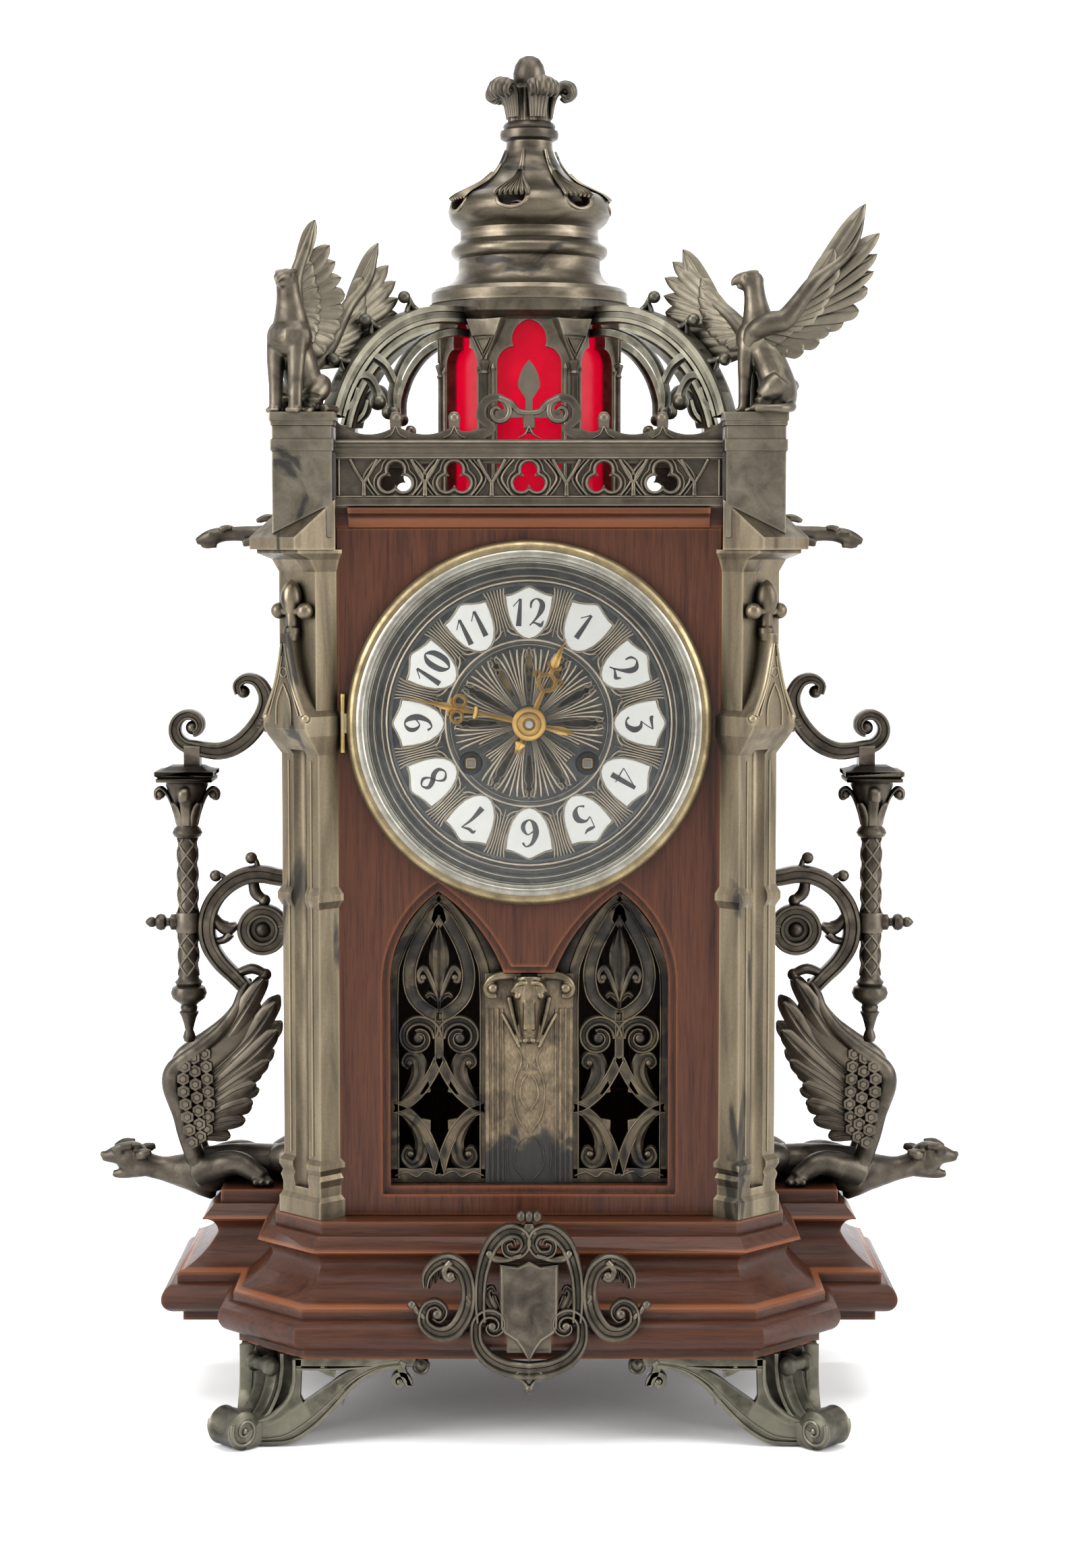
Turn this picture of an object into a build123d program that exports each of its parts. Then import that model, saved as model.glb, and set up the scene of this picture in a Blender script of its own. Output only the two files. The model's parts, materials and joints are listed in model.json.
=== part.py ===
from build123d import *
import math
import os

# Neo-Gothic mantel clock in the form of a chapel. Millimetres, +Z up, the front faces -Y.
# The origin is on the floor under the middle of the case.

# Heights of the layers, from the floor up
FOOT_HEIGHT = 37.0
BASE_MOULD_HEIGHT = 21.0
CAVETTO_HEIGHT = 21.0
TOP_MOULD_HEIGHT = 11.5
PANEL_HEIGHT = 285.5
ROOF_BOARD = 8.0

# Plan of the plinth, at the widest line of its ovolo
PLINTH_MARGIN = 35.0
PLINTH_CHAMFER = 34.5
WING_LENGTH = 27.2
WING_HALF_DEPTH = 48.5

# Insets of the plinth mouldings from that line
FILLET_INSET = 8.5
STEP_INSET = 6.3
HOLLOW_INSET = 22.3
NOSING_INSET = 16.0
SLOPE_INSET = 21.0
TOP_INSET = 23.5

# Case
CASE_HALF_DEPTH = 75.5
CASE_CHAMFER = 16.0
PANEL_MARGIN = 4.0
PANEL_HEAD = 5.0
BOARD = 10.0
CORNICE_REACH = 5.0
WINDOW_HALF_WIDTH = 57.75
WINDOW_SILL = 12.0
LANCET_RISE = 37.0
APEX_LAP = 5.0
LANCET_AXIS = 37.6
TONGUE_HALF_WIDTH = 10.6
TONGUE_RISE = 3.0
WINDOW_BEVEL = 3.0
GRILLE_LAP = 3.5
GRILLE_THICK = 2.4
MASK_HALF_WIDTH = 17.4
MASK_THICK = 4.0

# Rear door
DOOR_HALF_WIDTH = 52.0
DOOR_SILL = 22.0
DOOR_HEAD = 27.5
DOOR_THICK = 6.0
DOOR_GAP = 0.3
DOOR_OVERLAP = 6.0
PIVOT_RADIUS = 1.5
PIVOT_DEPTH = 6.0
RUNNING_GAP = 0.05
KNOB_RADIUS = 4.5

# Diagonal buttresses: half widths, and how far each face stands out from the case's chamfer
BUTTRESS_BASE_HALF = 13.0
BUTTRESS_HALF = 11.6
BUTTRESS_PROUD = 10.35
BASE_SWELL = 1.6
GABLET_HALF = 13.0
GABLET_PROUD = 18.75
UPPER_HALF = 11.4
UPPER_PROUD = 11.35
EAVE_HALF = 14.0
EAVE_PROUD = 24.75
FLUTE_RADIUS = 4.4
BASE_MOULDS = 24.5
STRING_COURSE = 129.0
STRING_HEIGHT = 9.0
CAPITAL_DROP = 93.0
CAPITAL_HEIGHT = 16.0
GABLE_RISE = 34.0
EAVE_DROP = 12.0
EAVE_THICK = 5.0
ROOF_RISE = 15.5
ROOF_RUN = 22.0

# Corner pedestals
PEDESTAL_HALF = 12.2
PEDESTAL_CAP_HALF = 13.3
PEDESTAL_INSET_X = 2.8
PEDESTAL_INSET_Y = 4.8
PEDESTAL_HEIGHT = 38.7
PEDESTAL_CAP = 3.5
PEDESTAL_BAND_LOW = 23.0
PEDESTAL_BAND_HIGH = 27.7
GRYPHON_SHIFT = 2.5

# Gallery
GALLERY_PROUD = 0.5
GALLERY_THICK = 4.0
RAIL_PROUD = 1.0
LOW_RAIL = 5.0
FRIEZE = 14.7
TOP_RAIL = 8.0
CREST_DIP = 2.2
CREST_BALL = 2.5
CREST_TOP = 39.0
SPEAR_TOP = 60.0
TREFOIL_NEAR = 30.5
TREFOIL_FAR = 54.5
TREFOIL_SIDE = 27.0
CREST_NEAR = 30.5
CREST_FAR = 54.1
TREFOIL_LOBE = 3.1
TREFOIL_REACH = 3.7

# Lantern and dome
LANTERN_RADIUS = 38.5
LANTERN_WALL = 4.6
LANTERN_HEIGHT = 88.0
LANTERN_SILL = 6.0
LANTERN_OPENING = 27.0
LANTERN_SPRING = 60.0
LANTERN_APEX = 79.5
LANTERN_CORNICE = 8.0
LANTERN_CORNICE_RADIUS = 43.0
GLASS_WALL = 2.4
GLASS_GAP = 0.3
GLASS_HEIGHT = 82.0
DOME_RIM = 42.2
DOME_SPIGOT = 3.0
DOME_HEIGHT = 69.0
DOME_COLLAR = 30.5
DOME_RING = 33.8
DOME_BULGE = 34.8
DOME_NECK = 10.0
DOME_WALL = 3.0
DOME_SEAM = 29.0
DOME_EYES = 7
DOME_EYE_TURN = -13.0
DOME_EYE_LEVEL = 42.6
DOME_EYE_HALF = 6.0
DOME_EYE_RISE = 4.4
DOME_EYE_DROP = 4.6
FINIAL_HEIGHT = 36.5
FINIAL_COLLAR = 12.7
FINIAL_STEM = 8.6
FINIAL_LEAF = 20.8
FINIAL_BUD = 6.8

# Flying buttresses, in the upright plane through the clock's axis
FLYER_SETBACK = 71.2
FLYER_RADIUS = 61.8
FLYER_TOP = 85.5
FLYER_BAND = 7.5
FLYER_THICK = 9.0
FLYER_DROP = 3.4
CROCKET_BALL = 2.7
CROCKET_STEM = 1.5
CROCKET_RISE = 4.2

# Side ornaments, all in the upright plane y = 0
TORCH_OUT = 54.6
TORCH_FOOT = 60.0
TORCH_HEIGHT = 122.5
TORCH_SHAFT = 4.4
TORCH_ABACUS = 12.8
SCROLL_OUT = 27.8
SCROLL_RISE = 116.5
SCROLL_RADIUS = 24.5
SCROLL_BAND = 6.5
SCROLL_THICK = 9.0
EYE_RADIUS = 10.0
ARM_RISE = 199.5
ARM_VOLUTE = 9.5
GARGOYLE_OUT = 94.0
SPOUT_DROP = 3.5
SPOUT_OUT = 49.5

# Feet
FOOT_WIDTH = 15.0
FOOT_OUT = 20.35
FOOT_SCROLL = 8.3
FOOT_BAND = 9.5
BRACKET_THICK = 5.0
BRACKET_SETBACK = 6.0
BRACKET_LENGTH = 62.0

# Cartouche
CARTOUCHE_GAP = 0.1
CARTOUCHE_PROUD = 2.4
CARTOUCHE_HEIGHT = 77.0
CARTOUCHE_DROP = 11.0
SHIELD_HALF_WIDTH = 11.8

# Dial, bezel and hands. Forward distances count from the front board's face.
BEZEL_RADIUS = 75.0
DIAL_HOLE_INSET = 15.0
DIAL_INSET = 7.0
DIAL_THICK = 1.6
PLAQUE_THICK = 1.2
PLAQUE_INSET = 19.3
PLAQUE_LENGTH = 20.6
PLAQUE_HALF = 9.4
HOURS = 12
BEZEL_RIM = 4.2
BEZEL_GAP = 0.3
BEZEL_DEPTH = 5.6
SLOPE_WIDTH = 12.2
GLASS_INSET = 8.8
GLASS_THICK = 1.5
GLASS_CROWN = 8.0
HINGE_OUT = 1.4
HINGE_FORWARD = 2.1
KNUCKLE_RADIUS = 1.2
HINGE_PIN = 0.6
KNUCKLE_LENGTH = 8.0
WINDING_X = 24.0
WINDING_DROP = 16.5
WINDING_HOLE = 5.0
WINDING_SQUARE = 4.0
HAND_THICK = 0.8
HOUR_HAND_LAP = 2.7
MINUTE_HAND_SHORT = 3.7
HOUR_ANGLE = 23.5
MINUTE_ANGLE = 282.0

# Movement
ARBOR_RADIUS = 1.5
PIPE_RADIUS = 3.0
PINION_TEETH = 12
MINUTE_WHEEL_TEETH = 36
MINUTE_PINION_TEETH = 10
HOUR_WHEEL_TEETH = 40
MOTION_CENTRES = 18.0
PLATE_RADIUS = 64.0
PLATE_THICK = 2.5
PLATE_SPACE = 33.0
PILLAR_RADIUS = 3.5
BARREL_RADIUS = 20.0
BARREL_LENGTH = 27.0
STUD_RADIUS = 1.2
PENDULUM_LENGTH = 168.0
PENDULUM_BOB = 20.0
BOB_CROWN = 6.0
BELL_RADIUS = 28.0
BELL_DEPTH = 15.0
BELL_WALL = 1.6

# Levels and plan sizes that follow
Z_BASE = FOOT_HEIGHT
Z_CAVETTO = Z_BASE + BASE_MOULD_HEIGHT
Z_TOP_MOULD = Z_CAVETTO + CAVETTO_HEIGHT
Z_FLOOR = Z_TOP_MOULD + TOP_MOULD_HEIGHT
Z_PANEL_TOP = Z_FLOOR + PANEL_HEIGHT
Z_ROOF = Z_PANEL_TOP + ROOF_BOARD
DIAL_HEIGHT = PANEL_HEIGHT - PANEL_HEAD - BEZEL_RADIUS
Z_DIAL = Z_FLOOR + DIAL_HEIGHT
Z_DOME = Z_ROOF + LANTERN_HEIGHT
WINDOW_APEX = DIAL_HEIGHT - BEZEL_RADIUS + APEX_LAP
WINDOW_SPRING = WINDOW_APEX - LANCET_RISE
TONGUE_END = WINDOW_SPRING + TONGUE_RISE
DOOR_HEIGHT = PANEL_HEIGHT - DOOR_SILL - DOOR_HEAD
SPOUT_RISE = PANEL_HEIGHT - SPOUT_DROP
CAPITAL = PANEL_HEIGHT - CAPITAL_DROP
CASE_HALF_WIDTH = BEZEL_RADIUS + PANEL_MARGIN + CASE_CHAMFER
PLAN_SKEW = CASE_HALF_WIDTH - CASE_HALF_DEPTH
PLINTH_HALF_WIDTH = CASE_HALF_WIDTH + PLINTH_MARGIN
PLINTH_HALF_DEPTH = CASE_HALF_DEPTH + PLINTH_MARGIN
WING_REACH = PLINTH_HALF_WIDTH + WING_LENGTH
CASE_EDGE_X = CASE_HALF_WIDTH - CASE_CHAMFER
CASE_EDGE_Y = CASE_HALF_DEPTH - CASE_CHAMFER
ROOT2 = math.sqrt(2.0)
CASE_DIAGONAL = (CASE_HALF_WIDTH + CASE_HALF_DEPTH - CASE_CHAMFER) / ROOT2
CHAMFER_HALF = CASE_CHAMFER / ROOT2
PLINTH_DIAGONAL = (PLINTH_HALF_WIDTH + PLINTH_HALF_DEPTH - PLINTH_CHAMFER) / ROOT2
BUTTRESS_FACE = CASE_DIAGONAL + BUTTRESS_PROUD
GABLET_FACE = CASE_DIAGONAL + GABLET_PROUD
UPPER_FACE = CASE_DIAGONAL + UPPER_PROUD
EAVE_FACE = CASE_DIAGONAL + EAVE_PROUD
PEDESTAL_X = CASE_HALF_WIDTH - PEDESTAL_INSET_X
PEDESTAL_Y = CASE_HALF_DEPTH - PEDESTAL_INSET_Y
GALLERY_FACE = CASE_HALF_DEPTH + GALLERY_PROUD
FLYER_CENTRE = math.hypot(PEDESTAL_X, PEDESTAL_Y) - FLYER_SETBACK
TORCH_X = CASE_HALF_WIDTH + TORCH_OUT
SCROLL_X = CASE_HALF_WIDTH + SCROLL_OUT
GARGOYLE_REACH = CASE_HALF_WIDTH + GARGOYLE_OUT
SPOUT_REACH = CASE_HALF_WIDTH + SPOUT_OUT
FOOT_REACH = PLINTH_DIAGONAL + FOOT_OUT
DIAL_HOLE = BEZEL_RADIUS - DIAL_HOLE_INSET
DIAL_RADIUS = BEZEL_RADIUS - DIAL_INSET
SLOPE_INNER = BEZEL_RADIUS - SLOPE_WIDTH
GLASS_SEAT = BEZEL_RADIUS - GLASS_INSET
HINGE_X = BEZEL_RADIUS + HINGE_OUT
PLAQUE_OUTER = BEZEL_RADIUS - PLAQUE_INSET
PLAQUE_INNER = PLAQUE_OUTER - PLAQUE_LENGTH
HOUR_HAND = PLAQUE_INNER + HOUR_HAND_LAP
MINUTE_HAND = PLAQUE_OUTER - MINUTE_HAND_SHORT
LANTERN_APOTHEM = LANTERN_RADIUS * math.cos(math.pi / 6)
MOTION_MODULE_A = 2 * MOTION_CENTRES / (PINION_TEETH + MINUTE_WHEEL_TEETH)
MOTION_MODULE_B = 2 * MOTION_CENTRES / (MINUTE_PINION_TEETH + HOUR_WHEEL_TEETH)

# Moulding profiles: inset and height, an arc has its middle point first
BASE_PROFILE = [
    (FILLET_INSET, 0.0),
    (FILLET_INSET, 4.5),
    (FILLET_INSET - 1.0, 4.5),
    (0.0, 10.2, STEP_INSET - 0.3, BASE_MOULD_HEIGHT - 4.0),
    (STEP_INSET, BASE_MOULD_HEIGHT - 4.0),
    (STEP_INSET, BASE_MOULD_HEIGHT),
]
CAVETTO_PROFILE = [
    (STEP_INSET, 0.0),
    (15.2, 0.25 * CAVETTO_HEIGHT, HOLLOW_INSET, 0.68 * CAVETTO_HEIGHT),
    (HOLLOW_INSET - 1.5, 0.88 * CAVETTO_HEIGHT, NOSING_INSET, CAVETTO_HEIGHT),
]
TOP_PROFILE = [
    (NOSING_INSET, 0.0),
    (SLOPE_INSET, 0.52 * TOP_MOULD_HEIGHT),
    (TOP_INSET, 0.52 * TOP_MOULD_HEIGHT),
    (TOP_INSET, TOP_MOULD_HEIGHT),
]


def box(x0, x1, y0, y1, z0, z1):
    """Block between two corners."""
    middle = ((x0 + x1) / 2, (y0 + y1) / 2, (z0 + z1) / 2)
    return Pos(*middle) * Box(x1 - x0, y1 - y0, z1 - z0)


def outline(start, *steps):
    """Closed face. A step (x, y) is a line, a step (xm, ym, x, y) an arc through its first point."""
    edges = []
    here = start
    for step in steps:
        there = step[-2:]
        if len(step) == 4:
            edges.append(ThreePointArc(here, step[:2], there))
        else:
            edges.append(Line(here, there))
        here = there
    if math.dist(here, start) > 1e-6:
        edges.append(Line(here, start))
    return make_face(edges)


def ribbon(path, widths):
    """Flat band with a smooth centre line and a width at each of its points."""
    left = []
    right = []
    for index, (x, y) in enumerate(path):
        before = path[max(index - 1, 0)]
        after = path[min(index + 1, len(path) - 1)]
        length = math.dist(before, after)
        normal = (-(after[1] - before[1]) / length, (after[0] - before[0]) / length)
        half = widths[index] / 2
        left.append((x + normal[0] * half, y + normal[1] * half))
        right.append((x - normal[0] * half, y - normal[1] * half))
    right.reverse()
    return make_face([Spline(*left), Line(left[-1], right[0]), Spline(*right), Line(right[-1], left[0])])


def spiral(centre, radius_from, radius_to, angle_from, angle_to, steps):
    """Points of a spiral, angles in degrees."""
    points = []
    for step in range(steps + 1):
        share = step / steps
        radius = radius_from + (radius_to - radius_from) * share
        angle = math.radians(angle_from + (angle_to - angle_from) * share)
        points.append((centre[0] + radius * math.cos(angle), centre[1] + radius * math.sin(angle)))
    return points


def taper(first, last, count):
    """Evenly changing widths."""
    return [first + (last - first) * index / (count - 1) for index in range(count)]


def front_slab(face, y_front, y_back):
    """A face drawn in x and z, as thick as the two y values say."""
    plane = Plane(origin=(0, y_back, 0), x_dir=(1, 0, 0), z_dir=(0, -1, 0))
    return extrude(plane * face, amount=y_back - y_front)


def upright(face, z0, z1):
    """A face drawn in plan, raised from one level to another."""
    return extrude(Pos(0, 0, z0) * face, amount=z1 - z0)


def turned(face):
    """A face drawn in radius and height, turned about the Z axis."""
    return revolve(Plane.XZ * face, axis=Axis.Z)


def limb(points, radii, across=(0, 1, 0)):
    """Smooth tapering limb through round sections."""
    sections = []
    for index, point in enumerate(points):
        before = Vector(*points[max(index - 1, 0)])
        after = Vector(*points[min(index + 1, len(points) - 1)])
        plane = Plane(origin=point, x_dir=across, z_dir=after - before)
        sections.append(plane * Circle(radii[index]))
    return loft(sections)


def cap_height(edge, crown, r):
    """Height of a ball's cap at radius r, when it rises by crown over a circle of radius edge."""
    ball = (edge * edge + crown * crown) / (2 * crown)
    return math.sqrt(ball * ball - r * r) - (ball - crown)


def flip_x(shape):
    return mirror(shape, about=Plane.YZ)


def flip_y(shape):
    return mirror(shape, about=Plane.XZ)


def join(pieces):
    """One solid from pieces that touch or overlap."""
    whole = pieces[0]
    for piece in pieces[1:]:
        whole = whole + piece
    return whole


def profile_face(half_span, profile, z0):
    """Cross section of a moulded block, the same moulding on its left and right."""
    edges = []
    here = (half_span - profile[0][0], z0 + profile[0][1])
    first = here
    for step in profile[1:]:
        there = (half_span - step[-2], z0 + step[-1])
        if len(step) == 4:
            edges.append(ThreePointArc(here, (half_span - step[0], z0 + step[1]), there))
        else:
            edges.append(Line(here, there))
        here = there
    mirrored = [edge.mirror(Plane.YZ) for edge in edges]
    closing = [Line(here, (-here[0], here[1])), Line(first, (-first[0], first[1]))]
    return make_face(edges + mirrored + closing)


def moulded_prism(half_span, profile, z0, turn):
    """Endless moulded block, turned about Z by an angle in degrees."""
    reach = 2 * WING_REACH
    face = Plane.XZ * profile_face(half_span, profile, z0)
    return Rot(0, 0, turn) * extrude(face, amount=reach, both=True)


def plinth_layer(profile, z0):
    """Chamfered block with mitred mouldings, crossed by the block of the two side wings."""
    body = moulded_prism(PLINTH_HALF_WIDTH, profile, z0, 0)
    body = body & moulded_prism(PLINTH_HALF_DEPTH, profile, z0, 90)
    for turn in (45, -45):
        body = body & moulded_prism(PLINTH_DIAGONAL, profile, z0, turn)
    wings = moulded_prism(WING_REACH, profile, z0, 0) & moulded_prism(WING_HALF_DEPTH, profile, z0, 90)
    return body + wings


def lancet(widen):
    """Twin lancet window, wider by a margin all round, heights from the case floor."""
    half = WINDOW_HALF_WIDTH + widen
    tongue = TONGUE_HALF_WIDTH - widen
    sill = Z_FLOOR + WINDOW_SILL - widen
    spring = Z_FLOOR + WINDOW_SPRING
    apex = Z_FLOOR + WINDOW_APEX + 1.4 * widen
    end = Z_FLOOR + TONGUE_END + widen
    rise = apex - spring
    outer = (-(LANCET_AXIS + 0.72 * (half - LANCET_AXIS)), spring + 0.56 * rise)
    inner = (-(LANCET_AXIS - 0.58 * (LANCET_AXIS - tongue)), spring + 0.62 * rise)
    return outline(
        (-half, sill),
        (-half, spring),
        (*outer, -LANCET_AXIS, apex),
        (*inner, -tongue, end),
        (tongue, end),
        (-inner[0], inner[1], LANCET_AXIS, apex),
        (-outer[0], outer[1], half, spring),
        (half, sill),
    )


def front_panel():
    """Front board with the dial hole and the bevelled window."""
    board = box(-CASE_EDGE_X, CASE_EDGE_X, -CASE_HALF_DEPTH, BOARD - CASE_HALF_DEPTH, Z_FLOOR, Z_PANEL_TOP)
    back = BOARD - CASE_HALF_DEPTH
    board -= front_slab(lancet(0), -CASE_HALF_DEPTH, back)
    board -= front_slab(lancet(WINDOW_BEVEL), -CASE_HALF_DEPTH, WINDOW_BEVEL - CASE_HALF_DEPTH)
    hole = Pos(0, back, Z_DIAL) * Rot(90, 0, 0) * Cylinder(DIAL_HOLE, 4 * BOARD)
    return board - hole


def case_side():
    """Right wall with its two chamfered corners."""
    inner = CASE_HALF_WIDTH - BOARD
    depth = CASE_HALF_DEPTH - BOARD
    face = outline(
        (CASE_EDGE_X, -CASE_HALF_DEPTH),
        (CASE_HALF_WIDTH, -CASE_EDGE_Y),
        (CASE_HALF_WIDTH, CASE_EDGE_Y),
        (CASE_EDGE_X, CASE_HALF_DEPTH),
        (CASE_EDGE_X, depth),
        (inner, CASE_EDGE_Y - 2),
        (inner, 2 - CASE_EDGE_Y),
        (CASE_EDGE_X, -depth),
    )
    return upright(face, Z_FLOOR, Z_PANEL_TOP)


def case_outline():
    """Plan of the case with its chamfered corners."""
    return outline(
        (CASE_EDGE_X, -CASE_HALF_DEPTH),
        (CASE_HALF_WIDTH, -CASE_EDGE_Y),
        (CASE_HALF_WIDTH, CASE_EDGE_Y),
        (CASE_EDGE_X, CASE_HALF_DEPTH),
        (-CASE_EDGE_X, CASE_HALF_DEPTH),
        (-CASE_HALF_WIDTH, CASE_EDGE_Y),
        (-CASE_HALF_WIDTH, -CASE_EDGE_Y),
        (-CASE_EDGE_X, -CASE_HALF_DEPTH),
    )


def case_back_frame():
    """Rear frame round the door opening."""
    board = box(-CASE_EDGE_X, CASE_EDGE_X, CASE_HALF_DEPTH - BOARD, CASE_HALF_DEPTH, Z_FLOOR, Z_PANEL_TOP)
    half = DOOR_HALF_WIDTH - DOOR_OVERLAP
    low = Z_FLOOR + DOOR_SILL + DOOR_OVERLAP
    high = Z_FLOOR + DOOR_SILL + DOOR_HEIGHT - DOOR_OVERLAP
    return board - box(-half, half, 0, 2 * CASE_HALF_DEPTH, low, high)


def door_axis_y():
    return CASE_HALF_DEPTH + DOOR_GAP + DOOR_THICK / 2


def back_door():
    """Overlay door with a round hinge edge, bored for its two pivots and its knob."""
    low = Z_FLOOR + DOOR_SILL
    high = low + DOOR_HEIGHT
    y0 = CASE_HALF_DEPTH + DOOR_GAP
    door = box(-DOOR_HALF_WIDTH, DOOR_HALF_WIDTH, y0, y0 + DOOR_THICK, low, high)
    edge = Pos(DOOR_HALF_WIDTH, door_axis_y(), (low + high) / 2) * Cylinder(DOOR_THICK / 2, DOOR_HEIGHT)
    door += edge
    for level in (low, high):
        bore = Cylinder(PIVOT_RADIUS + RUNNING_GAP, 2 * (PIVOT_DEPTH + DOOR_GAP))
        door -= Pos(DOOR_HALF_WIDTH, door_axis_y(), level) * bore
    return door


def back_door_pivots():
    """Two brass brackets on the rear frame, each with a pin that enters the door."""
    pieces = []
    low = Z_FLOOR + DOOR_SILL
    for level, way in ((low, -1), (low + DOOR_HEIGHT, 1)):
        near = level + way * DOOR_GAP
        far = near + way * 2.0
        plate_x = (DOOR_HALF_WIDTH - 4, DOOR_HALF_WIDTH + 4)
        shelf = box(*plate_x, CASE_HALF_DEPTH, door_axis_y() + 3.0, min(near, far), max(near, far))
        leaf_end = near + way * 14.0
        leaf = box(*plate_x, CASE_HALF_DEPTH, CASE_HALF_DEPTH + 1.5, min(near, leaf_end), max(near, leaf_end))
        tip = level - way * PIVOT_DEPTH
        pin = Pos(DOOR_HALF_WIDTH, door_axis_y(), (tip + far) / 2) * Cylinder(PIVOT_RADIUS, abs(far - tip))
        pieces.append(shelf + leaf + pin)
    return pieces


def back_door_knob():
    """Small turned knob near the free edge of the door."""
    y0 = CASE_HALF_DEPTH + DOOR_GAP + DOOR_THICK
    face = outline(
        (0, 0),
        (0.6 * KNOB_RADIUS, 0),
        (0.45 * KNOB_RADIUS, 4),
        (KNOB_RADIUS, 7.5, 0.4 * KNOB_RADIUS, 11.5),
        (0, 11.5),
    )
    place = Pos(8 - DOOR_HALF_WIDTH, y0, Z_FLOOR + DOOR_SILL + DOOR_HEIGHT / 2)
    return place * Rot(-90, 0, 0) * turned(face)


def case_cornice():
    """Moulded strip along the front edge of the roof board, and its twin at the rear."""
    top = Z_ROOF
    low = Z_PANEL_TOP
    face = outline(
        (-CASE_HALF_DEPTH, low),
        (-CASE_HALF_DEPTH, top),
        (-CASE_HALF_DEPTH - CORNICE_REACH, top),
        (-CASE_HALF_DEPTH - CORNICE_REACH, top - 2.4),
        (-CASE_HALF_DEPTH - CORNICE_REACH + 1.2, top - 2.4),
        (-CASE_HALF_DEPTH - 1.6, top - 4.0, -CASE_HALF_DEPTH - 0.8, low),
    )
    half = CASE_EDGE_X - CORNICE_REACH
    strip = extrude(Plane.YZ * face, amount=half, both=True)
    return [strip, flip_y(strip)]


def diagonal_plane(z):
    """Plane of the buttress sections in the corner +X +Y: x across, y outward along the diagonal."""
    middle = PLAN_SKEW / 2
    return Plane(origin=(middle, -middle, z), x_dir=(1 / ROOT2, -1 / ROOT2, 0), z_dir=(0, 0, 1))


def buttress_section(half, face, z):
    """Plan of a buttress: its back follows the chamfered case corner."""
    back = CASE_DIAGONAL - (half - CHAMFER_HALF)
    points = [
        (-CHAMFER_HALF, CASE_DIAGONAL),
        (CHAMFER_HALF, CASE_DIAGONAL),
        (half, back),
        (half, face),
        (-half, face),
        (-half, back),
    ]
    return diagonal_plane(z) * make_face(Polyline(*points, close=True))


def buttress_stack(levels):
    """Straight or tapering blocks through sections (height, half width, outer face)."""
    blocks = []
    for low, high in zip(levels, levels[1:]):
        if high[0] > low[0]:
            sections = [buttress_section(*level[1:], level[0]) for level in (low, high)]
            blocks.append(loft(sections, ruled=True))
    return join(blocks)


def buttress_roof():
    """Lean-to roof with its eave, sloping outward along the diagonal."""
    eave = Z_ROOF - EAVE_DROP
    inner = EAVE_FACE - ROOF_RUN
    face = outline(
        (inner, eave - EAVE_THICK),
        (EAVE_FACE, eave - EAVE_THICK),
        (EAVE_FACE, eave),
        (inner, eave + ROOF_RISE),
    )
    base = diagonal_plane(0)
    across = Plane(origin=base.origin, x_dir=base.y_dir, z_dir=base.x_dir)
    return extrude(across * face, amount=EAVE_HALF, both=True)


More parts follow.
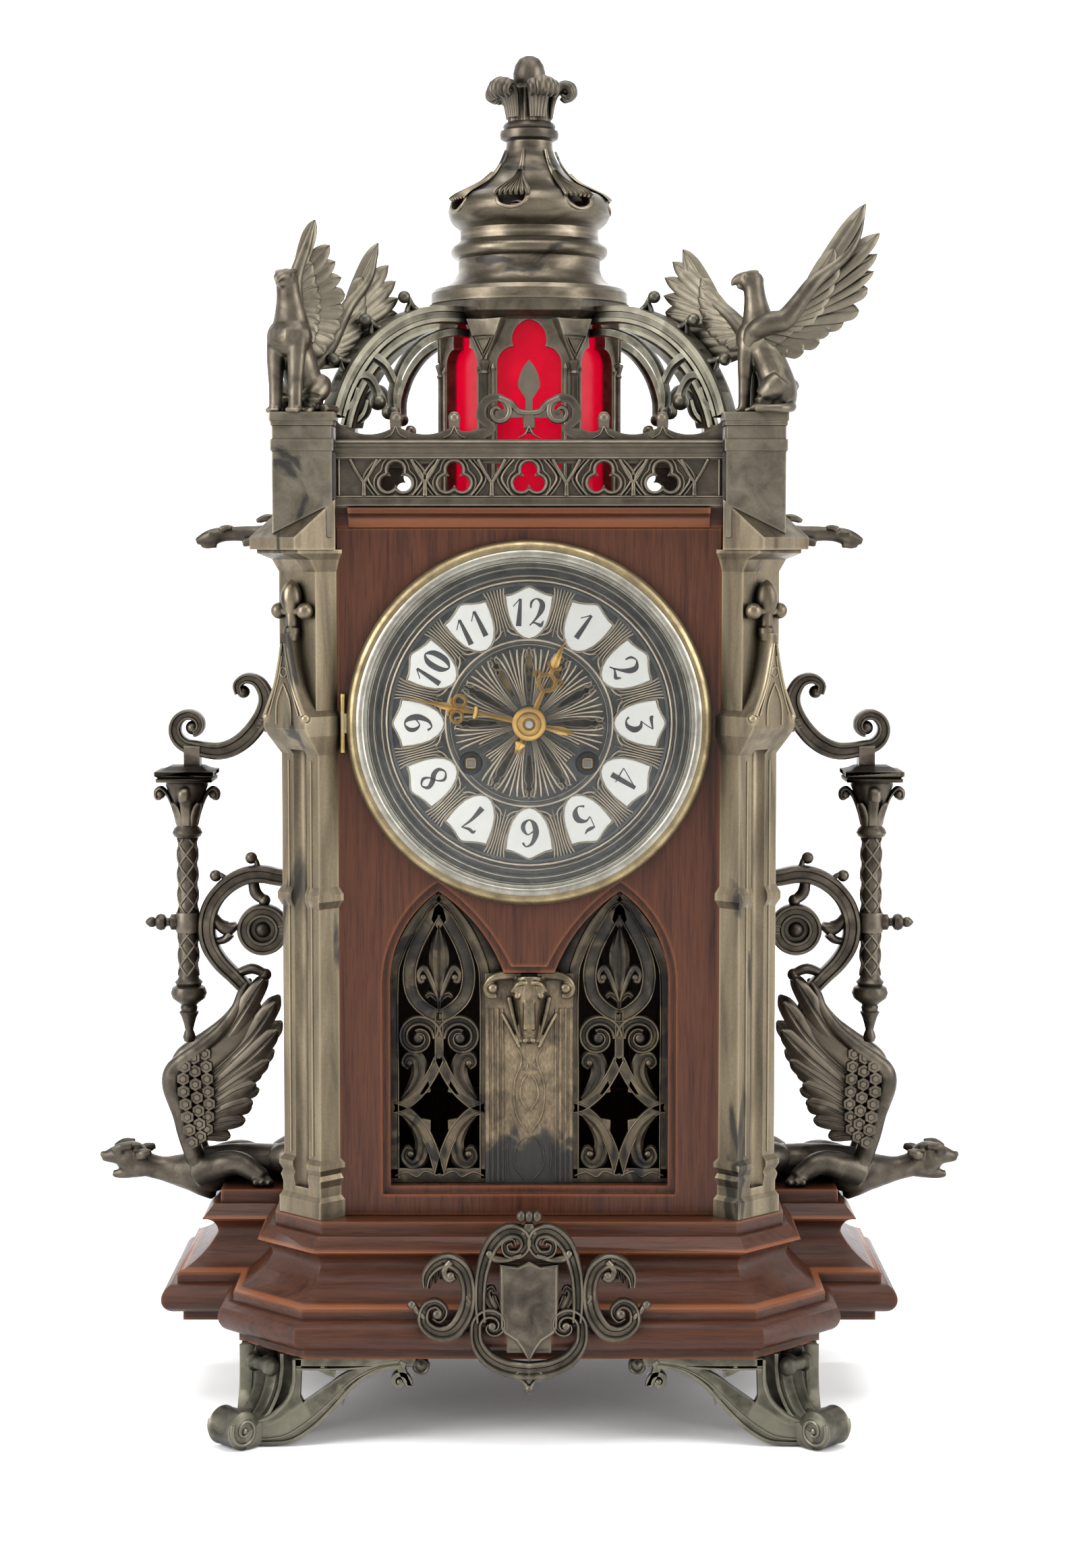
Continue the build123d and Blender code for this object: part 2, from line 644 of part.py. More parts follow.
def buttress():
    """Diagonal buttress of the corner +X +Y: base, fluted shaft, string course, gablet, upper shaft."""
    z0 = Z_FLOOR
    ring = z0 + BASE_MOULDS
    base_face = BUTTRESS_FACE + BASE_SWELL
    string = z0 + STRING_COURSE
    capital = z0 + CAPITAL
    gable = capital + CAPITAL_HEIGHT
    eave = Z_ROOF - EAVE_DROP - EAVE_THICK
    neck = BUTTRESS_HALF + 0.3
    shaft = buttress_stack([
        (z0, BUTTRESS_BASE_HALF, base_face),
        (z0 + 7, BUTTRESS_BASE_HALF, base_face),
        (z0 + 9, neck, BUTTRESS_FACE + 0.4),
        (z0 + 13, neck, BUTTRESS_FACE + 0.4),
        (z0 + 16, BUTTRESS_BASE_HALF - 0.4, base_face - 0.5),
        (z0 + 18, neck, BUTTRESS_FACE + 0.4),
        (ring - 4, BUTTRESS_BASE_HALF, base_face),
        (ring - 2, BUTTRESS_BASE_HALF, base_face),
        (ring, BUTTRESS_HALF, BUTTRESS_FACE),
        (string, BUTTRESS_HALF, BUTTRESS_FACE),
        (string + 0.35 * STRING_HEIGHT, BUTTRESS_BASE_HALF, base_face),
        (string + 0.65 * STRING_HEIGHT, BUTTRESS_BASE_HALF, base_face),
        (string + STRING_HEIGHT, BUTTRESS_HALF, BUTTRESS_FACE),
        (capital, BUTTRESS_HALF, BUTTRESS_FACE),
        (capital + 0.5 * CAPITAL_HEIGHT, GABLET_HALF, GABLET_FACE - 2),
        (capital + 0.7 * CAPITAL_HEIGHT, GABLET_HALF, GABLET_FACE),
        (gable, GABLET_HALF, GABLET_FACE),
    ])
    flute_low = z0 + 12
    flute = diagonal_plane(flute_low) * Pos(0, BUTTRESS_FACE + 1.6) * Circle(FLUTE_RADIUS)
    shaft -= extrude(flute, amount=capital + 2 - flute_low)
    upper = buttress_stack([
        (gable, UPPER_HALF, UPPER_FACE),
        (eave - 9, UPPER_HALF, UPPER_FACE),
        (eave - 4, UPPER_HALF + 0.8, UPPER_FACE + 3),
        (eave - 1.5, EAVE_HALF - 1, EAVE_FACE - 3),
        (eave, EAVE_HALF - 1, EAVE_FACE - 3),
    ])
    base = diagonal_plane(0)
    across = Plane(origin=base.origin, x_dir=base.x_dir, z_dir=base.y_dir)
    gable_face = outline(
        (-GABLET_HALF, gable),
        (GABLET_HALF, gable),
        (0.35 * GABLET_HALF, gable + 0.5 * GABLE_RISE, 1.8, gable + GABLE_RISE),
        (-1.8, gable + GABLE_RISE),
        (-0.35 * GABLET_HALF, gable + 0.5 * GABLE_RISE, -GABLET_HALF, gable),
    )
    flat = Plane(origin=base.origin, x_dir=-base.x_dir, z_dir=base.y_dir)
    gablet = extrude(flat.offset(CASE_DIAGONAL) * gable_face, amount=GABLET_FACE - CASE_DIAGONAL)
    return join([shaft, upper, gablet, buttress_roof(), gablet_finial(gable + GABLE_RISE, across)])


def gablet_finial(z, across):
    """Collar, bud and two side balls on the tip of the gablet."""
    profile = outline(
        (0, -3),
        (2.6, -3),
        (3.4, 0),
        (3.4, 2),
        (2.4, 3),
        (2.6, 8),
        (4.6, 13, 2.6, 20),
        (0, 22),
    )
    spot = across.origin + across.z_dir * (GABLET_FACE - 4.5)
    place = Pos(spot.X, spot.Y, z)
    bud = place * turned(profile)
    arm = across.x_dir
    balls = []
    for side in (-1, 1):
        tip = spot + arm * (side * 8.0) + Vector(0, 0, z + 9)
        root = spot + arm * (side * 1.0) + Vector(0, 0, z + 9)
        balls.append(limb([tuple(root), tuple(tip)], [1.8, 1.6], across=(0, 0, 1)))
        balls.append(Pos(*tip) * Sphere(3.4))
    return join([bud] + balls)


def pedestal(roof):
    """Block on the buttress roof in the corner +X +Y, stepped like a capital."""
    def block(half, low, high):
        return box(
            PEDESTAL_X - half, PEDESTAL_X + half, PEDESTAL_Y - half, PEDESTAL_Y + half,
            Z_ROOF + low, Z_ROOF + high,
        )
    cap = PEDESTAL_HEIGHT - PEDESTAL_CAP
    low = block(PEDESTAL_HALF, -EAVE_DROP, PEDESTAL_HEIGHT - 1)
    body = low + block(PEDESTAL_CAP_HALF - 0.4, PEDESTAL_BAND_LOW, PEDESTAL_BAND_HIGH)
    body += block(PEDESTAL_CAP_HALF - 0.5, cap - 2, cap)
    body += block(PEDESTAL_CAP_HALF, cap, PEDESTAL_HEIGHT)
    case = upright(case_outline(), Z_FLOOR, Z_ROOF)
    strip = box(0, CASE_EDGE_X, CASE_HALF_DEPTH, CASE_HALF_DEPTH + CORNICE_REACH, Z_FLOOR, Z_ROOF)
    return body - roof - case - strip


def trefoil(x, z):
    """Three-lobed piercing."""
    lobes = []
    for angle in (90, 210, 330):
        turn = math.radians(angle)
        spot = (x + TREFOIL_REACH * math.cos(turn), z + TREFOIL_REACH * math.sin(turn))
        lobes.append(Pos(*spot) * Circle(TREFOIL_LOBE))
    return join(lobes + [Pos(x, z) * Circle(0.8 * TREFOIL_LOBE)])


def gallery(half, trefoil_spots, crest_spots, with_spear):
    """Pierced parapet between two pedestals, drawn in x and z, facing -Y at y = 0."""
    rail = Z_ROOF + LOW_RAIL
    frieze = rail + FRIEZE
    top = frieze + TOP_RAIL
    y0 = -GALLERY_THICK / 2
    y1 = GALLERY_THICK / 2
    plate = box(-half, half, y0, y1, Z_ROOF, top)
    rails = box(-half, half, y0 - RAIL_PROUD, y1, Z_ROOF, rail)
    rails += box(-half, half, y0 - RAIL_PROUD, y1 + RAIL_PROUD, frieze, top)
    middle = rail + 0.46 * FRIEZE
    holes = []
    for x in trefoil_spots:
        holes.append(trefoil(x, middle))
    for left, right in zip(trefoil_spots, trefoil_spots[1:]):
        x = (left + right) / 2
        holes.append(outline((x - 3.6, frieze - 1.6), (x + 3.6, frieze - 1.6), (x, frieze - 8.0)))
    for hole in holes:
        plate -= front_slab(hole, y0, y1)
    pieces = [plate, rails]
    tip = Z_ROOF + CREST_TOP
    ends = [-half] + crest_spots + [half]
    for left, right in zip(ends, ends[1:]):
        high_left = top + (8.0 if left == -half else 6.0)
        high_right = top + (8.0 if right == half else 6.0)
        span = right - left
        if with_spear and left < 0 < right:
            continue
        scallop = outline(
            (left, top - 0.5),
            (right, top - 0.5),
            (right, high_right),
            (left + 0.5 * span, top + CREST_DIP, left, high_left),
        )
        pieces.append(front_slab(scallop, -1.5, 1.5))
    for x in crest_spots:
        stem = outline((x - 1.9, top - 0.5), (x + 1.9, top - 0.5), (x + 1.7, tip - 3), (x - 1.7, tip - 3))
        pieces.append(front_slab(stem, -1.6, 1.6))
        pieces.append(Pos(x, 0, tip - CREST_BALL) * Sphere(CREST_BALL))
    if with_spear:
        pieces.append(front_slab(spear_crest(top, crest_spots[len(crest_spots) // 2]), -1.5, 1.5))
    return join(pieces)


def spear_crest(top, spot):
    """Middle ornament of the front gallery: two volutes, a bar and a spear leaf."""
    bar = top + 10.5
    eye = (0.42 * spot, top + 11.8)
    sweep_in = [(spot, top + 3.0), (0.82 * spot, top + 1.2), (0.6 * spot, top + 2.6)]
    curl = spiral(eye, 7.6, 2.2, -70, 300, 10)
    path = sweep_in + curl
    right = ribbon(path, taper(4.4, 2.2, len(path)))
    left = mirror(right, about=Plane.YZ)
    tip = Z_ROOF + SPEAR_TOP
    leaf = outline(
        (-1.4, bar - 7.5),
        (1.4, bar - 7.5),
        (1.4, bar + 6.0),
        (4.4, tip - 11.0),
        (4.2, tip - 8.0, 0, tip),
        (-4.2, tip - 8.0, -4.4, tip - 11.0),
        (-1.4, bar + 6.0),
    )
    cross = outline((-0.42 * spot, bar - 1.6), (0.42 * spot, bar - 1.6), (0.42 * spot, bar + 1.6),
                    (-0.42 * spot, bar + 1.6))
    return join([leaf, cross, right, left])


def hexagon(radius):
    """Regular hexagon with a flat side to the front."""
    return RegularPolygon(radius, 6)


def lantern_block():
    """Outer form of the lantern with its moulded cornice."""
    top = Z_ROOF + LANTERN_HEIGHT
    low = top - LANTERN_CORNICE
    mid = low + 0.4 * LANTERN_CORNICE
    flare = loft([
        Pos(0, 0, low) * hexagon(LANTERN_RADIUS),
        Pos(0, 0, mid) * hexagon(LANTERN_CORNICE_RADIUS),
    ], ruled=True)
    crown = upright(hexagon(LANTERN_CORNICE_RADIUS), mid, top)
    return upright(hexagon(LANTERN_RADIUS), Z_ROOF, top) + flare + crown


def lantern_frame():
    """Six slender columns with trefoil-headed arches, between a sill and a moulded cornice."""
    z0 = Z_ROOF
    inner = LANTERN_RADIUS - LANTERN_WALL / math.cos(math.pi / 6)
    body = lantern_block() - upright(hexagon(inner), z0, z0 + LANTERN_HEIGHT)
    half = LANTERN_OPENING / 2
    spring = z0 + LANTERN_SPRING
    apex = z0 + LANTERN_APEX
    rise = apex - spring
    arch = outline(
        (-half, z0 + LANTERN_SILL),
        (half, z0 + LANTERN_SILL),
        (half, spring),
        (0.86 * half, spring + 0.3 * rise, 0.5 * half, spring + 0.42 * rise),
        (0.42 * half, spring + 0.82 * rise, 0, apex),
        (-0.42 * half, spring + 0.82 * rise, -0.5 * half, spring + 0.42 * rise),
        (-0.86 * half, spring + 0.3 * rise, -half, spring),
    )
    cutter = front_slab(arch, -2 * LANTERN_RADIUS, -0.5 * inner)
    for index in range(6):
        body -= Rot(0, 0, 60 * index) * cutter
    return body


def lantern_glass():
    """Red glass sleeve that stands on the roof board inside the arches."""
    share = math.cos(math.pi / 6)
    outer = LANTERN_RADIUS - (LANTERN_WALL + GLASS_GAP) / share
    inner = outer - GLASS_WALL / share
    return upright(hexagon(outer), Z_ROOF, Z_ROOF + GLASS_HEIGHT) - upright(
        hexagon(inner), Z_ROOF, Z_ROOF + GLASS_HEIGHT)


def dome():
    """Hollow dome that lifts off the lantern: a moulded drum and the pierced bulb on it."""
    z = Z_DOME
    h = DOME_HEIGHT
    spigot = (LANTERN_APOTHEM - LANTERN_WALL - GLASS_GAP) - 0.3
    outer = outline(
        (0, z),
        (DOME_RIM, z),
        (DOME_RIM, z + 4.4),
        (DOME_RIM - 1.6, z + 6.2),
        (DOME_COLLAR + 2.6, z + 9.6, DOME_COLLAR, z + 14.5),
        (DOME_COLLAR, z + 19.0),
        (DOME_RING, z + 22.2, DOME_RING - 2.4, z + 25.2),
        (DOME_RING - 4.0, z + 26.8),
        (DOME_RING - 4.0, z + 31.4),
        (DOME_BULGE - 3.6, z + 32.6),
        (DOME_BULGE, z + 39.3, DOME_BULGE - 5.6, z + 46.6),
        (0.57 * DOME_BULGE, z + 51.3, DOME_NECK + 3.8, z + 58.4),
        (DOME_NECK + 0.9, z + 63.2, DOME_NECK, z + h),
        (0, z + h),
    )
    inner = outline(
        (0, z),
        (DOME_RIM - 2 * DOME_WALL, z),
        (DOME_COLLAR - DOME_WALL, z + 12.5),
        (DOME_COLLAR - DOME_WALL, z + 31.0),
        (DOME_BULGE - DOME_WALL - 1.0, z + 36.0),
        (DOME_BULGE - DOME_WALL - 1.0, z + 41.0),
        (DOME_BULGE - DOME_WALL - 6.0, z + 45.6),
        (0.57 * DOME_BULGE - DOME_WALL, z + 49.3),
        (DOME_NECK + 1.0, z + 54.0),
        (0, z + 55.0),
    )
    ring = outline(
        (spigot - DOME_WALL, z - DOME_SPIGOT),
        (spigot, z - DOME_SPIGOT),
        (spigot, z + 0.5),
        (DOME_RIM - 1, z + 0.5),
        (DOME_RIM - 1, z + 2.5),
        (spigot - DOME_WALL, z + 2.5),
    )
    body = turned(outer) - turned(inner) + turned(ring)
    half = DOME_EYE_HALF
    eye = outline((-half, 0), (0, DOME_EYE_RISE, half, 0), (0, -DOME_EYE_DROP, -half, 0))
    for index in range(DOME_EYES):
        turn = DOME_EYE_TURN + 360.0 * index / DOME_EYES
        cutter = front_slab(Pos(0, z + DOME_EYE_LEVEL) * eye, -2 * DOME_BULGE, -0.6 * DOME_BULGE)
        body -= Rot(0, 0, turn) * cutter
    bore = outline((0, z + h - 8), (4, z + h - 8), (4, z + h), (0, z + h))
    body -= turned(bore)
    below = box(-DOME_RIM, DOME_RIM, -DOME_RIM, DOME_RIM, z - DOME_SPIGOT, z + DOME_SEAM)
    return [body & below, body - below]


def dome_finial():
    """Collar, stem, ring of curling leaves and bud, with a spigot in the dome."""
    z = Z_DOME + DOME_HEIGHT
    h = FINIAL_HEIGHT
    profile = outline(
        (0, z - 7.5),
        (3.9, z - 7.5),
        (3.9, z),
        (DOME_NECK, z),
        (FINIAL_COLLAR, z + 1.5),
        (FINIAL_COLLAR + 0.6, z + 3.0, FINIAL_COLLAR, z + 4.6),
        (FINIAL_COLLAR - 1.6, z + 5.4),
        (FINIAL_STEM, z + 8.0),
        (FINIAL_STEM, z + 15.5),
        (FINIAL_STEM - 1.0, z + 19.0, FINIAL_STEM, z + 24.0),
        (FINIAL_BUD, z + 27.0),
        (FINIAL_BUD - 0.8, z + 32.0, 0.25 * FINIAL_BUD, z + h),
        (0, z + h),
    )
    body = turned(profile)
    leaf = ribbon(
        [(FINIAL_STEM - 2.0, z + 12.0), (FINIAL_STEM + 1.0, z + 20.0), (FINIAL_LEAF - 6.0, z + 25.5),
         (FINIAL_LEAF - 2.0, z + 24.0), (FINIAL_LEAF - 2.4, z + 19.5)],
        [2.5, 3.4, 3.8, 3.6, 3.0],
    )
    blade = extrude(Plane.XZ * leaf, amount=3.6, both=True)
    for index in range(8):
        body += Rot(0, 0, 22.5 + 45 * index) * blade
    return body


def flying_buttress():
    """Half arch from the pedestal in the corner +X +Y to the lantern, in its own upright plane."""
    rc = FLYER_CENTRE
    zc = Z_ROOF + FLYER_TOP - FLYER_RADIUS
    foot = Z_ROOF + PEDESTAL_HEIGHT
    inner = FLYER_RADIUS - FLYER_BAND
    end = LANTERN_APOTHEM - LANTERN_WALL

    def on_arc(radius, r):
        return (r, zc + math.sqrt(radius * radius - (r - rc) ** 2))

    def at_level(radius, z):
        return (rc + math.sqrt(radius * radius - (z - zc) ** 2), z)

    outer_foot = at_level(FLYER_RADIUS, foot)
    inner_foot = at_level(inner, foot)
    band = outline(
        (end, zc + inner),
        (rc, zc + inner),
        (*on_arc(inner, rc + 0.7 * inner), *inner_foot),
        outer_foot,
        (*on_arc(FLYER_RADIUS, rc + 0.7 * FLYER_RADIUS), rc, zc + FLYER_RADIUS),
        (end, zc + FLYER_RADIUS),
    )
    foil = ribbon(
        [(rc - 1.0, zc + inner + 1.0), (rc + 12.0, zc + 46.0), (rc + 23.0, zc + 36.0),
         (rc + 27.5, zc + 24.0)],
        [4.0, 3.6, 3.4, 3.0],
    )
    drop = (rc + 34.5, zc + 21.5)
    cusp = ribbon(
        [(rc + 46.0, zc + 31.0), (rc + 41.0, zc + 30.5), (rc + 36.0, zc + 26.0), drop],
        [3.6, 3.0, 3.0, 3.0],
    )
    base = Rot(90, 0, 0)
    pieces = [extrude(base * band, amount=FLYER_THICK / 2, both=True)]
    pieces.append(extrude(base * foil, amount=2.4, both=True))
    pieces.append(extrude(base * cusp, amount=2.0, both=True))
    pieces.append(extrude(base * Pos(*drop) * Circle(FLYER_DROP), amount=FLYER_DROP, both=True))
    for out, lean in ((17.0, 0.3), (35.5, 0.55), (50.5, 0.9)):
        x, z = on_arc(FLYER_RADIUS, rc + out)
        tip = (x + CROCKET_RISE * math.sin(lean), z + CROCKET_RISE * math.cos(lean))
        pieces.append(Pos(tip[0], 0, tip[1]) * Sphere(CROCKET_BALL))
        pieces.append(Pos(x, 0, z) * Rot(0, math.degrees(lean), 0) * Cylinder(CROCKET_STEM, 2 * CROCKET_RISE))
    turn = math.degrees(math.atan2(PEDESTAL_Y, PEDESTAL_X))
    return Rot(0, 0, turn) * join(pieces) - lantern_block()


def wing_plate(points, thick):
    """Feathered wing as a plate drawn in its own x and z."""
    face = make_face(Polyline(*points, close=True))
    return extrude(Rot(90, 0, 0) * face, amount=thick / 2, both=True)


GRYPHON_WING = [
    (0, -7), (-5, 4), (-8, 16), (-9, 28), (-7, 38), (-3, 46), (-1, 40), (1, 43), (2, 35), (5, 38), (5, 29),
    (9, 31), (8, 22), (11, 23), (9, 14), (11, 13), (8, 5), (5, -4),
]


def gryphon(turn, wing_turns, x, y, flyer):
    """Seated winged gryphon, drawn facing +X, then turned about Z and set on its pedestal."""
    torso = limb(
        [(-8, 0, 7), (-7, 0, 16), (-1, 0, 28), (4, 0, 39), (3.5, 0, 48)],
        [6.5, 8.6, 8.2, 6.4, 4.4],
    )
    head = limb([(0, 0, 50), (4, 0, 52), (9, 0, 51.6), (14, 0, 48.5)], [4.0, 4.9, 3.6, 0.9])
    pieces = [torso, head, Pos(3, 0, 49) * Sphere(4.6)]
    for side in (-1, 1):
        leg = limb(
            [(3, 4.0 * side, 30), (6.5, 4.6 * side, 17), (7, 4.8 * side, 6), (8, 4.8 * side, 0)],
            [4.0, 2.8, 2.3, 3.0],
        )
        haunch = limb([(-9, 5 * side, 10), (-3, 6 * side, 11), (2, 6.2 * side, 6)], [5.4, 5.6, 3.0])
        paw = box(0, 11, 6 * side - 2.6, 6 * side + 2.6, 0, 4)
        pieces += [leg, haunch, paw]
    for side, (lean, spread) in zip((-1, 1), wing_turns):
        plate = wing_plate(GRYPHON_WING, 2.4)
        pieces.append(Pos(-3, 4.5 * side, 33) * Rot(0, lean, spread) * plate)
    under = box(-40, 40, -40, 40, -20, 0)
    place = Pos(x, y, Z_ROOF + PEDESTAL_HEIGHT) * Rot(0, 0, turn)
    return place * (join(pieces) - under) - flyer


def torch():
    """Hanging torch on the right side: capital, patterned shaft, sleeve with bolt, knop and end ball."""
    z = Z_FLOOR + TORCH_FOOT
    top = z + TORCH_HEIGHT
    shaft = TORCH_SHAFT
    profile = outline(
        (0, z),
        (2.6, z + 2.4, 1.4, z + 4.4),
        (2.6, z + 11.5),
        (4.0, z + 12.5),
        (4.6, z + 17.0),
        (8.0, z + 18.5),
        (8.2, z + 22.0, 7.4, z + 25.0),
        (shaft + 1.2, z + 26.0),
        (shaft, z + 27.0),
        (shaft, z + 48.0),
        (shaft + 0.8, z + 48.0),
        (shaft + 0.8, z + 58.0),
        (shaft, z + 58.0),
        (shaft, z + 92.0),
        (shaft + 1.9, z + 94.0, shaft, z + 96.0),
        (shaft + 0.6, z + 101.0, 8.5, z + 112.0),
        (0, z + 112.0),
    )
    body = turned(profile)
    for low, high, half in ((112, 114.4, 10.6), (114.4, 119.5, TORCH_ABACUS), (119.5, 122.5, 8.6)):
        body += upright(Rectangle(2 * half, 2 * half), z + low, min(z + high, top))
    for side in (-1, 1):
        body += Pos(side * 10.5, 0, z + 109.5) * Rot(90, 0, 0) * Cylinder(3.6, 8)
    bolt_z = z + 53
    bolt = limb(
        [(x, 0, bolt_z) for x in (shaft, 9, 10, 13, 15.5, 19)],
        [3.2, 3.0, 2.0, 3.2, 2.0, 0.8],
    )
    return Pos(TORCH_X, 0, 0) * (body + bolt)


def side_scroll(torch_solid):
    """Pierced console on the right side: a C-scroll with an eye, and the arm above the torch."""
    half = SCROLL_THICK / 2
    zc = Z_FLOOR + SCROLL_RISE
    mid = SCROLL_RADIUS - SCROLL_BAND / 2
    wall = CASE_HALF_WIDTH
    ring = [(wall, zc + mid + 0.5), (wall + 12, zc + mid + 0.8)]
    ring += spiral((SCROLL_X, zc), mid, mid, 80, -95, 9)
    ring += [(SCROLL_X - 12, zc - mid - 7.5), (SCROLL_X - 22, zc - mid - 12)]
    pieces = [front_slab(ribbon(ring, taper(SCROLL_BAND, SCROLL_BAND + 1, len(ring))), -half, half)]
    eye = (SCROLL_X - 4.2, zc - 4.5)
    eye_ring = Pos(*eye) * (Circle(EYE_RADIUS) - Circle(EYE_RADIUS - 4.2))
    pieces.append(front_slab(eye_ring + Pos(*eye) * Circle(3.4), -half, half))
    bars = [
        ribbon([(eye[0] - 7, eye[1]), (eye[0] + 1, eye[1])], [3.2, 3.2]),
        ribbon([(eye[0] - 7, eye[1] + 1), (wall, eye[1] + 3)], [7.0, 9.0]),
        ribbon([(eye[0] + 8, eye[1] + 1), (SCROLL_X + 19, zc - 3)], [6.0, 6.0]),
    ]
    pieces += [front_slab(bar, -half, half) for bar in bars]
    for x, z in ((SCROLL_X - 1, zc + SCROLL_RADIUS + 1.0), (SCROLL_X + 16, zc + SCROLL_RADIUS - 5.5)):
        pieces.append(Pos(x, 0, z) * Rot(90, 0, 0) * Cylinder(3.0, SCROLL_THICK - 2))
    body = upright(case_outline(), Z_FLOOR, Z_PANEL_TOP)
    lower = join(pieces) - torch_solid - body
    za = Z_FLOOR + ARM_RISE
    volute = (TORCH_X - 2.5, za)
    path = [(wall, za + 20), (wall + 9, za + 14), (wall + 20, za + 4), (wall + 34, za - 6)]
    path += spiral(volute, ARM_VOLUTE, 3.0, -100, 250, 10)
    arm = front_slab(ribbon(path, taper(9.0, 4.4, len(path))), -half, half)
    curl = ribbon([(wall + 8, za + 14), (wall + 18, za + 12), (wall + 26, za + 20), (wall + 23, za + 25),
                   (wall + 19, za + 22)], [7.0, 6.0, 5.0, 4.6, 4.2])
    torch_top = Z_FLOOR + TORCH_FOOT + TORCH_HEIGHT
    seat = box(TORCH_X - 6, TORCH_X + 6, -half, half, torch_top, za - ARM_VOLUTE + 2)
    return [lower, join([arm, front_slab(curl, -half, half), seat]) - body]


GARGOYLE_WING = [
    (0, 0), (8, 10), (17, 26), (19, 33), (15, 40), (4, 52), (-4, 62), (-12, 73), (-14, 66), (-11, 58),
    (-15, 54), (-10, 47), (-13, 42), (-9, 36), (-12, 30), (-8, 24), (-9, 15), (-6, 6),
]


def gargoyle(plinth):
    """Crouching winged beast on the right wing of the plinth, facing +X."""
    z = Z_FLOOR
    inner = CASE_HALF_WIDTH + 6
    reach = GARGOYLE_REACH
    body = limb(
        [(inner, 0, z + 14), (inner + 14, 0, z + 15), (inner + 32, 0, z + 9), (inner + 48, 0, z + 4),
         (inner + 62, 0, z + 7), (reach - 17, 0, z + 10)],
        [8.5, 11.0, 12.0, 13.0, 8.5, 6.5],
    )
    skull = limb(
        [(reach - 20, 0, z + 10), (reach - 13, 0, z + 11), (reach - 6, 0, z + 10), (reach, 0, z + 7.5)],
        [6.2, 7.0, 5.0, 2.0],
    )
    jaw = limb([(reach - 14, 0, z + 6), (reach - 8, 0, z + 3.4), (reach - 3, 0, z + 1.4)], [4.0, 3.0, 1.6])
    deck = box(0, WING_REACH - TOP_INSET, -WING_HALF_DEPTH, WING_HALF_DEPTH, z - 40, z)
    pieces = [body, skull, jaw]
    for side in (-1, 1):
        leg = limb(
            [(inner + 24, 9 * side, z + 12), (inner + 10, 13 * side, z + 11), (inner + 13, 14 * side, z + 3),
             (inner + 18, 14 * side, z + 1.5)],
            [8.0, 6.0, 3.6, 3.2],
        )
        ear = Pos(reach - 17, 5.5 * side, z + 14) * Sphere(3.2)
        wing = wing_plate(GARGOYLE_WING, 3.6)
        place = Pos(inner + 42, 11 * side, z + 14) * Rot(-9 * side, 0, 0)
        pieces += [leg, ear, place * wing]
    tail = limb(
        [(inner, 0, z + 14), (CASE_HALF_WIDTH + 2.5, 0, z + 20), (CASE_HALF_WIDTH + 5, 0, z + 27),
         (inner + 6, 0, z + 31)],
        [6.0, 2.4, 3.4, 4.5],
    )
    return join(pieces + [tail]) - deck - plinth[2] - plinth[1]


def waterspout():
    """Small beast's head that juts from the middle of the right side."""
    z = Z_FLOOR + SPOUT_RISE
    wall = CASE_HALF_WIDTH
    reach = SPOUT_REACH
    neck = limb(
        [(wall, 0, z + 4), (wall + 14, 0, z + 3.6), (wall + 28, 0, z + 2), (reach - 9, 0, z),
         (reach, 0, z - 3.0)],
        [7.0, 6.2, 4.2, 4.6, 2.2],
    )
    ears = [Pos(reach - 13, side * 3.4, z + 3.6) * Sphere(2.2) for side in (-1, 1)]
    return join([neck] + ears) - upright(case_outline(), Z_FLOOR, Z_ROOF)


def foot_place(w):
    """Point on the corner diagonal +X +Y at a distance from the case's axis."""
    return (PLAN_SKEW / 2 + w / ROOT2, w / ROOT2 - PLAN_SKEW / 2)


def bracket_face():
    """Pierced bracket, its corner end at x = 0 under the corner, running to +x."""
    z = FOOT_HEIGHT
    length = BRACKET_LENGTH
    plate = outline(
        (0, z),
        (length - 3, z),
        (length - 3, z - 3.0),
        (length - 14, z - 3.2),
        (0.63 * length, z - 6.0, 0.52 * length, z - 18.5),
        (0.48 * length, z - 19.0),
        (0.3 * length, z - 26.0, 0, z - 33.0),
    )
    window = outline((0.27 * length, z - 4.0), (0.45 * length, z - 4.0), (0.42 * length, z - 9.0),
                     (0.27 * length, z - 13.5))
    curl = Pos(length - 9.5, z - 9.6) * Circle(4.6)
    stalk = Pos(length - 7.2, z - 5.5) * Rectangle(4.6, 9.0)
    rosette = Pos(length - 0.5, z - 3.8) * Circle(3.7)
    return plate - window + curl + stalk + rosette


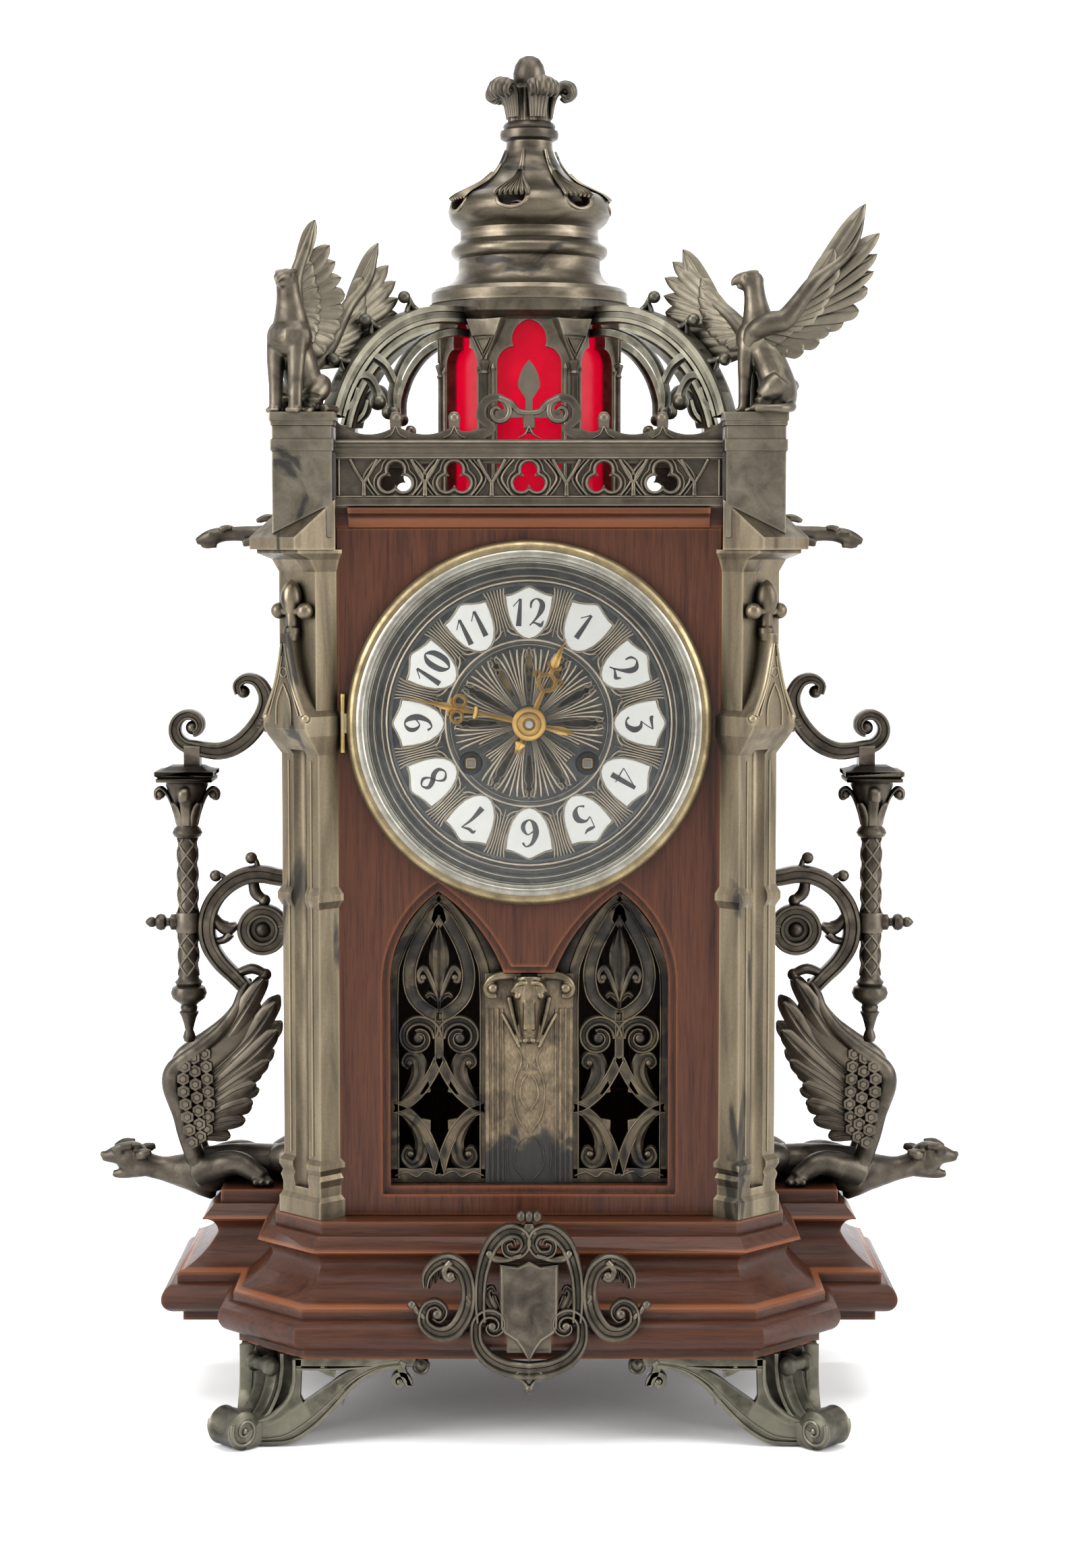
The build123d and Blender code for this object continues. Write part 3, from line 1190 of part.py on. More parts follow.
def foot():
    """Scroll foot of the corner +X +Y: a diagonal scroll leg with a pierced bracket along each side."""
    z = FOOT_HEIGHT
    root = PLINTH_DIAGONAL - FILLET_INSET - 5.5
    eye = FOOT_REACH - FOOT_SCROLL
    path = [(root, z), (root + 0.6, z - 10), (root + 5.0, z - 20.5), (eye - 8.0, z - 29.5), (eye, z - 31.8)]
    leg = ribbon(path, [12.0, 11.0, FOOT_BAND + 0.5, FOOT_BAND, FOOT_BAND - 1.0])
    scroll = Pos(eye, FOOT_SCROLL - 0.4) * Circle(FOOT_SCROLL)
    knob = Pos(root + 8.0, z - 5.5) * Circle(4.0)
    neck = outline((root, z), (root + 9.0, z), (root + 9.0, z - 8.0), (root, z - 8.0))
    base = diagonal_plane(0)
    across = Plane(origin=base.origin, x_dir=base.y_dir, z_dir=base.x_dir)
    solid = extrude(across * (leg + scroll), amount=FOOT_WIDTH / 2, both=True)
    solid += extrude(across * (knob + neck), amount=FOOT_WIDTH / 2 - 1, both=True)
    corner = foot_place(root + 4.0)
    y_face = PLINTH_HALF_DEPTH - FILLET_INSET - BRACKET_SETBACK
    x_face = PLINTH_HALF_WIDTH - FILLET_INSET - BRACKET_SETBACK
    along_x = Plane(origin=(corner[0] + 4, y_face, 0), x_dir=(-1, 0, 0), z_dir=(0, 1, 0))
    along_y = Plane(origin=(x_face, corner[1] + 4, 0), x_dir=(0, -1, 0), z_dir=(-1, 0, 0))
    solid += extrude(along_x * bracket_face(), amount=-BRACKET_THICK)
    solid += extrude(along_y * bracket_face(), amount=BRACKET_THICK)
    return solid & box(0, 2 * WING_REACH, 0, 2 * WING_REACH, 0, FOOT_HEIGHT)


def volute(x, z, radius, way):
    """Flat scroll: a ring with an eye and the bar that joins them, the bar on its left or right."""
    ring = Circle(radius) - Circle(0.62 * radius)
    bar = Pos(way * 0.5 * radius, 0) * Rectangle(0.7 * radius, 0.4 * radius)
    return Pos(x, z) * join([ring, Circle(0.36 * radius), bar])


def cartouche(plinth):
    """Shield in a strapwork frame with side scrolls, drawn in x and z, seated on the plinth."""
    low = FOOT_HEIGHT - CARTOUCHE_DROP
    high = low + CARTOUCHE_HEIGHT
    mid = low + 0.5 * CARTOUCHE_HEIGHT
    y1 = -PLINTH_HALF_DEPTH - CARTOUCHE_GAP
    y0 = y1 - CARTOUCHE_PROUD
    half = SHIELD_HALF_WIDTH
    shield = outline((-half, mid + 14), (half, mid + 14), (half, mid - 18), (0, mid - 26), (-half, mid - 18))
    strap = [
        Ellipse(22.0, 29.5) - Ellipse(16.0, 24.0),
        Pos(0, high - mid - 3.6) * Circle(3.6),
        Pos(0, high - mid - 10) * Circle(7.0),
        outline((-8, low - mid + 12), (8, low - mid + 12), (0, low - mid)),
    ]
    for way in (-1, 1):
        strap.append(volute(way * 29.0, -13.0, 9.5, way))
        strap.append(volute(way * 32.0, 5.0, 12.5, -way))
        strap.append(volute(way * 44.0, -8.0, 6.0, -way))
    boss = box(-half, half, y0 + 1, y1 + HOLLOW_INSET, Z_BASE + 4, Z_TOP_MOULD)
    for layer in plinth:
        boss -= layer
    return join([front_slab(Pos(0, mid) * join(strap), y0 + 0.5, y1), front_slab(shield, y0, y1), boss])


def window_grille():
    """Pierced Gothic tracery behind the window."""
    y0 = BOARD - CASE_HALF_DEPTH
    sheet = front_slab(lancet(GRILLE_LAP), y0, y0 + GRILLE_THICK)
    sill = Z_FLOOR + WINDOW_SILL
    spring = Z_FLOOR + WINDOW_SPRING
    holes = []
    for side in (-1, 1):
        x = side * LANCET_AXIS
        holes.append(outline((x - 4, spring + 6), (x, spring + 28), (x + 4, spring + 6), (x, spring + 2)))
        for offset in (-10.5, 10.5):
            holes.append(Pos(x + offset, spring - 2) * Ellipse(4.2, 7.5))
            holes.append(Pos(x + offset, spring - 26) * Ellipse(4.6, 8.0))
            holes.append(Pos(x + offset, sill + 36) * Ellipse(4.6, 8.0))
            holes.append(Pos(x + offset, sill + 13) * Ellipse(4.8, 8.5))
        holes.append(Pos(x, spring - 40) * Circle(6.0))
        holes.append(Pos(x, sill + 20) * Ellipse(3.4, 7.0))
        holes.append(Pos(x, spring - 14) * Ellipse(3.4, 6.0))
    for hole in holes:
        sheet -= front_slab(hole, y0, y0 + GRILLE_THICK)
    return sheet


def ram_mask():
    """Panel between the lancets with a ram's head under the wooden tongue."""
    y1 = BOARD - CASE_HALF_DEPTH
    y0 = y1 - MASK_THICK
    low = Z_FLOOR + WINDOW_SILL
    high = Z_FLOOR + TONGUE_END
    body = box(-MASK_HALF_WIDTH, MASK_HALF_WIDTH, y0 + 1.5, y1, low, high)
    head = limb(
        [(0, y0 + 1, high - 8), (0, y0 - 1, high - 14), (0, y0 - 1.2, high - 24)],
        [6.0, 5.4, 3.2],
        across=(1, 0, 0),
    )
    pieces = [body, head]
    for side in (-1, 1):
        horn = spiral((side * 11.5, high - 7.0), 6.0, 3.0, 90, 90 - side * 330, 9)
        pieces.append(front_slab(ribbon(horn, taper(4.0, 2.2, len(horn))), y0 - 1, y1 - 1))
    whole = join(pieces)
    return whole & box(-60, 60, y0 - 9, y1, low, high)


def dial_place(shape):
    """From dial coordinates (right, up, forward of the board) to the clock."""
    return Pos(0, -CASE_HALF_DEPTH, Z_DIAL) * Rot(90, 0, 0) * shape


def dial_plate():
    """Thin dial with its centre hole, two winding holes and twelve rays of piercings."""
    plate = upright(Circle(DIAL_RADIUS), 0, DIAL_THICK)
    holes = [Circle(PIPE_RADIUS + 0.6)]
    for side in (-1, 1):
        holes.append(Pos(side * WINDING_X, -WINDING_DROP) * Circle(WINDING_HOLE))
    ray = outline((-0.7, 13), (0.7, 13), (1.5, 27), (0, 30), (-1.5, 27))
    for index in range(HOURS):
        turn = 360.0 * index / HOURS
        if index not in (4, 8):
            holes.append(Rot(0, 0, turn) * ray)
    for hole in holes:
        plate -= upright(hole, -1, DIAL_THICK + 1)
    border = Circle(PLAQUE_OUTER + 1.8) - Circle(PLAQUE_OUTER + 0.6)
    inner = Circle(PLAQUE_INNER - 0.8) - Circle(PLAQUE_INNER - 2.4)
    for ring in (border, inner):
        plate += upright(ring, DIAL_THICK - 0.2, DIAL_THICK + 0.9)
    return dial_place(plate)


def numeral_plaques():
    """Twelve enamel shields in a ring."""
    half = PLAQUE_HALF
    shield = outline(
        (-half, PLAQUE_OUTER - 5.2),
        (-0.5 * half, PLAQUE_OUTER - 1.6, 0, PLAQUE_OUTER),
        (0.5 * half, PLAQUE_OUTER - 1.6, half, PLAQUE_OUTER - 5.2),
        (0.98 * half, PLAQUE_OUTER - 13.0, 0.55 * half, PLAQUE_INNER + 2.2),
        (0, PLAQUE_INNER),
        (-0.55 * half, PLAQUE_INNER + 2.2),
        (-0.98 * half, PLAQUE_OUTER - 13.0, -half, PLAQUE_OUTER - 5.2),
    )
    plaque = upright(shield, DIAL_THICK, DIAL_THICK + PLAQUE_THICK)
    return [dial_place(Rot(0, 0, 360.0 * index / HOURS) * plaque) for index in range(HOURS)]


def hand_level(step):
    """Forward distance of the back of a hand: the hour hand is step 0, the minute hand step 1."""
    return DIAL_THICK + PLAQUE_THICK + 1.4 + step * 2.0


def hour_hand():
    """Pierced hour hand with a tail."""
    n = HOUR_HAND
    blade = outline((-1.6, 0), (-1.0, 0.42 * n), (1.0, 0.42 * n), (1.6, 0))
    ring = Pos(0, 0.52 * n) * (Circle(5.2) - Circle(3.4))
    loops = [Pos(side * 4.4, 0.64 * n) * (Circle(3.0) - Circle(1.8)) for side in (-1, 1)]
    spear = outline((-1.2, 0.64 * n), (-2.2, 0.78 * n), (0, n), (2.2, 0.78 * n), (1.2, 0.64 * n))
    tail = outline((-1.4, 0), (-2.0, -10.5), (0, -13.6), (2.0, -10.5), (1.4, 0))
    face = join([blade, ring, *loops, spear, tail, Circle(PIPE_RADIUS + 2.0)]) - Circle(PIPE_RADIUS)
    z0 = hand_level(0)
    return dial_place(Rot(0, 0, -HOUR_ANGLE) * upright(face, z0, z0 + HAND_THICK))


def minute_hand():
    """Slim minute hand with two loops and a tail."""
    n = MINUTE_HAND
    blade = outline((-1.5, 0), (-0.9, 0.54 * n), (-0.9, 0.62 * n), (-1.5, 0.7 * n), (0, n),
                    (1.5, 0.7 * n), (0.9, 0.62 * n), (0.9, 0.54 * n), (1.5, 0))
    loops = [Pos(side * 2.9, 0.58 * n) * (Circle(3.1) - Circle(1.9)) for side in (-1, 1)]
    tail = outline((-1.3, 0), (-1.9, -14.0), (0, -19.0), (1.9, -14.0), (1.3, 0))
    face = join([blade, *loops, tail, Circle(ARBOR_RADIUS + 3.0)]) - Circle(ARBOR_RADIUS)
    z0 = hand_level(1)
    return dial_place(Rot(0, 0, -MINUTE_ANGLE) * upright(face, z0, z0 + HAND_THICK))


def hand_nut():
    """Round brass nut in front of the minute hand."""
    z0 = hand_level(1) + HAND_THICK
    profile = outline((ARBOR_RADIUS, z0), (6.8, z0), (6.8, z0 + 1.2), (4.4, z0 + 1.8), (4.0, z0 + 3.0),
                      (2.4, z0 + 3.8), (ARBOR_RADIUS, z0 + 3.8))
    return dial_place(turned(profile))


def bezel_rim():
    """Brass outer rim with the moving knuckle of its hinge on the left."""
    low = BEZEL_GAP
    inner = BEZEL_RADIUS - BEZEL_RIM
    high = BEZEL_DEPTH
    profile = outline((inner, low), (BEZEL_RADIUS, low), (BEZEL_RADIUS, low + 2.0),
                      (BEZEL_RADIUS - 0.8, high - 1.2, inner + 1.6, high), (inner, high))
    half = KNUCKLE_LENGTH / 2 - RUNNING_GAP
    lug = box(-HINGE_X, -inner - 0.5, -half, half, HINGE_FORWARD - 1.0, HINGE_FORWARD + 1.0)
    barrel = Pos(-HINGE_X, 0, HINGE_FORWARD) * Rot(90, 0, 0) * Cylinder(KNUCKLE_RADIUS, 2 * half)
    bore = Pos(-HINGE_X, 0, HINGE_FORWARD) * Rot(90, 0, 0) * Cylinder(HINGE_PIN + RUNNING_GAP, 4 * half)
    return dial_place(turned(profile) + lug + barrel - bore)


def bezel_ring():
    """Silvered sloping ring inside the rim, with the seat of the glass."""
    outer = BEZEL_RADIUS - BEZEL_RIM
    back = DIAL_THICK + 0.5
    front = BEZEL_DEPTH + 1.2
    profile = outline(
        (outer, back),
        (outer, front),
        (outer - 1.4, front + 0.6, outer - 2.6, front),
        (GLASS_SEAT, front - 1.2),
        (GLASS_SEAT, back + 2.6),
        (SLOPE_INNER, back + 1.6),
        (SLOPE_INNER, back),
    )
    return dial_place(turned(profile))


def dial_glass():
    """Domed glass in its seat."""
    edge = GLASS_SEAT - RUNNING_GAP
    low = DIAL_THICK + 0.5 + 2.6 + RUNNING_GAP
    high = low + GLASS_THICK
    half = 0.5 * edge
    rise = cap_height(edge, GLASS_CROWN, half)
    profile = outline(
        (0, low + GLASS_CROWN),
        (half, low + rise, edge, low),
        (edge, high),
        (half, high + rise, 0, high + GLASS_CROWN),
    )
    return dial_place(turned(profile))


def bezel_hinge_pin():
    """Fixed half of the bezel hinge: a leaf on the board, two knuckles and the pin."""
    half = 1.5 * KNUCKLE_LENGTH
    pieces = [Cylinder(HINGE_PIN, 2 * half)]
    for side in (-1, 1):
        knuckle = Cylinder(KNUCKLE_RADIUS, KNUCKLE_LENGTH - RUNNING_GAP)
        pieces.append(Pos(0, 0, side * (KNUCKLE_LENGTH + RUNNING_GAP / 2)) * knuckle)
        near = side * (KNUCKLE_LENGTH / 2 + RUNNING_GAP)
        far = side * half
        leaf = box(-0.1, KNUCKLE_RADIUS - 0.2, -0.4, HINGE_FORWARD, min(near, far), max(near, far))
        pieces.append(leaf)
    return Pos(-HINGE_X, -CASE_HALF_DEPTH - HINGE_FORWARD, Z_DIAL) * join(pieces)


def gear_face(teeth, module, first_tooth):
    """Toothed wheel outline, its first tooth at an angle in degrees."""
    pitch = module * teeth / 2
    tip = pitch + 0.75 * module
    root = pitch - 1.15 * module
    step = 2 * math.pi / teeth
    points = []
    for index in range(teeth):
        middle = math.radians(first_tooth) + index * step
        for radius, share in ((root, -0.27), (tip, -0.1), (tip, 0.1), (root, 0.27)):
            angle = middle + share * step
            points.append((radius * math.cos(angle), radius * math.sin(angle)))
    return make_face(Polyline(*points, close=True))


def behind(distance):
    """Forward coordinate of a plane behind the board's front face."""
    return -distance


def centre_arbor():
    """Arbor of the minute hand with the cannon pinion on it."""
    low = behind(BOARD + PLATE_THICK + 6.0)
    rod = upright(Circle(ARBOR_RADIUS), low, hand_level(1) + HAND_THICK + 3.8)
    pinion = upright(gear_face(PINION_TEETH, MOTION_MODULE_A, 90), behind(BOARD - 0.6), behind(BOARD - 3.0))
    return dial_place(rod + pinion)


def minute_wheel():
    """Intermediate wheel and pinion of the motion work, above the centre."""
    bore = Circle(STUD_RADIUS + RUNNING_GAP)
    wheel = gear_face(MINUTE_WHEEL_TEETH, MOTION_MODULE_A, -90 + 180.0 / MINUTE_WHEEL_TEETH)
    pinion = gear_face(MINUTE_PINION_TEETH, MOTION_MODULE_B, -90)
    body = upright(wheel, behind(BOARD - 0.8), behind(BOARD - 2.8))
    body += upright(pinion, behind(BOARD - 2.8), behind(BOARD - 7.2))
    body -= upright(bore, behind(BOARD), behind(0))
    return dial_place(Pos(0, MOTION_CENTRES, 0) * body)


def hour_wheel():
    """Hour wheel with the pipe that carries the hour hand."""
    wheel = gear_face(HOUR_WHEEL_TEETH, MOTION_MODULE_B, 90 + 180.0 / HOUR_WHEEL_TEETH)
    body = upright(wheel, behind(BOARD - 4.6), behind(BOARD - 6.6))
    body += upright(Circle(PIPE_RADIUS), behind(BOARD - 4.6), hand_level(0) + HAND_THICK)
    body -= upright(Circle(ARBOR_RADIUS + RUNNING_GAP), behind(BOARD), BOARD)
    return dial_place(body)


def back_plate_face():
    """Forward coordinate of the back plate's rear face."""
    return behind(BOARD + 2 * PLATE_THICK + PLATE_SPACE)


def bell_spot():
    """Place of the bell post beside the pendulum, in dial coordinates."""
    return (15.0, 10.0)


def hammer_pivot():
    return (40.0, -22.0)


def movement_frame():
    """Two plates with pillars, the studs and the bell post."""
    front = behind(BOARD)
    back = back_plate_face()
    body = upright(Circle(PLATE_RADIUS), front - PLATE_THICK, front)
    body += upright(Circle(PLATE_RADIUS - 14), back, back + PLATE_THICK)
    for angle in (20, 160, 255, 285):
        turn = math.radians(angle)
        spot = ((PLATE_RADIUS - 19) * math.cos(turn), (PLATE_RADIUS - 19) * math.sin(turn))
        body += Pos(*spot) * upright(Circle(PILLAR_RADIUS), back, front)
    body -= upright(Circle(ARBOR_RADIUS + RUNNING_GAP), front - PLATE_THICK - 1, front + 1)
    for side in (-1, 1):
        hole = Pos(side * WINDING_X, -WINDING_DROP) * Circle(3.0 + RUNNING_GAP)
        body -= upright(hole, back - 1, front + 1)
    stud = Pos(0, MOTION_CENTRES) * Circle(STUD_RADIUS)
    body += upright(stud, front - PLATE_THICK, behind(BOARD - 8.0))
    pivot = Pos(0, PLATE_RADIUS - 20) * Circle(PIVOT_RADIUS)
    body += upright(pivot, back - 12.0, back + PLATE_THICK)
    post = Pos(*bell_spot()) * Circle(2.0)
    body += upright(post, back - 16.0 - BELL_DEPTH, back + PLATE_THICK)
    hammer_stud = Pos(*hammer_pivot()) * Circle(PIVOT_RADIUS)
    body += upright(hammer_stud, back - 10.0, back + PLATE_THICK)
    return dial_place(body)


def barrel(side):
    """Spring barrel between the plates with its winding square behind the dial."""
    front = behind(BOARD)
    middle = front - PLATE_THICK - PLATE_SPACE / 2
    body = upright(Circle(BARREL_RADIUS), middle - BARREL_LENGTH / 2, middle + BARREL_LENGTH / 2)
    body += upright(Circle(BARREL_RADIUS + 2.0), middle - BARREL_LENGTH / 2, middle - BARREL_LENGTH / 2 + 3.0)
    body += upright(Circle(3.0), back_plate_face(), behind(0) - 1.0)
    body += upright(Rectangle(WINDING_SQUARE, WINDING_SQUARE), behind(0) - 1.0, DIAL_THICK + 0.4)
    return dial_place(Pos(side * WINDING_X, -WINDING_DROP, 0) * body)


def pendulum():
    """Rod, eye and lens-shaped bob behind the movement."""
    plane = back_plate_face() - 6.0
    eye = Circle(4.0) - Circle(PIVOT_RADIUS + RUNNING_GAP)
    top = PLATE_RADIUS - 20
    low = top - PENDULUM_LENGTH
    body = upright(Pos(0, top) * eye, plane - 2.0, plane + 2.0)
    rod = outline((-1.2, top - 3.8), (1.2, top - 3.8), (1.2, low), (-1.2, low))
    body += upright(rod, plane - 1.2, plane + 1.2)
    half = 0.5 * PENDULUM_BOB
    rise = cap_height(PENDULUM_BOB, BOB_CROWN, half)
    lens = outline((0, -BOB_CROWN), (half, -rise, PENDULUM_BOB, 0), (half, rise, 0, BOB_CROWN))
    body += Pos(0, low, plane) * turned(lens)
    body += upright(Pos(0, low - PENDULUM_BOB - 1) * Circle(3.0), plane - 2.0, plane + 2.0)
    return dial_place(body)


def bell():
    """Cup bell on its post, open towards the movement."""
    mouth = back_plate_face() - 14.0
    deep = mouth - BELL_DEPTH
    r = BELL_RADIUS
    profile = outline(
        (2.0, deep),
        (6.0, deep),
        (0.8 * r, deep + 0.35 * BELL_DEPTH, r, mouth),
        (r - BELL_WALL, mouth),
        (0.8 * r - BELL_WALL, deep + 0.35 * BELL_DEPTH + BELL_WALL, 6.0, deep + BELL_WALL),
        (2.0, deep + BELL_WALL),
    )
    return dial_place(Pos(*bell_spot(), 0) * turned(profile))


def hammer():
    """Strike hammer on its stud beside the bell."""
    plane = back_plate_face() - 6.0
    px, pz = hammer_pivot()
    bx, bz = bell_spot()
    head_x = bx + BELL_RADIUS + 5.0
    eye = Pos(px, pz) * (Circle(4.0) - Circle(PIVOT_RADIUS + RUNNING_GAP))
    length = math.dist((px, pz), (head_x, bz))
    turn = math.degrees(math.atan2(bz - pz, head_x - px))
    arm = Pos(px, pz) * Rot(0, 0, turn) * outline((3.6, -1.2), (length, -1.2), (length, 1.2), (3.6, 1.2))
    body = upright(eye, plane - 2.0, plane + 2.0) + upright(arm, plane - 1.2, plane + 1.2)
    body += upright(Pos(head_x, bz) * Circle(4.0), plane - 12.0, plane + 2.0)
    return dial_place(body)


def build():
    """All pieces by node name."""
    plinth = [
        plinth_layer(BASE_PROFILE, Z_BASE),
        plinth_layer(CAVETTO_PROFILE, Z_CAVETTO),
        plinth_layer(TOP_PROFILE, Z_TOP_MOULD),
    ]
    nodes = {
        "plinth_base": plinth[0],
        "plinth_cavetto": plinth[1],
        "plinth_top_board": plinth[2],
        "front_panel": front_panel(),
        "case_side_right": case_side(),
        "case_side_left": flip_x(case_side()),
        "case_back_frame": case_back_frame(),
        "back_door": back_door(),
        "back_door_pivots": back_door_pivots(),
        "back_door_knob": back_door_knob(),
        "case_cornice": case_cornice(),
        "case_top_board": upright(case_outline(), Z_PANEL_TOP, Z_ROOF),
    }
    corner = buttress()
    block = pedestal(corner)
    flyer = flying_buttress()
    leg = foot()
    places = {
        "rear_right": lambda shape: shape,
        "rear_left": flip_x,
        "front_right": flip_y,
        "front_left": lambda shape: flip_x(flip_y(shape)),
    }
    for name, place in places.items():
        nodes["buttress_" + name] = place(corner)
        nodes["foot_" + name] = place(leg)
    nodes["corner_pedestals"] = [place(block) for place in places.values()]
    nodes["flying_buttresses"] = [place(flyer) for place in places.values()]
    half_x = PEDESTAL_X - PEDESTAL_CAP_HALF
    half_y = PEDESTAL_Y - PEDESTAL_CAP_HALF
    eyes = [-TREFOIL_FAR, -TREFOIL_NEAR, 0, TREFOIL_NEAR, TREFOIL_FAR]
    crests = [-CREST_FAR, -CREST_NEAR, CREST_NEAR, CREST_FAR]
    front = Pos(0, -GALLERY_FACE + GALLERY_THICK / 2, 0) * gallery(half_x, eyes, crests, True)
    rear = gallery(half_x, eyes, crests, False)
    side = gallery(half_y, [-TREFOIL_SIDE, 0, TREFOIL_SIDE], [-CREST_NEAR, CREST_NEAR], False)
    side_x = GALLERY_FACE + PLAN_SKEW - GALLERY_THICK / 2
    nodes["gallery_front"] = front
    nodes["gallery_rear"] = Pos(0, GALLERY_FACE - GALLERY_THICK / 2, 0) * Rot(0, 0, 180) * rear
    nodes["gallery_right"] = Pos(side_x, 0, 0) * Rot(0, 0, 90) * side
    nodes["gallery_left"] = flip_x(nodes["gallery_right"])
    nodes["lantern_frame"] = lantern_frame()
    nodes["lantern_glass"] = lantern_glass()
    nodes["dome"] = dome()
    nodes["dome_finial"] = dome_finial()
    beast_x = PEDESTAL_X + GRYPHON_SHIFT
    beast_y = PEDESTAL_Y + GRYPHON_SHIFT
    left_flyer = places["front_left"](flyer)
    right_flyer = places["front_right"](flyer)
    nodes["gryphon_left"] = gryphon(203, ((-12, 28), (12, -28)), -beast_x, -beast_y, left_flyer)
    nodes["gryphon_right"] = gryphon(125, ((-12, 50), (12, -50)), beast_x, -beast_y, right_flyer)
    torch_right = torch()
    scroll = side_scroll(torch_right)
    beast = gargoyle(plinth)
    spout = waterspout()
    nodes["torch_right"] = torch_right
    nodes["torch_left"] = flip_x(torch_right)
    nodes["side_scroll_right"] = scroll
    nodes["side_scroll_left"] = [flip_x(piece) for piece in scroll]
    nodes["gargoyle_right"] = beast
    nodes["gargoyle_left"] = flip_x(beast)
    nodes["waterspouts"] = [spout, flip_x(spout)]
    nodes["cartouche"] = cartouche(plinth)
    nodes["window_grille"] = window_grille()
    nodes["ram_mask"] = ram_mask()
    nodes["dial_plate"] = dial_plate()
    nodes["numeral_plaques"] = numeral_plaques()
    nodes["hour_hand"] = hour_hand()
    nodes["minute_hand"] = minute_hand()
    nodes["hand_nut"] = hand_nut()
    nodes["bezel_rim"] = bezel_rim()
    nodes["bezel_ring"] = bezel_ring()
    nodes["dial_glass"] = dial_glass()
    nodes["bezel_hinge_pin"] = bezel_hinge_pin()
    nodes["centre_arbor"] = centre_arbor()
    nodes["minute_wheel"] = minute_wheel()
    nodes["hour_wheel"] = hour_wheel()
    nodes["movement_frame"] = movement_frame()
    nodes["going_barrel"] = barrel(1)
    nodes["strike_barrel"] = barrel(-1)
    nodes["pendulum"] = pendulum()
    nodes["bell"] = bell()
    nodes["hammer"] = hammer()
    return nodes


os.makedirs("parts", exist_ok=True)
for node_name, shape in build().items():
    whole = Compound(children=list(shape)) if isinstance(shape, list) else shape
    export_step(whole, f"parts/{node_name}.step")
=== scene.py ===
"""Looks of the chapel mantel clock: finishes, cast ornament, dial, stage, light and camera.

Lengths are millimetres in the clock's own frame: +X to the right, +Y to the back, +Z up, the dial faces -Y.
"""
import json
import math

import bmesh
import bpy
from mathutils import Matrix, Vector


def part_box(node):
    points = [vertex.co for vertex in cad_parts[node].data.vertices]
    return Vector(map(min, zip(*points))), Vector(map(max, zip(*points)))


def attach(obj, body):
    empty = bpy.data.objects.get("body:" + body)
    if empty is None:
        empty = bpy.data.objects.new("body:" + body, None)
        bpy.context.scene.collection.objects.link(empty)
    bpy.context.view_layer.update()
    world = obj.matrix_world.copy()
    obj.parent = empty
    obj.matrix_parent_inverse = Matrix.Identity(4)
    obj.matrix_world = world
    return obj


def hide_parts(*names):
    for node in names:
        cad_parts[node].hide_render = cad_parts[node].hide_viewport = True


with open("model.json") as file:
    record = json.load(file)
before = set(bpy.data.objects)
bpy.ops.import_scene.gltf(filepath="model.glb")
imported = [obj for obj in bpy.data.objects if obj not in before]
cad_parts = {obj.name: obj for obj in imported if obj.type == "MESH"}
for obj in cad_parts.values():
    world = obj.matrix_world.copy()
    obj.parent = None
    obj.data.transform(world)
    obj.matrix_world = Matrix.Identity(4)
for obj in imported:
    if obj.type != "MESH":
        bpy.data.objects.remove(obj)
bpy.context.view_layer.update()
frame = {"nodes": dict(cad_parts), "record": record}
NODES = frame["nodes"]

MM = 0.001
PHOTO_HEIGHT = 2324
FOCAL_PIXELS = 4450
SENSOR = 36.0
CAMERA_AT = (1.8, -1307.0, 371.0)
CAMERA_PITCH = 4.65
SOOT_LINE = 128.0
CREASE_ANGLE = 42.0
EDGE_ANGLE = 35.0
EDGE_WIDTH = 0.45


def corners(node):
    """Lowest and highest corner of a node, in millimetres."""
    low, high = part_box(node)
    return low / MM, high / MM


Z_FLOOR = corners("plinth_top_board")[1].z
Z_ROOF = corners("case_top_board")[1].z
Z_DOME = corners("lantern_frame")[1].z
Z_PEDESTAL = corners("corner_pedestals")[1].z
DIAL_LOW, DIAL_HIGH = corners("numeral_plaques")
Z_DIAL = (DIAL_LOW.z + DIAL_HIGH.z) / 2
Y_DIAL = DIAL_HIGH.y


# Cross-sections of swept bands: across and up, each in units of a half width and a height
def arc_section(count, start, end):
    """Points on a unit circle between two angles in degrees."""
    angles = [math.radians(start + (end - start) * i / (count - 1)) for i in range(count)]
    return [(math.cos(a), math.sin(a)) for a in angles]


def circle(radius, half, count, x=0.0, y=0.0):
    """Closed run of stations round a circle."""
    return [(x + radius * a, y + radius * b, half) for a, b in arc_section(count + 1, 0, 360)[:-1]]


ROUND = arc_section(13, 0, 360)[:-1]
LIMB = arc_section(23, 0, 360)[:-1]
LIMB_UP = (0.13, 0.31, 0.94)
ROLL = arc_section(9, 0, 180) + [(-1, -0.4), (1, -0.4)]
RIDGE = [(1, -0.4), (1, 0.1), (0.45, 0.45), (0, 1), (-0.45, 0.45), (-1, 0.1), (-1, -0.4)]
FLAT = [(1, -0.4), (1, 0.8), (0.85, 1), (-0.85, 1), (-1, 0.8), (-1, -0.4)]
GROOVE = [(1, -0.4), (1, 0.75), (0.8, 1), (0.5, 0.95), (0.25, 0.5), (-0.25, 0.5), (-0.5, 0.95), (-0.8, 1),
          (-1, 0.75), (-1, -0.4)]
BEAM = [(1, -0.8), (1, 0.8), (0.8, 1), (-0.8, 1), (-1, 0.8), (-1, -0.8), (-0.8, -1), (0.8, -1)]
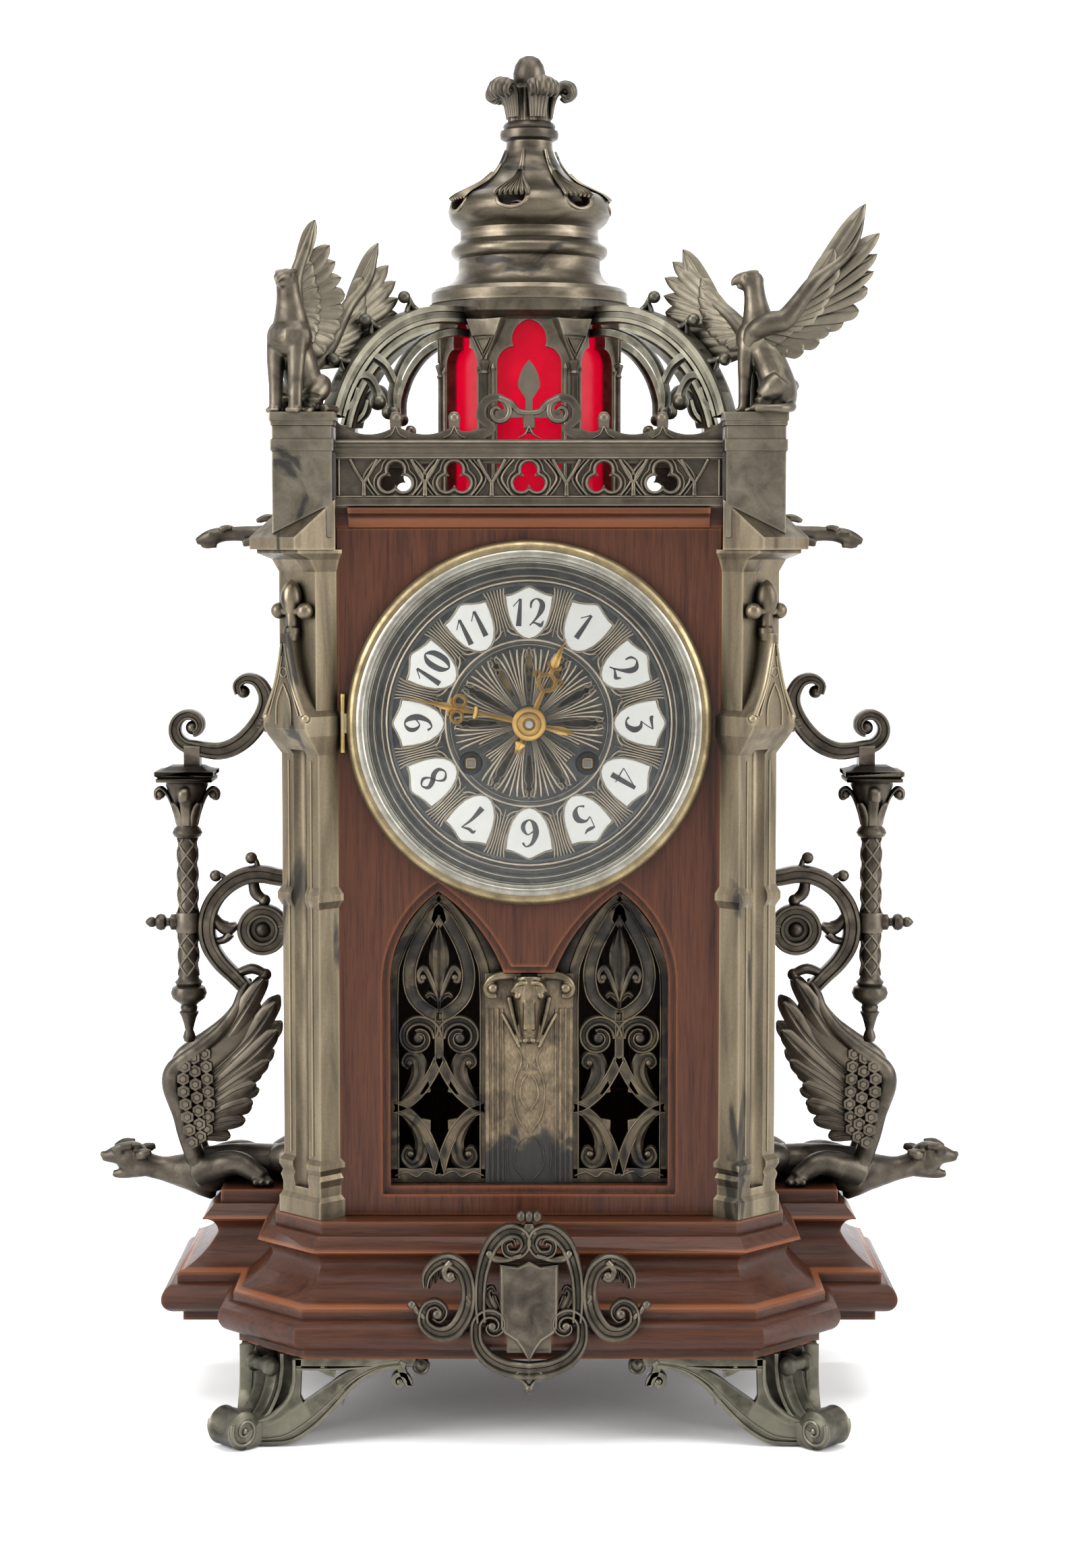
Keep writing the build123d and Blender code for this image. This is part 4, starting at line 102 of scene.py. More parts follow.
GROOVED = [(1, -0.75), (1, 0.75), (0.82, 1), (0.5, 1), (0.34, 0.78), (-0.34, 0.78), (-0.5, 1), (-0.82, 1),
           (-1, 0.75), (-1, -0.75), (-0.82, -1), (-0.5, -1), (-0.34, -0.78), (0.34, -0.78), (0.5, -1),
           (0.82, -1)]
HEXAGON = arc_section(7, 30, 390)[:-1]
LEAF = [(1, 0), (0.6, 0.6), (0.14, 0.55), (0, 0.9), (-0.14, 0.55), (-0.6, 0.6), (-1, 0), (-0.5, -0.3),
        (0.5, -0.3)]


def smooth(points, steps, closed=False):
    """Curve through points of any number of coordinates."""
    points = [Vector(p) for p in points]
    count = len(points)
    if count < 3:
        return points
    last = count if closed else count - 1
    curve = []
    for i in range(last):
        if closed:
            a, b, c, d = (points[(i + k) % count] for k in (-1, 0, 1, 2))
        else:
            a, b, c, d = (points[min(max(i + k, 0), count - 1)] for k in (-1, 0, 1, 2))
        for s in range(steps):
            t = s / steps
            linear = (c - a) * t
            square = (2 * a - 5 * b + 4 * c - d) * t ** 2
            cube = (3 * b - a - 3 * c + d) * t ** 3
            curve.append((2 * b + linear + square + cube) / 2)
    if not closed:
        curve.append(points[-1])
    return curve


def pair(points):
    """Stations on both sides of the middle plane."""
    return [[(s * p[0], *p[1:]) for p in points] for s in (1, -1)]


def both_sides(half):
    """Closed outline from its right half, which starts and ends on the middle line."""
    return half + [(-x, y) for x, y in reversed(half[1:-1])]


def spiral(centre, start, end, angle_from, angle_to, count, sizes):
    """Flat stations of a spiral: angles in degrees, sizes as first and last half width."""
    stations = []
    for i in range(count):
        t = i / (count - 1)
        radius = start + (end - start) * t
        angle = math.radians(angle_from + (angle_to - angle_from) * t)
        width = sizes[0] + (sizes[1] - sizes[0]) * t
        stations.append((centre[0] + radius * math.cos(angle), centre[1] + radius * math.sin(angle), width))
    return stations


def turned(degrees, axis="Z"):
    """Turn about an axis through the origin."""
    return Matrix.Rotation(math.radians(degrees), 4, axis)


def front_plane(y, x=0.0, z=0.0):
    """Drawing plane seen from the front: right, up, and out towards the viewer."""
    return Matrix.Translation((x, y, z)) @ turned(90, "X")


MIRROR_X = Matrix.Diagonal((-1, 1, 1, 1))
MIRROR_Y = Matrix.Diagonal((1, -1, 1, 1))


class Cast:
    """Collects closed solids, in millimetres, that become one piece."""

    def __init__(self, place=None):
        self.place = place or Matrix.Identity(4)
        self.verts = []
        self.faces = []

    def add(self, verts, faces):
        """Takes in a solid at the present place."""
        base = len(self.verts)
        self.verts.extend(self.place @ Vector(v) for v in verts)
        self.faces.extend([base + i for i in face] for face in faces)

    def rings(self, rings, closed=False):
        """Skin over rings of points, with its ends closed."""
        size = len(rings[0])
        count = len(rings)
        faces = []
        for i in range(count if closed else count - 1):
            here, there = i * size, (i + 1) % count * size
            for k in range(size):
                n = (k + 1) % size
                faces.append([here + k, here + n, there + n, there + k])
        if not closed:
            faces.append(list(range(size)))
            faces.append(list(range((count - 1) * size, count * size)))
        self.add([p for ring in rings for p in ring], faces)

    def sweep(self, stations, section=ROUND, up=(0, 0, 1), steps=5, closed=False):
        """Band along stations (x, y, z, half width, height)."""
        rail = smooth(stations, steps, closed)
        count = len(rail)
        up = Vector(up)
        side = Vector((1, 0, 0))
        rings = []
        for i, here in enumerate(rail):
            if closed:
                ahead = rail[(i + 1) % count] - rail[i - 1]
            else:
                ahead = rail[min(i + 1, count - 1)] - rail[max(i - 1, 0)]
            ahead = Vector(ahead[:3]).normalized()
            across = ahead.cross(up)
            side = across.normalized() if across.length > 0.05 else side
            lift = side.cross(ahead)
            centre = Vector(here[:3])
            wide, high = max(here[3], 0.02), max(here[4], 0.02)
            rings.append([centre + side * (a * wide) + lift * (b * high) for a, b in section])
        self.rings(rings, closed)

    def band(self, stations, height, section=ROLL, low=0.0, steps=5, closed=False):
        """Band in the drawing plane along stations (x, y, half width)."""
        self.sweep([(s[0], s[1], low, s[2], height) for s in stations], section, (0, 0, 1), steps, closed)

    def twin_band(self, stations, *more):
        """Band and its mirror image across the plane's upright axis."""
        for line in pair(stations):
            self.band(line, *more)

    def bar(self, stations, thick, section=GROOVED, closed=False, steps=5):
        """Band on both sides of the drawing plane, along stations (x, y, half width)."""
        self.sweep([(x, y, 0, w, thick) for x, y, w in stations], section, (0, 0, 1), steps, closed)

    def tube(self, stations, steps=5):
        """Round limb along stations (x, y, z, radius)."""
        self.sweep([(*s, s[3]) for s in stations], LIMB, LIMB_UP, steps)

    def twin_tube(self, stations, steps=5):
        """Limb and its mirror image across the plane's upright axis."""
        for line in pair(stations):
            self.tube(line, steps)

    def flank_tube(self, stations):
        """Limb at +Y and its mirror image at -Y."""
        for side in (1, -1):
            self.tube([(x, side * y, z, r) for x, y, z, r in stations])

    def lathe(self, profile, segments=32, flutes=0, depth=0.0):
        """Turned solid about the plane's third axis from (radius, height) points."""
        rings = []
        for radius, height in profile:
            ring = []
            for k in range(segments):
                angle = 2 * math.pi * k / segments
                r = max(radius, 0.01) * (1 - depth * (0.5 + 0.5 * math.cos(flutes * angle)))
                ring.append((r * math.cos(angle), r * math.sin(angle), height))
            rings.append(ring)
        self.rings(rings)

    def ball(self, centre, radius, scale=(1, 1, 1)):
        """Ball, stretched along the axes."""
        kept = self.place
        self.place = kept @ Matrix.Translation(centre) @ Matrix.Diagonal((*scale, 1))
        angles = [math.radians(-90 + 180 * i / 10) for i in range(11)]
        self.lathe([(radius * math.cos(a), radius * math.sin(a)) for a in angles], 16)
        self.place = kept

    def twin_ball(self, centre, radius, scale=(1, 1, 1)):
        """Ball and its mirror image across the plane's upright axis."""
        for spot in pair([centre]):
            self.ball(spot[0], radius, scale)

    def slab(self, outline, low, high, inset=0.0):
        """Plate with a drawn outline; inset draws in its upper edge."""
        count = len(outline)
        middle = sum((Vector(p) for p in outline), Vector((0, 0))) / count
        rings = [[(*p, low) for p in outline], [(*p, high - inset) for p in outline]]
        if inset:
            top = []
            for i, p in enumerate(outline):
                before, after = Vector(outline[i - 1]), Vector(outline[(i + 1) % count])
                normal = (after - before).orthogonal().normalized()
                if normal.dot(Vector(p) - middle) > 0:
                    normal.negate()
                top.append((*(Vector(p) + normal * inset), high))
            rings.append(top)
        self.rings(rings)

    def build(self, name, material, body="case", slot="silvered_bronze", nodes=(), remesh=0.0, soften=0):
        """Makes the piece, in metres, on its body; remesh joins its solids on a grid of that size."""
        mesh = bpy.data.meshes.new(name)
        mesh.from_pydata([v * MM for v in self.verts], [], self.faces)
        work = bmesh.new()
        work.from_mesh(mesh)
        bmesh.ops.remove_doubles(work, verts=work.verts, dist=1e-8)
        bmesh.ops.recalc_face_normals(work, faces=work.faces)
        for face in work.faces:
            face.smooth = True
        crease = math.radians(CREASE_ANGLE)
        if not remesh:
            for edge in work.edges:
                edge.smooth = len(edge.link_faces) == 2 and edge.calc_face_angle(0.0) < crease
        work.to_mesh(mesh)
        work.free()
        piece = bpy.data.objects.new(name, mesh)
        bpy.context.collection.objects.link(piece)
        if remesh:
            grid = piece.modifiers.new("grid", "REMESH")
            grid.mode = "VOXEL"
            grid.voxel_size = remesh * MM
            grid.use_smooth_shade = True
        if soften:
            relax = piece.modifiers.new("relax", "SMOOTH")
            relax.factor = 0.5
            relax.iterations = soften
        mesh.materials.append(material)
        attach(piece, body)
        if nodes:
            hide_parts(*nodes)
        return piece


def round_off(piece, width):
    """Small rounded edges on a solid."""
    weld = piece.modifiers.new("weld", "WELD")
    weld.merge_threshold = 1e-6
    bevel = piece.modifiers.new("edge", "BEVEL")
    bevel.width = width * MM
    bevel.segments = 2
    bevel.limit_method = "ANGLE"
    bevel.angle_limit = math.radians(EDGE_ANGLE)
    bevel.harden_normals = False


# Finishes
class Finish:
    """A material with one surface shader and helpers for its texture."""

    def __init__(self, name, alone=False):
        self.alone = alone
        self.material = bpy.data.materials.new(name)
        self.material.use_nodes = True
        self.tree = self.material.node_tree
        self.shader = self.tree.nodes["Principled BSDF"]
        self.place = self.tree.nodes.new("ShaderNodeTexCoord").outputs["Object"]

    def node(self, kind, **inputs):
        """New node with its inputs linked or set."""
        made = self.tree.nodes.new("ShaderNode" + kind)
        for key, value in inputs.items():
            self.put(made.inputs[key.replace("_", " ")], value)
        return made

    def put(self, socket, value):
        """Links or sets one input."""
        if isinstance(value, bpy.types.NodeSocket):
            self.tree.links.new(value, socket)
        else:
            socket.default_value = value

    def set(self, **inputs):
        """Links or sets inputs of the surface shader."""
        for key, value in inputs.items():
            self.put(self.shader.inputs[key.replace("_", " ")], value)

    def noise(self, scale, detail=4.0, stretch=(1, 1, 1), distortion=0.0):
        """Cloud from 0 to 1; scale counts waves per metre."""
        mapping = self.node("Mapping", Vector=self.place, Scale=stretch)
        cloud = self.node("TexNoise", Vector=mapping.outputs[0], Scale=scale, Detail=detail,
                          Distortion=distortion)
        return cloud.outputs[0]

    def ramp(self, value, stops):
        """Colours, or greys given as one number, between places on a scale."""
        ramp = self.node("ValToRGB", Fac=value)
        entries = ramp.color_ramp.elements
        while len(entries) < len(stops):
            entries.new(0.5)
        for entry, (at, colour) in zip(entries, stops):
            entry.position = at
            entry.color = (colour, colour, colour, 1) if isinstance(colour, float) else (*colour, 1)
        return ramp.outputs[0]

    def mix(self, share, first, second, kind="MIX"):
        """Two colours blended by a share."""
        mixer = self.tree.nodes.new("ShaderNodeMix")
        mixer.data_type = "RGBA"
        mixer.blend_type = kind
        for socket, value in zip((mixer.inputs[0], mixer.inputs[6], mixer.inputs[7]),
                                 (share, first, second)):
            if isinstance(value, tuple) and len(value) == 3:
                value = (*value, 1)
            self.put(socket, value)
        return mixer.outputs[2]

    def hollow(self, reach, inside=False):
        """Ambient occlusion: dark in hollows, used for painted shade, or dark at outer edges if inside,
        used for edge wear.
        """
        shade = self.node("AmbientOcclusion", Distance=reach * MM)
        shade.samples = 6
        shade.inside = inside
        shade.only_local = self.alone
        return shade.outputs["AO"]

    def bump(self, height, depth):
        """Relief of a depth in millimetres."""
        self.set(Normal=self.node("Bump", Height=height, Strength=1.0, Distance=depth * MM).outputs[0])


def bronze(name, light, middle, dark, rough=0.36, soot=0.0, grain=0.05, stretch=(1, 1, 1), alone=False):
    """Tarnished cast metal: worn pale on its edges, with painted shade in its hollows and sooty patches.

    The clouds are drawn out along an axis by stretch. A finish that is alone takes no shade from
    other pieces.
    """
    finish = Finish(name, alone)
    cloud = finish.noise(115, 6, stretch, 0.6)
    colour = finish.ramp(cloud, [(0.26, dark), (0.5, middle), (0.76, light)])
    fine = finish.noise(900, 3)
    colour = finish.mix(0.35, colour, finish.ramp(fine, [(0.3, 0.55), (0.7, 1.0)]), "MULTIPLY")
    worn = finish.ramp(finish.hollow(1.6, True), [(0.45, 0.5), (0.85, 0.0)])
    bright = tuple(min(c * 1.45, 1.0) for c in light)
    colour = finish.mix(worn, colour, bright)
    if soot:
        patch = finish.noise(46, 5, stretch, 1.2)
        mask = finish.ramp(patch, [(0.66 - soot, 0.0), (0.71 - soot, 0.85)])
        colour = finish.mix(mask, colour, (0.02, 0.0195, 0.02))
    # Painted shade: ambient occlusion darkens the colour in hollows and close under other pieces.
    hollow_shade = finish.ramp(finish.hollow(6.0), [(0.3, 0.1), (0.85, 1.0)])
    colour = finish.mix(1.0, colour, hollow_shade, "MULTIPLY")
    polish = finish.ramp(cloud, [(0.3, rough + 0.14), (0.7, rough)])
    finish.set(Base_Color=colour, Metallic=0.88, Roughness=polish)
    finish.bump(finish.mix(0.5, finish.noise(420, 5), fine), grain)
    return finish.material


def mahogany(name, grain, light=(0.056, 0.0182, 0.0084), dark=(0.022, 0.0067, 0.0035)):
    """Polished wood with painted shade in its hollows; grain is the stretch of its figure along the three
    axes.
    """
    finish = Finish(name)
    figure = finish.noise(70, 5, grain, 0.8)
    streak = finish.noise(520, 4, grain)
    colour = finish.ramp(finish.mix(0.45, figure, streak), [(0.34, dark), (0.52, light), (0.7, dark)])
    pores = finish.noise(2600, 2, tuple(g * 0.6 if g < 1 else g for g in grain))
    pits = finish.ramp(pores, [(0.36, 0.45), (0.46, 1.0)])
    colour = finish.mix(0.7, colour, pits, "MULTIPLY")
    worn = finish.ramp(finish.hollow(1.8, True), [(0.5, 0.8), (0.9, 0.0)])
    colour = finish.mix(worn, colour, (0.15, 0.05, 0.019))
    # Painted shade: ambient occlusion darkens the wood in recesses and close under other parts.
    hollow_shade = finish.ramp(finish.hollow(9.0), [(0.25, 0.25), (0.8, 1.0)])
    colour = finish.mix(1.0, colour, hollow_shade, "MULTIPLY")
    finish.set(Base_Color=colour, Roughness=finish.ramp(streak, [(0.3, 0.42), (0.7, 0.32)]),
               Specular_IOR_Level=0.2)
    finish.bump(pits, 0.03)
    return finish.material


def plain(name, colour, rough, metallic=0.0, speck=0.25, grain=0.01, **more):
    """Nearly even finish with faint clouds."""
    finish = Finish(name)
    cloud = finish.noise(160, 5)
    low = tuple(c * (1 - speck) for c in colour)
    finish.set(Base_Color=finish.ramp(cloud, [(0.3, low), (0.7, colour)]), Metallic=metallic,
               Roughness=finish.ramp(cloud, [(0.3, rough + 0.06), (0.7, rough)]), **more)
    finish.bump(finish.noise(900, 3), grain)
    return finish.material


def worn_panel(name):
    """Tan worn metal, sooty below a ragged line, with painted shade in its hollows."""
    finish = Finish(name)
    cloud = finish.noise(110, 6, distortion=0.6)
    tan = finish.ramp(cloud, [(0.3, (0.07, 0.052, 0.032)), (0.5, (0.145, 0.108, 0.066)),
                              (0.72, (0.23, 0.175, 0.108))])
    fine = finish.noise(1100, 3, (1, 1, 0.4))
    tan = finish.mix(0.6, tan, finish.ramp(fine, [(0.35, 0.35), (0.65, 1.0)]), "MULTIPLY")
    height = finish.node("SeparateXYZ", Vector=finish.place).outputs["Z"]
    ragged = finish.tree.nodes.new("ShaderNodeMath")
    finish.put(ragged.inputs[0], height)
    finish.put(ragged.inputs[1], finish.ramp(cloud, [(0.3, 0.0), (0.7, 0.02)]))
    clean = finish.ramp(ragged.outputs[0], [(SOOT_LINE * MM, 0.0), ((SOOT_LINE + 3.0) * MM, 1.0)])
    colour = finish.mix(clean, (0.025, 0.0235, 0.0215), tan)
    # Painted shade: ambient occlusion darkens the colour in the flutes and hollows.
    hollow_shade = finish.ramp(finish.hollow(4.0), [(0.3, 0.2), (0.85, 1.0)])
    finish.set(Base_Color=finish.mix(1.0, colour, hollow_shade, "MULTIPLY"), Metallic=0.6, Roughness=0.5)
    finish.bump(fine, 0.08)
    return finish.material


def clear_glass(name):
    """Thin glass: seen through, with a faint mirror on it."""
    finish = Finish(name)
    finish.set(Base_Color=(0.9, 0.93, 0.93, 1), Metallic=1.0, Roughness=0.03)
    veil = finish.node("LayerWeight", Blend=0.22).outputs["Fresnel"]
    through = finish.node("BsdfTransparent").outputs[0]
    mixed = finish.tree.nodes.new("ShaderNodeMixShader")
    finish.put(mixed.inputs[0], veil)
    finish.put(mixed.inputs[1], through)
    finish.put(mixed.inputs[2], finish.shader.outputs[0])
    finish.put(finish.tree.nodes["Material Output"].inputs["Surface"], mixed.outputs[0])
    return finish.material


SILVER = bronze("silvered_bronze", (0.165, 0.143, 0.105), (0.094, 0.079, 0.058), (0.038, 0.032, 0.024))
WING = bronze("wing_bronze", (0.105, 0.092, 0.068), (0.066, 0.057, 0.042), (0.03, 0.025, 0.019))
PEDESTAL = bronze("pedestal_bronze", (0.16, 0.141, 0.105), (0.118, 0.102, 0.076), (0.06, 0.051, 0.038), 0.4,
                  0.02)
PEWTER = bronze("foot_bronze", (0.125, 0.117, 0.088), (0.069, 0.064, 0.048), (0.028, 0.026, 0.02))
DOME = bronze("dome_bronze", (0.175, 0.148, 0.105), (0.094, 0.078, 0.056), (0.034, 0.028, 0.021), 0.3, 0.03,
              0.04, (0.5, 0.5, 1.6))
SHAFT = bronze("buttress_bronze", (0.205, 0.17, 0.112), (0.13, 0.105, 0.07), (0.05, 0.041, 0.028), 0.32,
               0.04, 0.04, (1, 1, 0.14))
DARK = bronze("dark_bronze", (0.115, 0.097, 0.073), (0.062, 0.052, 0.04), (0.026, 0.022, 0.018))
SOOTY = bronze("blackened_bronze", (0.108, 0.085, 0.054), (0.036, 0.032, 0.027), (0.016, 0.0155, 0.0155),
               0.4, 0.08)
DIAL = bronze("dial_relief", (0.42, 0.365, 0.275), (0.25, 0.21, 0.15), (0.11, 0.09, 0.064), 0.34,
              alone=True)
DIAL_GROUND = bronze("dial_ground", (0.07, 0.074, 0.07), (0.042, 0.045, 0.042), (0.022, 0.023, 0.022), 0.4,
                     alone=True)
BEZEL = bronze("bezel_silver", (0.33, 0.32, 0.272), (0.235, 0.225, 0.19), (0.145, 0.136, 0.114), 0.31,
               alone=True)
LANTERN = bronze("lantern_bronze", (0.165, 0.143, 0.105), (0.1, 0.084, 0.062), (0.045, 0.038, 0.028),
                 alone=True)
BRASS = bronze("brass", (0.46, 0.32, 0.12), (0.32, 0.22, 0.08), (0.17, 0.11, 0.04), 0.3)
# Darker brass for the movement frame, which shows through the dial's slots: painted shade of the closed
# case around it.
SHADED_BRASS = bronze("shaded_brass", (0.17, 0.125, 0.06), (0.085, 0.062, 0.032), (0.036, 0.027, 0.016), 0.4)
RIM = bronze("dull_gilt", (0.34, 0.27, 0.15), (0.23, 0.18, 0.098), (0.11, 0.084, 0.046), 0.3)
GILT = bronze("gilt_hands", (0.56, 0.35, 0.10), (0.42, 0.25, 0.07), (0.24, 0.135, 0.04), 0.36, alone=True)
RAM = bronze("ram_bronze", (0.22, 0.175, 0.11), (0.11, 0.087, 0.055), (0.04, 0.032, 0.022), 0.33)
WORN = worn_panel("worn_panel")
STEEL = plain("steel", (0.42, 0.42, 0.43), 0.3, 1.0)
INK = plain("numeral_ink", (0.028, 0.028, 0.03), 0.5)
BLACK = plain("black_ring", (0.008, 0.008, 0.008), 0.5, Specular_IOR_Level=0.12)
WINDER = plain("winding_steel", (0.15, 0.145, 0.14), 0.4, 1.0)
ENAMEL = plain("enamel", (0.71, 0.715, 0.675), 0.14, 0.0, 0.05, 0.006, Coat_Weight=0.4)
# The red glass glows: its emission is painted light, standing in for the light that shines through it from
# behind.
RED = plain("red_glass", (0.40, 0.0, 0.012), 0.2, 0.0, 0.25, 0.02, Emission_Color=(0.62, 0.0, 0.022, 1),
            Emission_Strength=0.4, Specular_IOR_Level=0.1)
GLASS = clear_glass("clear_glass")
UPRIGHT = mahogany("mahogany_upright", (1, 1, 0.05))
LEVEL = mahogany("mahogany_level", (0.05, 1, 1), (0.047, 0.0152, 0.007), (0.0185, 0.0056, 0.003))

FINISH_OF_SLOT = {"mahogany": UPRIGHT, "silvered_bronze": SILVER, "dark_bronze": DARK, "red_glass": RED,
                  "silvered_dial": BEZEL, "enamel": ENAMEL, "brass": BRASS, "clear_glass": GLASS,
                  "steel": STEEL}
FINISH_OF_NODE = {"dial_plate": DIAL_GROUND, "bezel_rim": RIM, "dome": DOME, "corner_pedestals": PEDESTAL,
                  "lantern_frame": LANTERN, "movement_frame": SHADED_BRASS}
for side in ("front", "rear", "left", "right"):
    FINISH_OF_NODE["gallery_" + side] = DARK
for wood in ("plinth_base", "plinth_cavetto", "plinth_top_board", "case_cornice", "case_top_board"):
    FINISH_OF_NODE[wood] = LEVEL
for corner in ("front_left", "front_right", "rear_left", "rear_right"):
    FINISH_OF_NODE["buttress_" + corner] = SHAFT
for sub in frame["record"]["subparts"]:
    node = NODES[sub["node"]]
    node.data.materials.clear()
    node.data.materials.append(FINISH_OF_NODE.get(sub["node"], FINISH_OF_SLOT[sub["material_slot"]]))


# Dial
DIAL_PLANE = front_plane(Y_DIAL, 0, Z_DIAL)
PLAQUE_RISE = 1.2
PLAQUE_HALF_OUTLINE = [(0, 34.8), (2.4, 35.5), (4.8, 37.4), (6.9, 40.6), (8.2, 44.2), (9.0, 48.0),
                       (9.5, 51.9), (6.8, 52.6), (3.8, 53.9), (1.5, 55.2), (0, 55.7)]
NUMERAL_HEIGHT = 11.2
NUMERAL_FOOT = 39.8
RING_RADIUS = 34.2
FAN_OUTER = 31.0
FAN_INNER = 7.5
WINDING_AT = (24.0, -16.5)
WINDING_RING = 4.9
WINDING_HOLE = 2.5
DIGIT_ADVANCE = 0.62
STROKE_WEIGHT = 0.92
PLAQUE_MIDDLE = 45.6
FRAME_GROWTH = 1.045
DIAL_RINGS = ((RING_RADIUS, 0.75, 1.1), (RING_RADIUS - 1.9, 0.3, 0.5), (58.4, 0.7, 0.9), (60.4, 0.6, 1.2))
# Strokes of the numerals as stations, in units of the numeral's height
STROKES = {
    "0": [
        [(0.3, 1.0, 0.03), (0.1, 0.8, 0.1), (0.05, 0.5, 0.12), (0.1, 0.2, 0.1), (0.3, 0.0, 0.03),
         (0.5, 0.2, 0.1), (0.55, 0.5, 0.12), (0.5, 0.8, 0.1)],
    ],
    "1": [
        [(0.02, 0.72, 0.02), (0.16, 0.86, 0.02), (0.3, 1.0, 0.03)],
        [(0.32, 1.0, 0.05), (0.28, 0.5, 0.085), (0.24, 0.0, 0.11)],
    ],
    "2": [
        [(0.05, 0.66, 0.03), (0.08, 0.88, 0.05), (0.28, 1.0, 0.03), (0.5, 0.85, 0.1), (0.48, 0.6, 0.11),
         (0.28, 0.3, 0.05), (0.0, 0.02, 0.02)],
        [(0.0, 0.04, 0.02), (0.16, 0.13, 0.03), (0.36, 0.06, 0.06), (0.46, 0.03, 0.07), (0.56, 0.2, 0.02)],
    ],
    "3": [
        [(0.06, 1.0, 0.03), (0.1, 0.92, 0.07), (0.3, 0.94, 0.05), (0.52, 0.98, 0.03)],
        [(0.52, 0.97, 0.02), (0.38, 0.75, 0.02), (0.24, 0.56, 0.02)],
        [(0.22, 0.56, 0.03), (0.44, 0.52, 0.08), (0.54, 0.3, 0.12), (0.42, 0.06, 0.08), (0.22, 0.0, 0.03),
         (0.08, 0.1, 0.05)],
    ],
    "4": [
        [(0.42, 1.0, 0.02), (0.2, 0.62, 0.02), (0.0, 0.27, 0.02)],
        [(0.0, 0.27, 0.02), (0.3, 0.27, 0.025), (0.6, 0.27, 0.02)],
        [(0.42, 1.0, 0.08), (0.42, 0.5, 0.1), (0.42, 0.0, 0.11)],
    ],
    "5": [
        [(0.12, 0.94, 0.03), (0.26, 0.93, 0.07), (0.42, 0.93, 0.06), (0.56, 1.0, 0.02)],
        [(0.13, 0.96, 0.02), (0.11, 0.75, 0.02), (0.09, 0.54, 0.02)],
        [(0.09, 0.52, 0.02), (0.3, 0.6, 0.05), (0.52, 0.42, 0.12), (0.5, 0.16, 0.11), (0.3, 0.0, 0.03),
         (0.08, 0.1, 0.05)],
    ],
    "6": [
        [(0.54, 0.84, 0.05), (0.42, 0.98, 0.03), (0.2, 0.86, 0.07), (0.06, 0.5, 0.12), (0.12, 0.16, 0.1),
         (0.3, 0.0, 0.03), (0.5, 0.14, 0.08), (0.52, 0.36, 0.08), (0.36, 0.54, 0.03), (0.16, 0.42, 0.03)],
    ],
    "7": [
        [(0.04, 0.84, 0.02), (0.1, 0.95, 0.06), (0.28, 0.92, 0.06), (0.56, 0.99, 0.02)],
        [(0.55, 0.98, 0.02), (0.36, 0.55, 0.06), (0.24, 0.0, 0.12)],
    ],
    "8": [
        [(0.3, 1.0, 0.03), (0.12, 0.84, 0.07), (0.22, 0.6, 0.1), (0.44, 0.4, 0.1), (0.5, 0.16, 0.07),
         (0.3, 0.0, 0.03), (0.08, 0.16, 0.06), (0.16, 0.4, 0.03), (0.4, 0.6, 0.03), (0.48, 0.84, 0.06)],
    ],
}
STROKES["9"] = [[(0.6 - x, 1 - y, w) for x, y, w in stroke] for stroke in STROKES["6"]]
LOOPS = ("0", "8")


def clock_turn(degrees):
    """Turn about the dial's centre, clockwise from twelve."""
    return DIAL_PLANE @ turned(-degrees)


def plaques():
    """Twelve crowned enamel shields with painted numerals; gives back their raised frames."""
    enamel = Cast()
    ink = Cast()
    frames = Cast()
    outline = both_sides(PLAQUE_HALF_OUTLINE)
    border = []
    for x, y in outline:
        border.append((x * FRAME_GROWTH, PLAQUE_MIDDLE + (y - PLAQUE_MIDDLE) * FRAME_GROWTH, 0.45))
    for hour in range(1, 13):
        enamel.place = ink.place = frames.place = clock_turn(30 * hour)
        enamel.slab(outline, 0.0, PLAQUE_RISE, 0.35)
        frames.band(border, 1.0, ROLL, 0.0, 2, True)
        digits = str(hour)
        narrow, shift = (0.9, 0.02) if len(digits) > 1 else (1.0, 0.0)
        for index, digit in enumerate(digits):
            left = (index - len(digits) / 2) * DIGIT_ADVANCE + shift
            for stroke in STROKES[digit]:
                line = []
                for x, y, half in stroke:
                    across = (left + x * narrow) * NUMERAL_HEIGHT
                    up = NUMERAL_FOOT + y * NUMERAL_HEIGHT
                    line.append((across, up, half * STROKE_WEIGHT * NUMERAL_HEIGHT))
                ink.band(line, 0.12, FLAT, PLAQUE_RISE, 6, digit in LOOPS)
    enamel.build("numeral_shields", ENAMEL, slot="enamel", nodes=("numeral_plaques",))
    ink.build("numerals", INK, slot="enamel")
    return frames


def clear_of_winding(turn, stations):
    """Stations of a band at a clock angle, up to the first that would run under a winding ring."""
    angle = math.radians(turn)
    kept = []
    for x, y, half in stations:
        right = x * math.cos(angle) + y * math.sin(angle)
        up = y * math.cos(angle) - x * math.sin(angle)
        if math.hypot(abs(right) - WINDING_AT[0], up - WINDING_AT[1]) < WINDING_RING + 0.9:
            break
        kept.append((x, y, half))
    return kept


def reeds(cast):
    """Cast reeds between the shields."""
    for hour in range(12):
        cast.place = clock_turn(30 * hour + 15)
        for k in range(-3, 4):
            spread = 1.0 + 0.12 * abs(k)
            reed = [(k * 2.25 * spread, 36.6 + 0.35 * abs(k), 0.3), (k * 1.35, 40.0, 0.42),
                    (k * 0.98, 46.0, 0.46), (k * 1.05, 52.0, 0.46), (k * 1.5, 57.6 - 0.25 * abs(k), 0.4)]
            cast.band(reed, 0.85 - 0.08 * abs(k), ROLL, 0.0, 4)
        cast.twin_band([(0.6, 39.5, 0.3), (2.6, 37.4, 0.5), (5.2, 36.0, 0.5), (7.6, 35.6, 0.3)], 0.8, ROLL,
                       0.0, 4)


